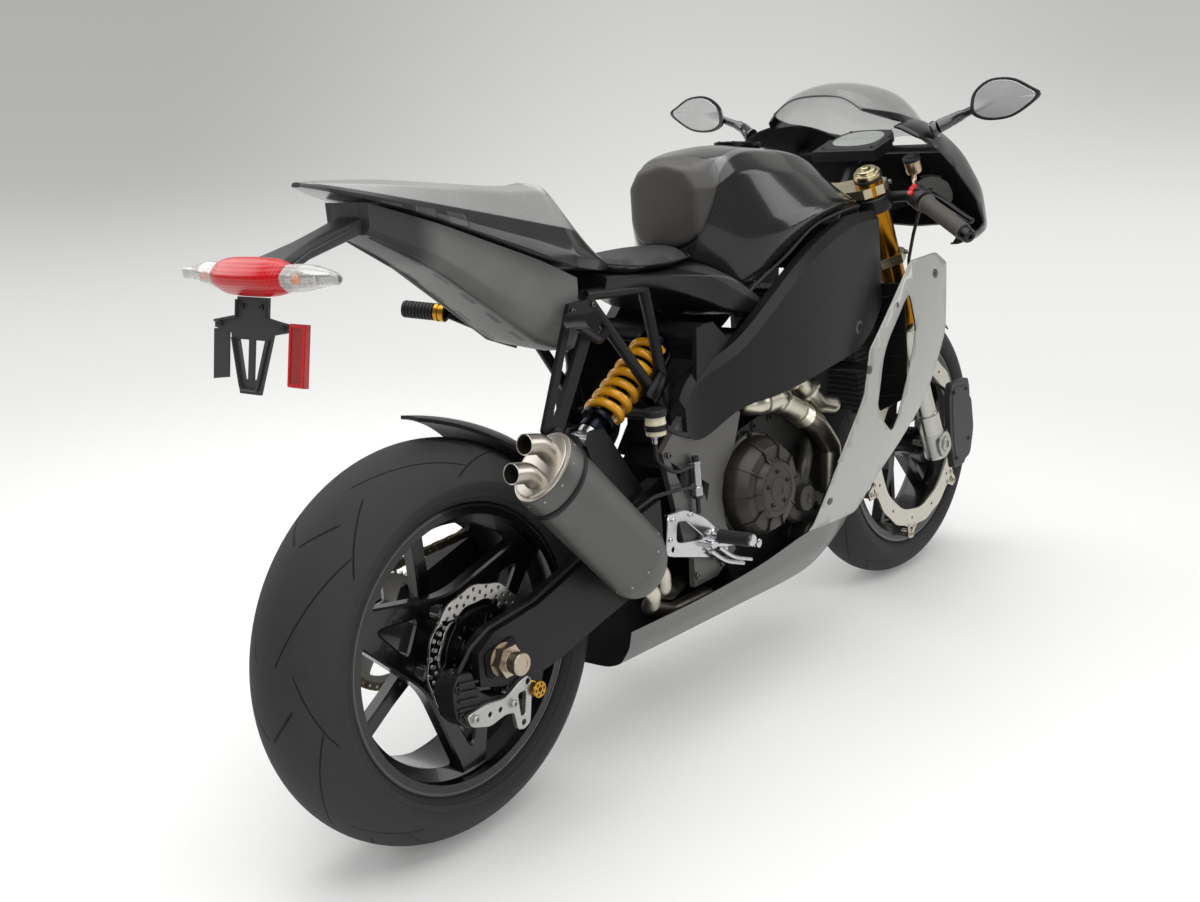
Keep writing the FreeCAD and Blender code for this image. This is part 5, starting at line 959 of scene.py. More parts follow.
# The plate bracket's screws and ribs, its dark flap and the red reflector's frame
PLATE_LAY = at(-241, 0, 906) @ spun(12, "Y")
shape = Shape(BIKE @ PLATE_LAY)
for side in (-1, 1):
    shape.cap_screw((-0.2, side * 22, -13), -X, 4.2, 3.4)
    shape.cap_screw((-0.2, side * 70, -39), -X, 3.6, 3)
    shape.tube([(-2.4, side * 33, -4), (-2.4, side * 33, -27), (-2.4, side * 82, -35)], 2, 6)
shape.tube([(-2.4, 40, -56), (-2.4, 18, -126), (-2.4, -18, -126), (-2.4, -40, -56)], 2, 6, bend=6)
shape.make("bracket_screws_and_ribs", arm_plastic)
shape = Shape(BIKE @ PLATE_LAY)
flap = [(52, -112), (86, -116), (88, -46), (54, -44)]
shape.plate([flap], 4, face_on(3.2))
shape.make("bracket_flap", arm_plastic)
shape = Shape(BIKE @ PLATE_LAY)
shape.plate([[(-85, -115), (-117.6, -115), (-117.6, -33), (-85, -33)],
             [(-89, -111), (-89, -37), (-113.6, -37), (-113.6, -111)]], 2.4, face_on(-2.1), 0.4)
shape.make("reflector_frame", lens_red)


# Rear wheel: disc, its carrier, chainwheel
def drilled(radii, count, hole):
    """Rows of holes, each row half a step on from the one before."""
    return [round_loop(hole, 10, polar(radius, turn), True)
            for row, radius in enumerate(radii) for turn in turns(count, row * 0.5)]


def waved(radius, depth, waves, count=240):
    return [polar(radius - depth * (0.5 - 0.5 * math.cos(waves * turn)), turn) for turn in turns(count)]


def sector(near, far, start, end):
    """A window between two radii and two angles."""
    angles = [start + (end - start) * step / 6 for step in range(7)]
    spots = [polar(far, turn) for turn in angles] + [polar(near, turn) for turn in reversed(angles)]
    return soft_outline(spots, 0.3, 2)[::-1]


DISC_DEPTH, CHAINWHEEL_DEPTH, ROTOR_DEPTH = 107, -108, 70
rear = wheel_place(REAR_AXLE)
shape = Shape(rear)
shape.plate([waved(110, 3.4, 12), waved(82, -2.5, 12, 120)[::-1]] + drilled((88.5, 96, 103.5), 24, 3.1), 4.6,
            at(0, 0, DISC_DEPTH), 0.4)
shape.make("rear_brake_ring", disc_bright, body="rear_wheel", replaces=("rear_disc",), slot="disc_steel")
shape = Shape(rear)
carrier = [[polar(74 + 7.6 * max(0.0, math.cos(6 * turn)) ** 6, turn) for turn in turns(144)],
           round_loop(20.6, 48, back=True)]
for turn in turns(6):
    carrier += [sector(44, 67, turn + 0.2, turn + 0.86), round_loop(6, 14, polar(32, turn), True)]
shape.plate(carrier, 5.6, at(0, 0, DISC_DEPTH), 0.8)
for turn in turns(6):
    shape.cap_screw(polar(57, turn, 109.6), Z, 5, 4.4)
    for side in (-1, 1):
        shape.turned(polar(79.5, turn, DISC_DEPTH), Z * side,
                     [(0, 6.4), (3.6, 6.4), (4.4, 5.6), (4.4, 3), (2.8, 2.6), (2.8, 0)], 18)
shape.make("rear_brake_carrier", carrier_black, body="rear_wheel")

shape = Shape(rear)
TEETH = 42
loops = [[polar(reach, math.tau * (step + share) / TEETH) for step in range(TEETH)
          for share, reach in ((0.0, 95.2), (0.22, 90.4), (0.5, 88.8), (0.78, 90.4))], round_loop(21, 48, back=True)]
loops += [sector(46, 78, turn + 0.28, turn + 0.98) for turn in turns(5)]
shape.plate(loops, 6.6, at(0, 0, CHAINWHEEL_DEPTH), 0.6)
for turn in turns(5):
    shape.hex_nut(polar(58, turn, -111), -Z, 8, 3.4, 3.2)
shape.make("rear_chainwheel", sprocket_steel, body="rear_wheel", replaces=("rear_sprocket",), slot="machined_silver")

# Rear wheel casting: welled barrel, three wide windowed spokes on the disc side and three slim bars behind them
WIDE_SPOKES = 152.5
shape = Shape(rear)
BARREL = [(78, 210), (78, 228), (73, 228), (73, 216), (54.9, 216), (42.9, 198), (-42.9, 198), (-54.9, 216),
          (-73, 216), (-73, 228), (-78, 228), (-78, 210), (-56.9, 210), (-42.9, 192), (42.9, 192), (56.9, 210)]
shape.turned((0, 0, 0), Z, BARREL, 144, hollow=True)
arms = [math.radians(WIDE_SPOKES + 120 * step) for step in range(3)]
star = [polar(reach, turn + math.radians(aside)) for turn in arms
        for reach, aside in ((86, -60), (184, -10.2), (209, -7.3), (209, 7.3), (184, 10.2))]
loops = [soft_outline(star, [0.22, 0.2, 0.0, 0.0, 0.2] * 3, 4), round_loop(20, 48, back=True)]
for turn in arms:
    spin = Matrix.Rotation(turn, 2)
    window = soft_outline([(172, 0), (98, 29), (98, -29)], 0.16, 4)
    loops.append([tuple(spin @ Vector(point)) for point in window][::-1])
    for side in (-1, 1):
        pocket = soft_outline([(74, side * 52), (70, side * 36), (52, side * 40), (54, side * 60)], 0.25, 3)
        loops.append([tuple(spin @ Vector(point)) for point in pocket][::side])
shape.plate(loops, 27, at(0, 0, 43.5), 3.2)
bar = soft_outline([(34, 17), (120, 12), (194, 13), (194, -13), (120, -12), (34, -17)], 0.1, 2)
for step in range(3):
    shape.plate([bar], 26, spun(WIDE_SPOKES + 60 + 120 * step, "Z") @ at(0, 0, -9), 3.2)
shape.turned((0, 0, 0), Z, [(-104, 42), (-78, 42), (-60, 34), (28, 36), (60, 38), (104, 42), (104, 14), (-104, 14)],
             56, hollow=True)
shape.make("rear_wheel_casting", wheel_black, body="rear_wheel", replaces=("rear_rim",), slot="rim_black")

# Rim edges and the valve, on both wheels
for axle, body, half, turn in ((REAR_AXLE, "rear_wheel", 78, 34), (FRONT_AXLE, "front_wheel", 50, 20)):
    shape = Shape(wheel_place(axle))
    spot = Vector(polar(1, math.radians(turn + 30), 0))
    shape.turned(spot * 211 + Z * half * 0.3, -spot,
                 [(0, 5), (3, 5), (4, 3.2), (22, 3), (23, 3.8), (32, 3.8), (33, 2)], 14)
    shape.make("valve_" + body, rubber_black, body=body)
    shape = Shape(wheel_place(axle))
    for end in (-1, 1):
        shape.turned((0, 0, 0), Z * end,
                     [(half - 1.2, 221.8), (half + 0.5, 222.6), (half + 0.5, 225.6), (half - 1.2, 226.4)],
                     120, hollow=True)
    shape.make("rim_edge_" + body, rim_edge, body=body)

# The chain, link by link, round both chainwheels
PITCH = 15.875
REAR_RUN, FRONT_RUN = 95.0, 41.0
FRONT_SPOT = Vector((640, 398))
REAR_SPOT = Vector((0, 320))
gap = FRONT_SPOT - REAR_SPOT
lean = math.atan2(gap.y, gap.x)
tilt = math.acos((REAR_RUN - FRONT_RUN) / gap.length)
track = []
for spot, reach, start, end in ((FRONT_SPOT, FRONT_RUN, lean - tilt, lean + tilt),
                                (REAR_SPOT, REAR_RUN, lean + tilt, lean + math.tau - tilt)):
    track += [spot + Vector(polar(reach, start + (end - start) * step / 60)) for step in range(61)]
track.append(track[0])
lengths = [0.0]
for first, second in zip(track, track[1:]):
    lengths.append(lengths[-1] + (second - first).length)
links = round(lengths[-1] / PITCH / 2) * 2


def on_track(far):
    far %= lengths[-1]
    for spot in range(len(track) - 1):
        if lengths[spot + 1] >= far:
            share = (far - lengths[spot]) / max(lengths[spot + 1] - lengths[spot], 0.0001)
            return track[spot].lerp(track[spot + 1], share)
    return track[-1]


shape = Shape()
rollers = Shape()
for step in range(links):
    near = on_track(lengths[-1] * step / links)
    far = on_track(lengths[-1] * (step + 1) / links)
    way = (far - near).normalized()
    across = Vector((-way.y, way.x))
    loop = []
    for end, spot in ((1, far), (-1, near)):
        for part in range(7):
            turn = math.pi * part / 6 - math.pi / 2
            loop.append(spot + (way * math.cos(turn) * end + across * math.sin(turn) * end) * 6.6)
    outer = step % 2
    for level in ((102.2, 103.6) if outer else (103.7, 104.9), (110.4, 111.8) if outer else (109.1, 110.3)):
        shape.rows([[(spot.x, level[0], spot.y) for spot in loop], [(spot.x, level[1], spot.y) for spot in loop]],
                   ends=True)
    rollers.turned((near.x, 102.1, near.y), Y, [(0, 2.4), (2.8, 2.4), (2.8, 4.6), (7, 4.6), (7, 2.4), (9.8, 2.4)], 10)
shape.make("chain_plates", chain_metal, replaces=("drive_chain",), slot="chain_steel")
rollers.make("chain_rollers", slider_chrome)

# Rear axle, its nut, and the stand spools
shape = Shape()
shape.turned((0, -152.9, 320), -Y, [(0, 25), (2, 26), (3.4, 26), (3.4, 22)], 40)
shape.hex_nut((0, -156.3, 320), -Y, 23.5, 14, 17.6)
shape.turned((0, -170, 320), -Y, [(0, 17.6), (8, 17.6), (9, 16.4), (14, 16.4), (15, 17.6), (26, 17.6), (27.6, 16),
                                  (27.6, 10.5), (12, 9.5), (12, 0)], 40)
shape.make("axle_nut", bronze_nut)


def spool(side):
    shape = Shape()
    shape.turned((57, side * 150.5, 252), Y * side, [(0, 11), (3, 11), (4, 8.4), (15.6, 8.4), (16.6, 9.6)], 28)
    holes = [round_loop(3.4, 12, back=True)] + [round_loop(1.9, 10, polar(8.6, turn), True) for turn in turns(6)]
    shape.plate([round_loop(13.4, 40)] + holes, 4.4, side_on(side * 169, 57, 252), 0.7)
    shape.make("stand_spool_" + hand(side), gold_anodised)


both_sides(spool)

# Rear caliper: a finned body, its bracket, pads' pin and screws
shape = Shape()
bracket = [(-90, 264), (-84, 244), (-46, 230), (-14, 236), (6, 232), (10, 202), (24, 198), (38, 204), (50, 266),
           (42, 280), (24, 276), (-10, 262), (-50, 268)]
bracket = soft_outline(bracket, 0.24, 3)
shape.plate([bracket, round_loop(4.6, 16, (24, 209), True), round_loop(5, 16, (41, 270), True),
             round_loop(4, 16, (-44, 249), True), round_loop(4, 16, (-22, 248), True),
             soft_outline([(17, 258), (36, 258), (28, 220), (19, 222)], 0.2, 3)[::-1]],
            9.4, side_on(-158.4), 1.1)
for x, z in ((-76, 255), (4, 248)):
    shape.cap_screw((x, -163, z), -Y, 6.4, 6)
    shape.turned((x, -162.8, z), -Y, [(0, 9), (1.6, 9), (2, 8.4), (2, 5)], 22)
shape.make("caliper_bracket", bracket_silver)
shape = Shape()
block = [(-102, 262), (-104, 306), (-88, 326), (-62, 322), (-56, 292), (-30, 270), (8, 260), (6, 240), (-44, 232),
         (-84, 240)]
shape.plate([soft_outline(block, 0.2, 3)], 39, side_on(-133.4), 1.6)
for spot in range(4):
    along = Vector((-98 + spot * 1.5, 272 + spot * 13))
    fin = [along + Vector(point) for point in ((0, 0), (0, 5), (40, -3), (40, -8))]
    shape.plate([soft_outline([tuple(point) for point in fin], 0.2, 2)], 5, side_on(-154.6), 0.8)
shape.turned((-34, -152, 250), -Y, [(0, 14), (1.6, 14), (1.9, 13), (1.9, 9), (1, 8.4), (1, 0)], 30)
shape.turned((-84, -134, 322), (-0.1, 0, 1), [(0, 6), (5, 6), (6, 4.4), (9, 4.4), (10, 3)], 14)
for x, z in ((-94, 264), (-96, 308)):
    shape.cap_screw((x, -152.6, z), -Y, 5, 4)
shape.make("rear_caliper_body", caliper_black, replaces=("rear_caliper",), slot="caliper_silver")


# Chain adjusters at the swingarm's ends
def arm_end(side):
    shape = Shape()
    shape.plate([soft_outline([(-34, 298), (-36, 340), (30, 350), (38, 300)], 0.22, 3),
                 soft_outline([(-14, 306), (-14, 334), (16, 334), (16, 306)], 0.45, 4)[::-1]], 3.4,
                side_on(side * 154.2), 0.7)
    shape.hex_nut((-46, side * 135, 320), -X, 7, 6, 3)
    shape.tube([(-40, side * 135, 320), (-58, side * 135, 320)], 3, 10)
    shape.make("adjuster_" + hand(side), adjuster_black)


both_sides(arm_end)


# Rear guard: one thick pointed blade over the tyre
def blade_ring(axle, turn, half, outer, inner, drop):
    """A cross-section of a crowned blade over a wheel, its outside and then its inside."""
    ring = []
    for reach, way in ((outer, 1), (inner, -1)):
        for y in (way * half * (part / 6 - 1) for part in range(13)):
            x, z = polar(reach - drop * y * y, turn)
            ring.append(axle + Vector((x, y, z)))
    return ring


GUARD_START, GUARD_END, GUARD_HALF = 24, 88.5, 92
shape = Shape()
rings = []
for step in range(25):
    turn = math.radians(GUARD_START + (GUARD_END - GUARD_START) * step / 24)
    lift = 15 * max(0.0, (step - 14) / 10) ** 2
    half = 6 + GUARD_HALF * min(1.0, max(0.0, (343 * math.cos(turn) + 16) / 250)) ** 0.85
    rings.append(blade_ring(REAR_AXLE, turn, half, 346 + lift, 340 + lift, 36 / GUARD_HALF ** 2))
shape.rows(rings, ends=True)
for side in (-1, 1):
    shape.plate([soft_outline([(262, 425), (262, 480), (312, 486), (318, 436)], 0.2, 3)], 15,
                side_on(side * 127), 1.4)
    shape.tube([(290, side * 88, 486), (290, side * 126, 470)], 9, 14)
shape.make("rear_guard", guard_black, replaces=("hugger",), slot="hugger_black")

# Muffler: drawn with x to the left, y up the oval and z down its length
MUFFLER_END = Vector((78, -204, 604))
MUFFLER_WIDE, MUFFLER_HIGH = 44, 62
down = (Vector((290, -204, 374)) - MUFFLER_END).normalized()
up = down.cross(Y)
MUFFLER = BIKE @ Matrix(((0, up.x, down.x, MUFFLER_END.x), (1, up.y, down.y, MUFFLER_END.y),
                         (0, up.z, down.z, MUFFLER_END.z), (0, 0, 0, 1)))


def oval_rings(rows):
    """Rings down the muffler's length, each with its share of the oval and how far it stands off it, if at all."""
    return [[((MUFFLER_WIDE * share + sum(lift)) * math.cos(turn), (MUFFLER_HIGH * share + sum(lift)) * math.sin(turn),
              along) for turn in turns(72)] for along, share, *lift in rows]


shape = Shape(MUFFLER)
sleeve = [(0.2, 0.955), (0.6, 0.985), (2.4, 1.0), (46, 1.0), (46.6, 0.988), (48, 0.988), (48.6, 1.0), (272, 1.0),
          (274, 1.006), (280, 1.006), (283, 0.995), (292, 0.965), (304, 0.9), (314, 0.81), (320.6, 0.72), (321.6, 0.66)]
shape.rows(oval_rings(sleeve), ends=True)
shape.make("muffler_sleeve", muffler_skin, replaces=("muffler",), slot="muffler_grey")
shape = Shape(MUFFLER)
band = [(35.6, 1, 0.2), (36, 1, 2.4), (37, 1, 3.0), (43, 1, 3.0), (44, 1, 2.4), (44.4, 1, 0.2)]
shape.rows(oval_rings(band))
shape.tube([(39, 32, 29), (58, 40, 30)], 8, 14)
shape.make("muffler_band", band_black)
shape = Shape()
shape.tube([(222, -97.5, 604), (222, -142, 604), (196, -166, 600), (172, -176, 590)], 8.6, 16, bend=30)
shape.turned((222, -98.2, 604), -Y, [(0, 15), (4, 15), (5, 13), (5, 9)], 28)
shape.make("muffler_stay", band_black)
shape = Shape(MUFFLER)
for turn in turns(10, 0.5):
    for along in (10, 270):
        edge = Vector((MUFFLER_WIDE * math.cos(turn), MUFFLER_HIGH * math.sin(turn), along))
        face = Vector((math.cos(turn) / MUFFLER_WIDE, math.sin(turn) / MUFFLER_HIGH, 0)).normalized()
        shape.turned(edge - face * 0.5, face, [(0, 2), (0.9, 1.9), (1.5, 1.1), (1.7, 0)], 8)
shape.make("muffler_rivets", muffler_steel)
shape = Shape(MUFFLER)
end_cap = [(0.4, 0.97), (-2, 0.985), (-3, 0.97), (-3.2, 0.93), (-2.4, 0.915), (-2.6, 0.89), (-5.4, 0.86),
           (-6, 0.82), (-6, 0.02)]
shape.rows(oval_rings(end_cap), ends=True)
shape.make("muffler_end_cap", muffler_steel, replaces=("muffler_end_plate",), slot="end_plate")


def hollow_pipe(shape, path, radius, wall, deep):
    """An open pipe: its outside, its lip and its inside down to a depth."""
    way = (path[-1] - path[-2]).normalized()
    shape.tube(path, radius, 28, ends=False)
    shape.tube(path[:deep - 1:-1], radius - wall, 28, ends=False)
    lay = way.to_track_quat("Z", "Y")
    shape.rows([[path[-1] + way * lift + lay @ Vector(polar(reach, turn, 0)) for turn in turns(48)]
                for reach, lift in ((radius, 0.0), (radius - wall * 0.3, 0.7), (radius - wall, 0.0))])


shape = Shape()
TIPS = ((24, 26), (-24, 22))
for shift, reach in TIPS:
    start = MUFFLER_END + up * shift - down * 2
    bend = start - down * reach
    end = bend + Vector((-0.98, 0, 0.2)) * 34
    hollow_pipe(shape, bend_path([start, bend, end], 28, 8), 16, 1.6, 5)
    shape.turned(start + down * 3, -down, [(0, 19.4), (4, 19.4), (6, 17.6), (6.6, 16.2)], 36)
shape.make("muffler_tips", muffler_steel, weld=0.001)
# A sooty dark plug inside each tip, also standing in as painted shade for the pipe's dark depth.
shape = Shape()
for shift, reach in TIPS:
    start = MUFFLER_END + up * shift - down * (reach * 0.6)
    shape.turned(start, down, [(0, 14), (4, 14)], 24)
shape.make("muffler_tip_depths", soot_and_shade_black)

# Rear damper and its coil spring
LOW = Vector((366, -58, 588))
HIGH = Vector((536, -58, 690))
SHOCK_WAY = (HIGH - LOW).normalized()
lay = SHOCK_WAY.to_track_quat("Z", "Y")
shape = Shape()
path = [LOW + SHOCK_WAY * (18.5 + 161 * share) + lay @ Vector(polar(27.5, math.tau * 6.5 * share, 0))
        for share in (step / 231 for step in range(232))]
shape.tube(path, 7.6, 14)
shape.make("coil_spring", spring_paint, replaces=("shock_spring",), slot="spring_gold")
shape = Shape()
span = (HIGH - LOW).length
shape.turned(LOW, SHOCK_WAY, [(-46, 8), (-40, 13), (-34, 19), (-22, 19.6), (-20, 17)], 40)
shape.turned(LOW - SHOCK_WAY * 44 - Y * 20.4, Y, [(0, 15.5), (1, 17), (39.8, 17), (40.8, 15.5)], 32)
shape.make("damper_foot", clevis_silver)
shape = Shape()
shape.turned(LOW, SHOCK_WAY, [(-21, 17), (-20, 22), (-8, 22), (-6, 19.6), (2, 19.6), (2, 30), (4, 31), (9, 31),
                              (11.5, 29), (11.5, 14), (span * 0.45, 12), (span * 0.45, 19), (span * 0.5, 19.6),
                              (span - 14, 19.6), (span - 12, 31), (span - 9, 31.4), (span - 2, 31.4), (span, 29),
                              (span + 4, 22), (span + 10, 20), (span + 10, 8)], 40)
shape.make("damper_body", damper_blue, replaces=("rear_shock",), slot="shock_body")
shape = Shape()
shape.tube([HIGH + SHOCK_WAY * 4 + Vector((0, -4, -4)), HIGH + SHOCK_WAY * 6 + Vector((-6, -36, -16)),
            HIGH + Vector((-52, -42, -50))], 5, 12, bend=16)
shape.turned(HIGH + Vector((-46, -44, -44)), (-0.8, -0.1, -0.58),
             [(0, 6), (2, 15), (6, 17), (52, 17), (58, 14), (60, 6)], 30)
shape.make("damper_reservoir", adjuster_black)

# Brake fluid pot behind the right peg
POT = Vector((426, -136, 560))
shape = Shape()
shape.turned(POT, Z, [(0.2, 12), (1, 16.4), (3, 18), (24, 18), (25, 17.4), (34, 17.4)], 36)
shape.make("fluid_pot", cream_plastic, replaces=("brake_reservoir",), slot="reservoir_cream")
shape = Shape()
shape.rows([[POT + Vector(polar(radius - (0.8 if step % 3 == 0 and radius > 19 else 0), turn, along))
             for step, turn in enumerate(turns(60))]
            for along, radius in ((33.6, 18.6), (34.4, 20), (43.6, 20), (45.4, 18.4), (45.8, 0.02))], ends=True)
shape.turned(POT, Z, [(10, 18.2), (10, 19.4), (20, 19.4), (20, 18.2)], 36, hollow=True)
shape.tube([(432, -154, 575), (452, -156, 560), (478, -157, 550)], 4.6, 12, bend=10)
shape.make("fluid_pot_cap", rubber_black)

# Clutch cover, drawn looking at it from the right
COVER = BIKE @ side_on(-120.3, 696, 398)
shape = Shape(COVER)
COVER_PROFILE = [(0, 102), (7.4, 102), (9, 100.4), (9.6, 96), (11, 93), (32, 91.6), (38, 89), (50, 81), (55, 77.4),
                 (57.4, 70), (57.6, 58), (60, 55.4), (67, 51), (69.4, 48), (69.8, 42), (68, 40), (68, 24), (69.8, 22),
                 (69.8, 14), (68.4, 12), (68.4, 0.02)]
rim = []
for along, radius in COVER_PROFILE:
    lobe = 3.4 if along < 10 and radius > 99 else 0.0
    rim.append([polar(radius - lobe + lobe * max(0.0, math.cos(10 * turn + math.pi)) ** 8, turn, along)
                for turn in turns(120)])
shape.rows(rim, ends=True)
for turn in turns(10):
    way, side = Vector(polar(1, turn, 0)), Vector(polar(1, turn + math.pi / 2, 0))
    shape.rows([[way * reach + side * across + Z * level
                 for across, level in ((2, 10), (1.3, top), (-1.3, top), (-2, 10))]
                for reach, top in ((52, 66), (60, 61.4), (76, 60.2), (86, 47), (92.8, 34), (93.4, 12))], ends=True)
for turn in turns(10, 0.5):
    shape.cap_screw(polar(97, turn, 9), Z, 4.6, 5.4)
for turn in turns(5):
    shape.cap_screw(polar(32, turn + 0.3, 67.6), Z, 4, 4)
shape.make("clutch_dome", cover_skin, replaces=("clutch_cover",), slot="cover_bronze")

# Water pump beside the clutch cover, with its hose stub and screws
shape = Shape(BIKE @ side_on(-120, 806, 348))
shape.turned((0, 0, 0), Z, [(0, 62), (8, 62), (10, 60), (12, 54), (34, 50), (40, 44), (43, 30), (43, 26), (56, 24.6),
                            (58, 22.6), (58, 9), (55, 7), (55, 0)], 56)
for turn in turns(6):
    shape.cap_screw(polar(57, turn, 9), Z, 4.2, 5)
shape.tube([(10, 20, 34), (18, 52, 38), (60, 78, 20), (90, 96, -20)], 13, 20, bend=26)
shape.make("water_pump", cover_skin)

# Engine: screws, fins, the left cover, hoses and fittings
shape = Shape()
case_edge = [(604, 300), (600, 440), (650, 500), (760, 520), (880, 500), (950, 420), (940, 300), (880, 214),
             (640, 206)]
for side in (-1, 1):
    for spot in range(len(case_edge)):
        first, second = Vector(case_edge[spot]), Vector(case_edge[(spot + 1) % len(case_edge)])
        middle = Vector((770, 370))
        if side < 0 or min(first.x, second.x) > 700:
            for share in (0.15, 0.65):
                at_edge = first.lerp(second, share)
                at_edge += (middle - at_edge).normalized() * 11
                shape.turned((at_edge.x, side * 119.4, at_edge.y), Y * side,
                             [(0, 9), (3, 8.4), (3.4, 7.6), (3.4, 5)], 18)
                shape.cap_screw((at_edge.x, side * 122.6, at_edge.y), Y * side, 4.4, 4.6)
for side in (-1, 1):
    for level in range(7):
        z = 540 + level * 13
        lean_x = 628 + level * 3
        shape.rows([[(lean_x, side * 95.6, z), (804, side * 95.6, z), (804, side * 101, z + 1),
                     (lean_x, side * 101, z + 1)],
                    [(lean_x, side * 95.6, z + 3.4), (804, side * 95.6, z + 3.4), (804, side * 101, z + 2.4),
                     (lean_x, side * 101, z + 2.4)]], ends=True)
shape.make("engine_screws_and_fins", engine_metal)
shape = Shape()
LEFT_COVER = [(0, 96), (8, 96), (10, 92), (22, 90), (27, 84), (29, 40), (33, 36), (33, 0)]
shape.turned((792, 120, 372), Y, LEFT_COVER, 64)
for turn in turns(9):
    shape.cap_screw((792 + 90 * math.cos(turn), 127.4, 372 + 90 * math.sin(turn)), Y, 4.4, 5)
shape.make("left_engine_cover", cover_skin)
shape = Shape()
for path, radius in (([(640, -97, 640), (632, -112, 668), (600, -96, 690), (560, -60, 700)], 9),
                     ([(700, -97, 612), (724, -118, 628), (770, -120, 640), (812, -98, 634)], 6),
                     ([(620, -97, 520), (606, -116, 540), (604, -112, 610), (612, -97, 640)], 5),
                     ([(860, -97, 560), (874, -116, 590), (930, -118, 628), (990, -97, 640)], 5.5)):
    shape.tube(path, radius, 12, bend=40)
shape.make("engine_lines", rubber_black)
shape = Shape()
for x, z in ((632, 618), (700, 612), (812, 606), (640, 560)):
    shape.turned((x, -95.4, z), -Y, [(0, 13), (5, 13), (7, 11), (12, 10.4), (13, 8)], 24)
shape.turned((836, -119.6, 262), -Y, [(0, 30), (6, 30), (8, 27), (40, 27), (44, 24), (44, 0)], 40)
shape.make("engine_fittings", engine_metal)


def ribbed(start, count, pitch, rib):
    """The profile of equal ribs, each a row of (along, radius), along a bar."""
    return [(start + step * pitch + along, radius) for step in range(count) for along, radius in rib]


def bellows(shape, start, way, radius, count):
    pitch = 5.2
    folds = ribbed(3, count, pitch, ((0, radius + 0.8), (pitch * 0.3, radius + 0.6), (pitch * 0.65, radius + 3.2)))
    shape.turned(start, way, [(0, radius), (1, radius + 3.4)] + folds + [(3 + count * pitch, radius)], 36)


# Exhaust header joints: bellows and clamps
shape = Shape()
bellows(shape, Vector((724, -141.6, 549.4)), (1, 0, -0.03), 21.2, 6)
bellows(shape, Vector((838, -141.6, 506)), (0.83, 0, -0.56), 21.2, 5)
bellows(shape, Vector((800, -138.6, 577)), (0.94, 0, -0.33), 17.2, 6)
for spot, way in ((Vector((780, -141.6, 541)), Vector((0.87, 0, -0.48))),
                  (Vector((872, -138.6, 543)), Vector((0.76, 0, -0.65)))):
    shape.turned(spot, way, [(0, 22.6), (1, 24.6), (10, 24.6), (11, 22.6)], 36)
    shape.cap_screw(spot + Vector((4, -24, 4)), -Y, 4, 6)
shape.make("header_joints", header_metal)


# Rearsets: plates, pedals, pegs and screws
def rearset(side):
    shape = Shape()
    outline = soft_outline([(408, 352), (420, 424), (470, 420), (520, 392), (586, 330), (578, 302), (520, 316)],
                           0.16, 3)
    window = soft_outline([(438, 368), (444, 404), (470, 398), (520, 352)], 0.22, 3)[::-1]
    holes = [round_loop(4.4, 14, spot, True) for spot in ((428, 360), (552, 336), (566, 318))]
    shape.plate([outline, window] + holes, 11.6, side_on(side * 146.5), 1.4)
    for x, z in ((420, 380), (432, 412), (480, 408), (572, 326)):
        shape.cap_screw((x, side * 152, z), Y * side, 5, 4.6)
    way = Vector((0.1, side, 0)).normalized()
    start = Vector((540, side * 150.3, 352))
    shape.turned(start, way, [(0, 13), (4, 13), (6, 10), (14, 9), (16, 12)], 24)
    shape.turned(start + way * 78, way, [(0, 11), (4, 11), (6, 9), (6, 0)], 24)
    shape.turned(Vector((520, side * 146, 345)), Y * side, [(0, 9.4), (24, 9.4), (26, 7.4), (26, 0)], 22)
    lever_end = Vector((520, side * 162.5, 345)) + Vector((1, 0, -0.28)).normalized() * 118
    shape.tube([(520, side * 162.5, 345), (560, side * 166, 332), (600, side * 163, 323), lever_end],
               [7, 6, 5.4, 6.4], 14, bend=30)
    for shift in (0, 24):
        shape.tube([(520 + shift, side * 160, 330), (556 + shift, side * 164, 300), (604 + shift, side * 166, 282)],
                   4.6, 12, bend=20)
    toe_rubber = [(0, 6), (1, 8), (6, 8), (7, 7), (9, 8), (14, 8), (15, 7), (17, 8), (22, 8), (23, 7), (25, 8),
                  (29, 8), (30, 6)]
    shape.turned((636, side * 152.5, 312), Y * side, toe_rubber, 20)
    shape.make("rearset_plate_" + hand(side), rearset_silver,
               replaces=("rearsets",) if side < 0 else (), slot="machined_silver")
    shape = Shape()
    shape.turned(start, way, ribbed(15, 13, 4.8, ((0, 11.2), (1.2, 12.4), (3.2, 12.4), (4.2, 11.2))), 22)
    shape.make("foot_peg_" + hand(side), peg_black)


both_sides(rearset)


def passenger_peg(side):
    start = Vector((238, side * 138, 790))
    way = Vector((-0.35, side * 0.93, 0.12)).normalized()
    shape = Shape()
    ribs = ribbed(22, 9, 6.2, ((0, 13.2), (1, 14.6), (4.2, 14.6), (5.2, 13.2)))
    shape.turned(start, way, [(20, 11)] + ribs + [(78, 14), (79, 11)], 26)
    shape.make("passenger_peg_" + hand(side), rubber_black)
    shape = Shape()
    shape.turned(start, way, [(1, 13.4), (2, 15.4), (8, 15.4), (9, 13.4), (12, 13.4), (13, 15.4), (19, 15.4),
                              (20, 13.4)], 30)
    shape.make("peg_collar_" + hand(side), gold_anodised)


passenger_peg(1)

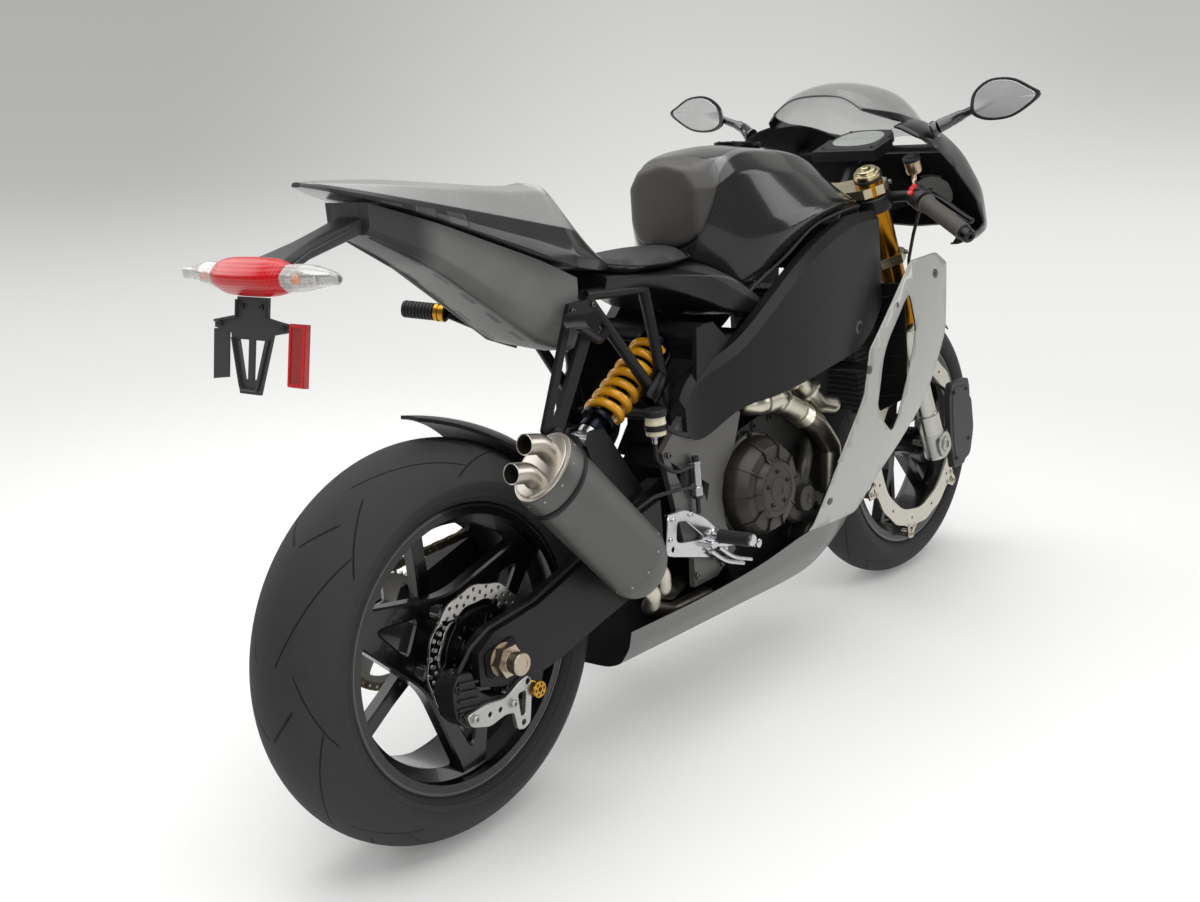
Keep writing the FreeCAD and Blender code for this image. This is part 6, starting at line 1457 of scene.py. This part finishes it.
# Screws on the spars, the plates and the hanger
shape = Shape()
for side in (-1, 1):
    for x, z, y in ((446, 520, 140), (500, 560, 140), (560, 570, 140), (612, 560, 140), (606, 318, 140),
                    (500, 288, 140), (572, 290, 140), (494, 330, 140)):
        shape.turned((x, side * (y - 0.2), z), Y * side, [(0, 8.4), (1.2, 8.4), (1.6, 7.6), (1.6, 4)], 20)
        shape.cap_screw((x, side * (y + 1.2), z), Y * side, 5.4, 4.8)
    for x, z in ((288, 794), (338, 796), (206, 606), (214, 588)):
        shape.cap_screw((x, side * 97.8, z), Y * side, 4.6, 4)
    shape.turned((985, side * 192.4, 640), Y * side,
                 [(-1, 14), (1.6, 14), (2.6, 12.4), (2.6, 7.4), (0.4, 7), (0.4, 0)], 6)
shape.make("frame_screws", screw_steel)

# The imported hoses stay; their crimped ends and clips are added here
shape = Shape()
for spot, way in (((-60.4, -134, 262), (-1, 0, 0)), ((500, -146, 452), (1, 0, -0.1)), ((421, -136, 556), (0, 0, -1)),
                  ((500, -147, 490), (1, 0, 0))):
    shape.turned(Vector(spot), way, [(-8, 5.4), (0, 5.4), (1, 4.6), (9, 4.6), (10, 3.8)], 14)
shape.turned((508, -149.5, 430), Z, [(4, 9.4), (5, 10.4), (20, 10.4), (21, 9.2), (60, 9.2), (61, 10), (66, 10),
                                     (67, 7)], 26)
shape.make("hose_ends", clevis_silver)

# Front wheel: the perimeter rotor on the rim's right side
front = wheel_place(FRONT_AXLE, math.radians(20))
shape = Shape(front)
shape.plate([waved(193, 3, 18), waved(152, -2.0, 12, 180)[::-1]] + drilled((172,), 12, 3.4), 4.6,
            at(0, 0, ROTOR_DEPTH), 0.4)
shape.make("front_brake_ring", rotor_bright, body="front_wheel", replaces=("front_rotor",), slot="disc_steel")
shape = Shape(front)
for turn in turns(6):
    spin = Matrix.Rotation(turn, 4, "Z")
    lug = soft_outline([(186, 21), (200, 14), (218, 10.6), (218, -10.6), (200, -14), (186, -21)], 0.25, 3)
    shape.plate([lug, round_loop(6, 14, (196, 0), True)], 4.8, at(0, 0, ROTOR_DEPTH) @ spin, 0.5)
    spot = spin @ Vector((208, 0, 0))
    shape.turned(spot + Z * 50.2, Z, [(0, 9), (17, 9), (17.3, 7)], 22)
    shape.cap_screw(spot + Z * 72.3, Z, 6, 4.4)
    for end in (-1, 1):
        near = spin @ Vector((190, 13 * end, 0))
        shape.turned(near + Z * 72.3, Z, [(0, 5.6), (1.6, 5.6), (2.2, 4.6), (2.2, 2.4), (1, 2), (1, 0)], 16)
shape.make("rotor_lugs", lug_silver, body="front_wheel")

# Fork: caps, adjusters, seals, feet and the clamp screws
FORK_AHEAD, FORK_ASIDE = 28, 115
shape = Shape(FORK)
for side in (-1, 1):
    shape.turned((FORK_AHEAD, side * FORK_ASIDE, 655), Z,
                 [(-6, 27.4), (0, 27.4), (2, 26), (3, 21), (4.4, 20), (8, 20), (8.6, 18.6), (8.6, 9)], 40)
    shape.turned((FORK_AHEAD, side * FORK_ASIDE, 663), Z, [(0, 9), (5, 9), (6, 7.6), (6, 3), (4, 2.6), (4, 0)], 6)
    shape.turned((FORK_AHEAD, side * FORK_ASIDE, 305), Z, [(-6, 24), (-5, 28.6), (7, 28.6), (9, 27.4)], 40)
shape.make("fork_caps", champagne, body="fork")
shape = Shape(FORK)
for side in (-1, 1):
    shape.turned((FORK_AHEAD, side * FORK_ASIDE, 300), Z, [(-4, 22.4), (-3, 25.6), (4, 25.6), (5, 23)], 36)
    shape.turned((FORK_AHEAD, side * FORK_ASIDE, 640), Z, [(0, 27.4), (1, 28.6), (6, 28.6), (7, 27.4)], 40)
shape.make("fork_seals", rubber_black, body="fork")
shape = Shape(FORK)
for side in (-1, 1):
    for level in (613, 455):
        for across in (143, 146):
            shape.cap_screw((52 if level > 600 else 50, side * across, level + 10), (0.5, side * 0.86, 0), 4.6, 4)
    for level in (462, 472):
        shape.cap_screw((-12, side * 119, level), (-0.9, side * 0.3, 0), 4.4, 4)
shape.turned((0, 0, 633), Z, [(0, 20), (4, 20), (6, 18), (9, 17), (9, 10), (6, 9), (6, 0)], 6)
shape.make("clamp_screws", screw_steel, body="fork")
shape = Shape(FORK)
for side in (-1, 1):
    shape.turned((FORK_AHEAD, side * FORK_ASIDE, 0), Z,
                 [(-30, 18), (-29, 22), (-24, 26.2), (30, 26.2), (60, 24.8), (78, 24.4), (82, 22.4)], 40)
    shape.plate([soft_outline([(4, -26), (4, 26), (52, 26), (52, -26)], 0.4, 4)], 10,
                side_on(side * 139), 1.4)
    shape.turned((FORK_AHEAD, side * 143.6, 0), Y * side, [(0, 17), (3, 17), (4, 15), (4, 9), (1, 8.4), (1, 0)], 6)
    shape.cap_screw((48, side * 130, -24), (1, 0, 0), 5, 4)
shape.make("fork_feet", foot_silver, body="fork")


# Handlebars with their clamps, pods, levers, grips and end weights
def handlebar(side):
    name = hand(side)
    inner = Vector((46, side * 200, 596))
    end = Vector((-27, side * 330, 556))
    way = (end - inner).normalized()
    shape = Shape(FORK)
    clamp = [round_loop(36, 56), round_loop(27.3, 56, back=True)]
    shape.plate(clamp, 31.6, at(FORK_AHEAD, side * FORK_ASIDE, 593), 1.6)
    shape.tube([(44, side * 145, 593), inner, end], 11, 22, bend=60)
    for level in (584, 602):
        shape.cap_screw((58, side * 100, level), (0.5, -side * 0.86, 0), 4.4, 7)
    shape.make("handlebar_" + name, bar_paint, body="fork", replaces=("handlebars",) if side < 0 else (),
               slot="bar_black")
    shape = Shape(FORK)
    profile = [(-2, 12), (-1.6, 19), (2, 20), (4, 19), (6, 17)]
    profile += ribbed(8, 21, 5, ((0, 16), (1, 16.9), (3.4, 16.9), (4.4, 16))) + [(114, 17), (117.4, 17), (118.6, 14)]
    shape.turned(end - way * 118, way, profile, 30)
    shape.make("grip_" + name, grip_rubber, body="fork")
    shape = Shape(FORK)
    shape.turned(end, way, [(0.4, 11), (1, 14), (4, 14), (5, 12.6), (7, 12.6), (8, 14), (19, 14), (21.6, 11.6),
                            (21.9, 5), (16, 4.4), (16, 0)], 32)
    shape.make("bar_end_" + name, weight_dark, body="fork")
    pod = end - way * 158
    shape = Shape(FORK)
    shape.turned(pod, way, [(0, 17), (1.4, 21), (4, 22), (14, 22), (14.6, 21), (16, 21), (16.6, 22), (30, 22),
                            (32.6, 21), (34, 17)], 36)
    for angle in (0.4, 1.6):
        lay = way.to_track_quat("Z", "Y")
        across = lay @ Vector(polar(1, angle, 0))
        shape.turned(pod + way * 15 + across * 19, across, [(0, 6), (4, 6), (5.4, 4.6), (5.4, 0)], 14)
    shape.make("switch_pod_" + name, peg_black, body="fork")
    if side < 0:
        shape = Shape(FORK)
        shape.turned(pod + way * 12 + Vector((-14, 4, 15)), (-0.5, 0.1, 0.85),
                     [(0, 6), (5, 6), (6.4, 4.8), (6.4, 0)], 18)
        shape.plate([soft_outline([(-11, -6), (-11, 6), (11, 6), (11, -6)], 0.4, 3)], 5,
                    Matrix.Translation(pod + way * 8 + Vector((-6, 0, 21.5))), 1.2)
        shape.make("stop_switch", switch_red, body="fork")
    lever_start = end - way * 138 + Vector((34, 0, -6))
    lever_end = end - way * 10 + Vector((49, 0, -10))
    middle = lever_start.lerp(lever_end, 0.35) + Vector((3, 0, 0))
    shape = Shape(FORK)
    shape.tube([lever_start, middle, lever_start.lerp(lever_end, 0.8),
                lever_end - (lever_end - lever_start).normalized() * 5],
               [7.4, 6.4, 5, 5.2], 16, bend=50)
    shape.turned(lever_end, (lever_end - lever_start), [(-8, 4.4), (-6, 5.8), (-1, 5.8), (0.4, 3)], 18)
    shape.make("lever_" + name, lever_dark, body="fork")
    shape = Shape(FORK)
    base = end - way * 138
    shape.tube([base, base + Vector((20, 0, -3)), base + Vector((38, 0, -6))], [12, 10, 9], 20)
    shape.turned(base + Vector((40, 0, 2)), Z, [(-14, 5), (-13, 7.4), (-3, 7.4), (-2, 5)], 16)
    shape.turned(base + way * -2 + Vector((14, 0, 2)), Vector((0.3, side * -0.9, 0.1)),
                 [(-6, 9), (-5, 11), (26, 11), (28, 9)], 24)
    shape.make("lever_perch_" + name, pod_metal, body="fork")
    pot = Vector((100, side * 176, 632))
    shape = Shape(FORK)
    shape.tube([base + Vector((20, side * -10, 0)), pot + Vector((-10, 0, -30)), pot + Vector((0, 0, -12))], 5, 12,
               bend=12)
    shape.turned(pot, Z, [(-14, 8), (-13, 15), (-10, 16.6), (12, 16.6), (13, 15)], 34)
    shape.make("master_pot_" + name, champagne_pot, body="fork")
    shape = Shape(FORK)
    shape.turned(pot, Z, [(12.6, 16), (13, 18), (19, 18), (20.4, 16.6), (20.8, 0)], 40)
    shape.turned(pot + Z * 20.6, Z, [(0, 11), (1, 10.4), (1.2, 0)], 24)
    shape.make("master_pot_cap_" + name, rubber_black, body="fork")


both_sides(handlebar)

# Dash: its housing and round-ended screen
DASH = BIKE @ at(1306, 0, 957) @ spun(-14, "Y")
shape = Shape(DASH)
housing = soft_outline([(-34, -72), (86, -60), (86, 60), (-34, 72)], 0.3, 5)
shape.plate([housing], 21, at(0, 0, -9), 2.4)
for x, y in ((-24, 58), (-24, -58), (76, 48), (76, -48)):
    shape.cap_screw((x, y, 1), Z, 3, 1.6)
shape.make("dash_housing", dash_plastic)
shape = Shape(DASH)
shape.plate([soft_outline([(-18, -58), (72, -50), (72, 50), (-18, 58)], 0.48, 8)], 3, at(0, 0, 2), 0.8)
shape.make("dash_screen", dash_glass)

# Mirrors: smooth shells, the glass and the stalks
MIRROR = [(-70, -8), (-58, 22), (-22, 40), (24, 34), (58, 12), (76, -6), (50, -24), (10, -38), (-34, -36), (-62, -24)]


def closed_curve(points, steps=8):
    return flowing([points[-1]] + points + points[:2], steps)[steps:-steps - 1]


def mirror(side):
    name = hand(side)
    place = BIKE @ at(1256, side * 362, 1037) @ spun(8 * side, "X")
    edge = [(y * side, z) for y, z in closed_curve(MIRROR)]
    shape = Shape(place)
    shape.rows([[(depth, y * share, z * share) for y, z in edge] for depth, share in
                ((3, 0.86), (0.4, 0.88), (0.0, 0.93), (0.8, 0.99), (4, 1.0), (12, 0.93), (18, 0.8), (23, 0.62),
                 (26, 0.4), (27, 0.05))], ends=True)
    shape.make("mirror_shell_" + name, mirror_shell, replaces=("mirrors",) if side < 0 else (), slot="mirror_black")
    shape = Shape(place)
    shape.rows([[(depth, y * share, z * share) for y, z in edge] for depth, share in
                ((3.0, 0.87), (-0.2, 0.87), (-0.6, 0.86), (-0.6, 0.02))], ends=True)
    shape.make("mirror_glass_" + name, mirror_glass)
    shape = Shape()
    shape.tube([(1256, side * 226, 989), (1276, side * 254, 1003), (1272, side * 296, 1019),
                (1269, side * 332, 1032)],
               [13, 12, 11, 9, 8.4, 8, 8, 9], 20, bend=40)
    shape.turned((1253, side * 217, 984), Vector((0.1, 0.93 * side, 0.35)),
                 [(0, 17), (4, 17), (6, 15), (12, 12.6)], 32)
    shape.make("mirror_stalk_" + name, mirror_shell)


both_sides(mirror)

# Screen: a clear bubble of even thickness, and its rolled edge
SCREEN = [
    (1176, [(0, 1066), (60, 1060), (104, 1034)]),
    (1240, [(0, 1086), (96, 1064), (159, 1004)]),
    (1340, [(0, 1070), (88, 1052), (141, 998)]),
    (1450, [(0, 1014), (68, 998), (104, 954)]),
    (1520, [(0, 956), (40, 948), (65, 925)]),
]
SCREEN_WALL = 2.6


def screen_row(half):
    return flowing([(-width, height) for width, height in reversed(half[1:])] + half, 6)


sheet = skin_rows([(x, screen_row(half)) for x, half in SCREEN], 8)
inner = [[(x, y * 0.982, z - SCREEN_WALL) for x, y, z in row] for row in sheet]
shape = Shape()
shape.rows([outer + list(reversed(under)) for outer, under in zip(sheet, inner)], ends=True)
shape.make("clear_screen", screen_clear, replaces=("windscreen",), slot="screen_clear", smooth=50)
shape = Shape()
shape.tube([Vector(point) + Vector((0, 0, -SCREEN_WALL / 2)) for point in sheet[0]], 2.0, 8)
shape.make("screen_edge", screen_rim)

# Nose cowl: hollow, silver outside and black inside, with the screen's opening and open at the back and below
COWL = [
    (1100, [(0, 744), (192, 746), (208, 754), (214, 850), (208, 936), (150, 985), (0, 1004)]),
    (1240, [(0, 744), (212, 746), (228, 758), (234, 860), (222, 976), (166, 1004), (0, 1024)]),
    (1340, [(0, 744), (224, 747), (240, 760), (234, 860), (204, 958), (150, 998), (0, 1016)]),
    (1440, [(0, 742), (214, 748), (230, 762), (220, 850), (180, 926), (116, 960), (0, 976)]),
    (1560, [(0, 750), (150, 760), (162, 774), (154, 830), (118, 884), (70, 906), (0, 914)]),
    (1640, [(0, 784), (44, 788), (54, 796), (54, 820), (44, 842), (24, 852), (0, 856)]),
]
COWL_SOFT = (0, 0.12, 0.2, 0.3, 0.34, 0.26, 0.3)
PANEL_WALL = 3.2


def shrunk(stations, wall):
    made = []
    for x, half in stations:
        middle = sum(height for width, height in half) / len(half)
        made.append((x, [(max(width - wall, 0), height - wall if height > middle else height + wall)
                         for width, height in half]))
    return made


shape = Shape()
panel_skin(shape, COWL, COWL_SOFT, 6)
cowl = shape.make("nose_cowl", cowl_paint, inner_black, replaces=("upper_fairing",), slot="silver_paint")
hollow = Shape()
inside = shrunk(COWL, PANEL_WALL)
inside[0] = (1096, inside[0][1])
inside[-1] = (1636, inside[-1][1])
panel_skin(hollow, inside, COWL_SOFT, 6)
rear_cut = [(1060, 700), (1300, 700), (1336, 756), (1426, 780), (1398, 826), (1317, 906), (1206, 974), (1180, 1060),
            (1060, 1060)]
under_cut = [(1000, -176), (1340, -206), (1560, -110), (1560, 110), (1340, 206), (1000, 176)]
opening = [(1000, -160), (1240, -160), (1340, -142), (1450, -105), (1521, -66), (1521, 66), (1450, 105), (1340, 142),
           (1240, 160), (1000, 160)]
carve(cowl, [hollow.loose("cutting_block"), tool_block(rear_cut, -320, 320, side_on(0)),
             tool_block(under_cut, 680, 762), tool_block(opening, 880, 1120)])
back_faces(cowl, (1300, 0, 860))

# Side panels with the tall vent, black inside, with screws
SIDE_SKIN = [
    (780, [(150, 190), (180, 300), (198, 420), (204, 560), (206, 760)]),
    (900, [(150, 190), (184, 300), (206, 420), (212, 560), (212, 760)]),
    (1050, [(136, 190), (176, 300), (210, 420), (220, 560), (216, 760)]),
    (1200, [(120, 190), (160, 300), (200, 420), (218, 560), (214, 760)]),
    (1340, [(90, 190), (140, 300), (180, 420), (200, 560), (204, 760)]),
]
PANEL_EDGE = [(814, 294), (867, 389), (960, 513), (982, 597), (1054, 661), (1150, 742), (1258, 742), (1310, 714),
              (1296, 576), (1200, 450), (1052, 341), (975, 272), (800, 284)]
VENT = [(1134, 686), (1156, 602), (1123, 528), (1090, 454), (1063, 416), (1000, 470), (1030, 590)]


def side_panel(side):
    name = hand(side)
    shape = Shape()
    shape.rows([[(x, side * y, z) for y, z in outside]
                + [(x, side * (y - PANEL_WALL), z) for y, z in reversed(outside)]
                for x, outside in flowing([(x, flowing(outer, 6)) for x, outer in SIDE_SKIN], 6)], ends=True)
    panel = shape.make("side_panel_" + name, panel_paint_lit, inner_black,
                       replaces=("side_fairing_" + name,), slot="silver_paint")
    low, high = (60, 260) if side > 0 else (-260, -60)
    edge = soft_outline(PANEL_EDGE, 0.1, 3)
    vent = soft_outline(VENT, [0.2, 0.3, 0.3, 0.3, 0.2, 0.2, 0.3], 4)
    carve(panel, [tool_block(edge, -high, -low, side_on(0))], "INTERSECT")
    carve(panel, [tool_block(vent, -high, -low, side_on(0))])
    back_faces(panel, (1000, 0, 450))
    shape = Shape()
    for x, z, y in ((1088, 664, 218), (1250, 700, 214), (978, 560, 217), (860, 330, 190), (1180, 460, 206)):
        shape.turned((x, side * (y - 3.4), z), Y * side, [(0, 9), (3.4, 9), (4.4, 8), (4.6, 0)], 24)
        shape.hex_nut((x, side * (y + 0.6), z), Y * side, 4, 1.4)
    shape.make("panel_screws_" + name, screw_steel)
    shape = Shape()
    shape.turned((997, side * 97, 560), Y * side, [(0, 9), (114, 9)], 20)
    shape.make("panel_post_" + name, band_black)


both_sides(side_panel)


# Black duct walls inside the vents, from the side panels to the radiator
def duct_wall(side):
    shape = Shape()
    wall = [(side * y, z) for y, z in ((143, 436), (206, 470), (213, 560), (211, 700), (143, 700))][::side]
    shape.plate([soft_outline(wall, 0.08, 2)], 3, face_on(1128), 0.6)
    for level in range(6):
        shape.tube([(1124, side * 150, 470 + level * 40), (1124, side * 203, 478 + level * 40)], 2.2, 6)
    shape.make("duct_wall_" + hand(side), inner_black)


both_sides(duct_wall)

# Belly pan: an open trough
BELLY_WALL = 3.4
BELLY = [
    (295, [(0, 181), (96, 183), (128, 194), (150, 226), (158, 258)]),
    (470, [(0, 178), (100, 180), (134, 192), (160, 226), (168, 259)]),
    (640, [(0, 174), (104, 177), (138, 190), (166, 230), (174, 266)]),
    (800, [(0, 164), (100, 168), (134, 184), (168, 236), (176, 282.4)]),
    (900, [(0, 158), (86, 164), (120, 182), (160, 230), (172, 275.2)]),
    (996, [(0, 158), (50, 164), (80, 184), (124, 224), (150, 268.4)]),
]


def belly_row(half, lift):
    points = [(max(width - lift, 0), height + lift) for width, height in half[:-1]]
    points.append((half[-1][0] - lift, half[-1][1]))
    made = [points[0]]
    for spot, share in ((1, 0.25), (2, 0.34), (3, 0.3)):
        made += rounded(points[spot - 1], points[spot], points[spot + 1], share, 4)
    made.append(points[-1])
    return [(-width, height) for width, height in reversed(made[1:])] + made


shape = Shape()
shape.rows(skin_rows([(x, belly_row(half, 0) + belly_row(half, BELLY_WALL)[::-1]) for x, half in BELLY], 5),
           ends=True)
belly = shape.make("belly_trough", belly_paint_shaded, inner_black, replaces=("belly_pan",), slot="silver_paint")
back_faces(belly, (640, 0, 300))

# Front duct plate over the caliper, with its folded edge and screws, and the caliper's arm to the fork's foot
shape = Shape()
duct = [(1462, 226), (1450, 300), (1450, 392), (1462, 420), (1536, 418), (1542, 398), (1548, 270), (1508, 226)]
shape.plate([soft_outline(duct, 0.12, 3)], 16, side_on(-122), 1.6)
fold = [(1470, 240), (1460, 300), (1460, 386), (1470, 408), (1526, 406), (1532, 390), (1537, 276), (1504, 238)]
shape.plate([soft_outline(fold, 0.12, 3)], 3, side_on(-130.2), 1.2)
for x, z in ((1473, 248), (1468, 398), (1522, 396), (1528, 280)):
    shape.cap_screw((x, -131.2, z), -Y, 4.4, 3)
caliper = [(1524, 216), (1512, 300), (1516, 388), (1584, 366), (1592, 290), (1572, 230)]
shape.plate([soft_outline(caliper, 0.2, 3)], 34, side_on(-96), 3)
shape.plate([soft_outline([(1408, 282), (1408, 316), (1500, 330), (1500, 272)], 0.2, 3)], 14, side_on(-118), 2)
shape.make("front_caliper_duct", duct_metal, body="fork", replaces=("front_caliper",), slot="caliper_dark")

# Front fender: a thin crowned blade close over the tyre
shape = Shape()
FENDER_START, FENDER_SWEEP, FENDER_HALF = 52, 86, 66
shape.rows([blade_ring(FRONT_AXLE, math.radians(FENDER_START + FENDER_SWEEP * step / 26), FENDER_HALF, 318, 314,
                       40 / FENDER_HALF ** 2) for step in range(27)], ends=True)
shape.make("front_fender_blade", guard_black, body="fork", replaces=("front_fender",), slot="hugger_black")

# Side stand's return spring
shape = Shape()
path = []
for step in range(160):
    turn = math.tau * 18 * step / 159
    path.append((520 + 0.4 * step + 5 * math.cos(turn), 158, 300 + 5 * math.sin(turn)))
shape.tube(path, 1.1, 6)
shape.make("stand_spring", slider_chrome)

# The seat pad: its solid's shape drawn in a little, then blown up by the cloth solver
SEAT = [
    (398, [(0, 840), (70, 841), (84, 850), (60, 862), (0, 866)]),
    (450, [(0, 829), (92, 830), (108, 838), (70, 848), (0, 850)]),
    (530, [(0, 827), (100, 828), (118, 834), (76, 842), (0, 843)]),
    (610, [(0, 823), (84, 824), (98, 832), (60, 842), (0, 844)]),
    (652, [(0, 814), (30, 815), (38, 826), (26, 840), (0, 842)]),
]


def blow_up(piece, voxel, cap, frames=20):
    """Swells a closed skin with pressure, each point moving no further than the cap, in metres."""
    remesh = piece.modifiers.new("even_mesh", "REMESH")
    remesh.mode = "VOXEL"
    remesh.voxel_size = voxel
    bpy.context.view_layer.update()
    piece.data = bpy.data.meshes.new_from_object(piece.evaluated_get(bpy.context.evaluated_depsgraph_get()))
    piece.modifiers.clear()
    start = [vert.co.copy() for vert in piece.data.vertices]
    cloth = piece.modifiers.new("cover", "CLOTH")
    cloth.settings.use_pressure = True
    cloth.settings.uniform_pressure_force = 4
    cloth.settings.effector_weights.gravity = 0
    cloth.point_cache.frame_start = 1
    cloth.point_cache.frame_end = frames
    scene = bpy.context.scene
    for step in range(1, frames + 1):
        scene.frame_set(step)
    swollen = bpy.data.meshes.new_from_object(piece.evaluated_get(bpy.context.evaluated_depsgraph_get()))
    piece.modifiers.clear()
    scene.frame_set(1)
    for vert, before in zip(swollen.vertices, start):
        move = vert.co - before
        if move.length > cap:
            vert.co = before + move.normalized() * cap
    piece.data = swollen
    fine = bmesh.new()
    fine.from_mesh(piece.data)
    for step in range(2):
        bmesh.ops.smooth_vert(fine, verts=fine.verts, factor=0.5, use_axis_x=True, use_axis_y=True, use_axis_z=True)
    bmesh.ops.recalc_face_normals(fine, faces=fine.faces)
    for face in fine.faces:
        face.smooth = True
    fine.to_mesh(piece.data)
    fine.free()


shape = Shape()
panel_skin(shape, [(x, [(width * 0.97, height + (1.2 if spot < 2 else -1.5))
                        for spot, (width, height) in enumerate(half)])
                   for x, half in SEAT], (0, 0.2, 0.3, 0.3, 0), 5)
pad = shape.make("seat_cushion", seat_grain, replaces=("seat_pad",), slot="seat_fabric")
blow_up(pad, voxel=0.0045, cap=0.005)
pad.data.materials.clear()
pad.data.materials.append(seat_grain)

# The sewn piping along both its edges
shape = Shape()
for side in (-1, 1):
    shape.tube([(x, side * half[2][0] * 0.985, half[2][1] + 1.5) for x, half in SEAT], 1.6, 8, bend=60)
shape.make("seat_piping", rubber_black)

# The studio: one sweep of pale floor and wall, and soft lamps
WALL_START, WALL_CURVE = 5.5, 3.0


def studio_sweep():
    """A floor that curves up into a wall behind the bike, in the camera's direction."""
    floor_z = cad_low.z
    mesh = bpy.data.meshes.new("studio_sweep")
    shape = bmesh.new()
    profile = [(along, 0.0) for along in (-9.0, -4.0, 0.0, 4.0, WALL_START)]
    for step in range(1, 13):
        turn = math.pi / 2 * step / 12
        profile.append((WALL_START + WALL_CURVE * math.sin(turn), WALL_CURVE - WALL_CURVE * math.cos(turn)))
    profile.append((WALL_START + WALL_CURVE, 7.0))
    rows = []
    for along, height in profile:
        rows.append([shape.verts.new((along, side, floor_z + height)) for side in (-12, -4, 0, 4, 12)])
    for row, next_row in zip(rows, rows[1:]):
        for spot in range(4):
            shape.faces.new((row[spot], row[spot + 1], next_row[spot + 1], next_row[spot]))
    shape.transform(Matrix.Rotation(CAMERA_TURN, 4, "Z"))
    bmesh.ops.recalc_face_normals(shape, faces=shape.faces)
    for face in shape.faces:
        face.smooth = True
    shape.to_mesh(mesh)
    shape.free()
    sweep = bpy.data.objects.new("studio_sweep", mesh)
    bpy.context.scene.collection.objects.link(sweep)
    return sweep


CAMERA_AT = Vector((-2.145591, -1.665518, 1.364826))
CAMERA_TURN = 0.704642
CAMERA_DROP = 0.330542
CAMERA_LENS = 45.142
WORLD_LIGHT = 0.26
look = Vector((math.cos(CAMERA_DROP) * math.cos(CAMERA_TURN), math.cos(CAMERA_DROP) * math.sin(CAMERA_TURN),
               -math.sin(CAMERA_DROP)))
camera = bpy.data.objects.new("camera", bpy.data.cameras.new("camera"))
camera.data.sensor_width = 36.0
camera.data.lens = CAMERA_LENS
camera.data.clip_start = 0.05
camera.data.clip_end = 100.0
camera.location = CAMERA_AT
camera.rotation_euler = look.to_track_quat("-Z", "Y").to_euler()
bpy.context.scene.collection.objects.link(camera)
bpy.context.scene.camera = camera

floor = studio_sweep()
paper = Finish("studio_paper")
spot = paper.node("ShaderNodeTexCoord", output="Object")
x, y, z = paper.split(spot)
ahead = x * math.cos(CAMERA_TURN) + y * math.sin(CAMERA_TURN)
aside = x * -math.sin(CAMERA_TURN) + y * math.cos(CAMERA_TURN)
depth = ahead + z * 2
mottle = paper.noise(spot, 0.8, 2)
# Painted shade on the backdrop's glow: darker further back and up the wall, and darker still towards both far corners.
backdrop = paper.mixed(paper.smooth(depth, 1.0, 12.0), tint(243, 243, 241), tint(200, 200, 198))
backdrop_painted_shade = paper.smooth(aside, -0.5, 3.0) * paper.smooth(depth, 0.0, 7.0) * 0.75
backdrop_painted_shade = paper.maths("MAXIMUM", backdrop_painted_shade, paper.smooth(aside * -1, 1.0, 3.6) * paper.smooth(depth, 5.0, 9.0) * 0.4)
backdrop = paper.mixed(backdrop_painted_shade, backdrop, tint(165, 165, 164))
reach = paper.maths("SQRT", x * x + y * y)
far = 0.12 + paper.smooth(reach, 0.8, 2.8) * 0.88
paper.feed(paper.shader.inputs["Base Color"], paper.mixed(mottle * 0.3, tint(244, 244, 243), tint(238, 238, 237)))
paper.feed(paper.shader.inputs["Roughness"], 0.6 + mottle * 0.1)
glow = paper.node("ShaderNodeEmission", sockets={"Color": backdrop, "Strength": 1.0})
joined = paper.node("ShaderNodeMixShader", sockets={0: far, 1: Amount(paper, paper.shader.outputs[0]), 2: glow})
paper.tree.links.new(joined.socket, paper.output.inputs["Surface"])
floor.data.materials.append(paper.material)


def soft_lamp(name, place, aim, width, depth, power):
    lamp = bpy.data.lights.new(name, "AREA")
    lamp.shape = "RECTANGLE"
    lamp.size = width
    lamp.size_y = depth
    lamp.energy = power
    holder = bpy.data.objects.new(name, lamp)
    holder.location = place
    holder.rotation_euler = (Vector(aim) - Vector(place)).to_track_quat("-Z", "Y").to_euler()
    bpy.context.scene.collection.objects.link(holder)


soft_lamp("overhead_box", (-0.2, 0.1, 3.3), (0, 0, 0.2), 5.0, 3.6, 146)
soft_lamp("rear_right_box", (-3.0, -3.2, 2.6), (0, 0, 0.5), 3.0, 2.4, 46)
soft_lamp("front_right_box", (3.0, -2.8, 2.2), (0.4, 0, 0.5), 2.2, 2.4, 42)
soft_lamp("left_rim_box", (-0.8, 3.6, 2.4), (0, 0, 0.6), 3.2, 1.8, 42)

world = bpy.data.worlds.new("studio_air")
bpy.context.scene.world = world
world.use_nodes = True
air = world.node_tree.nodes["Background"]
air.inputs["Color"].default_value = (1, 1, 1, 1)
air.inputs["Strength"].default_value = WORLD_LIGHT

bpy.context.scene.view_settings.view_transform = "Standard"
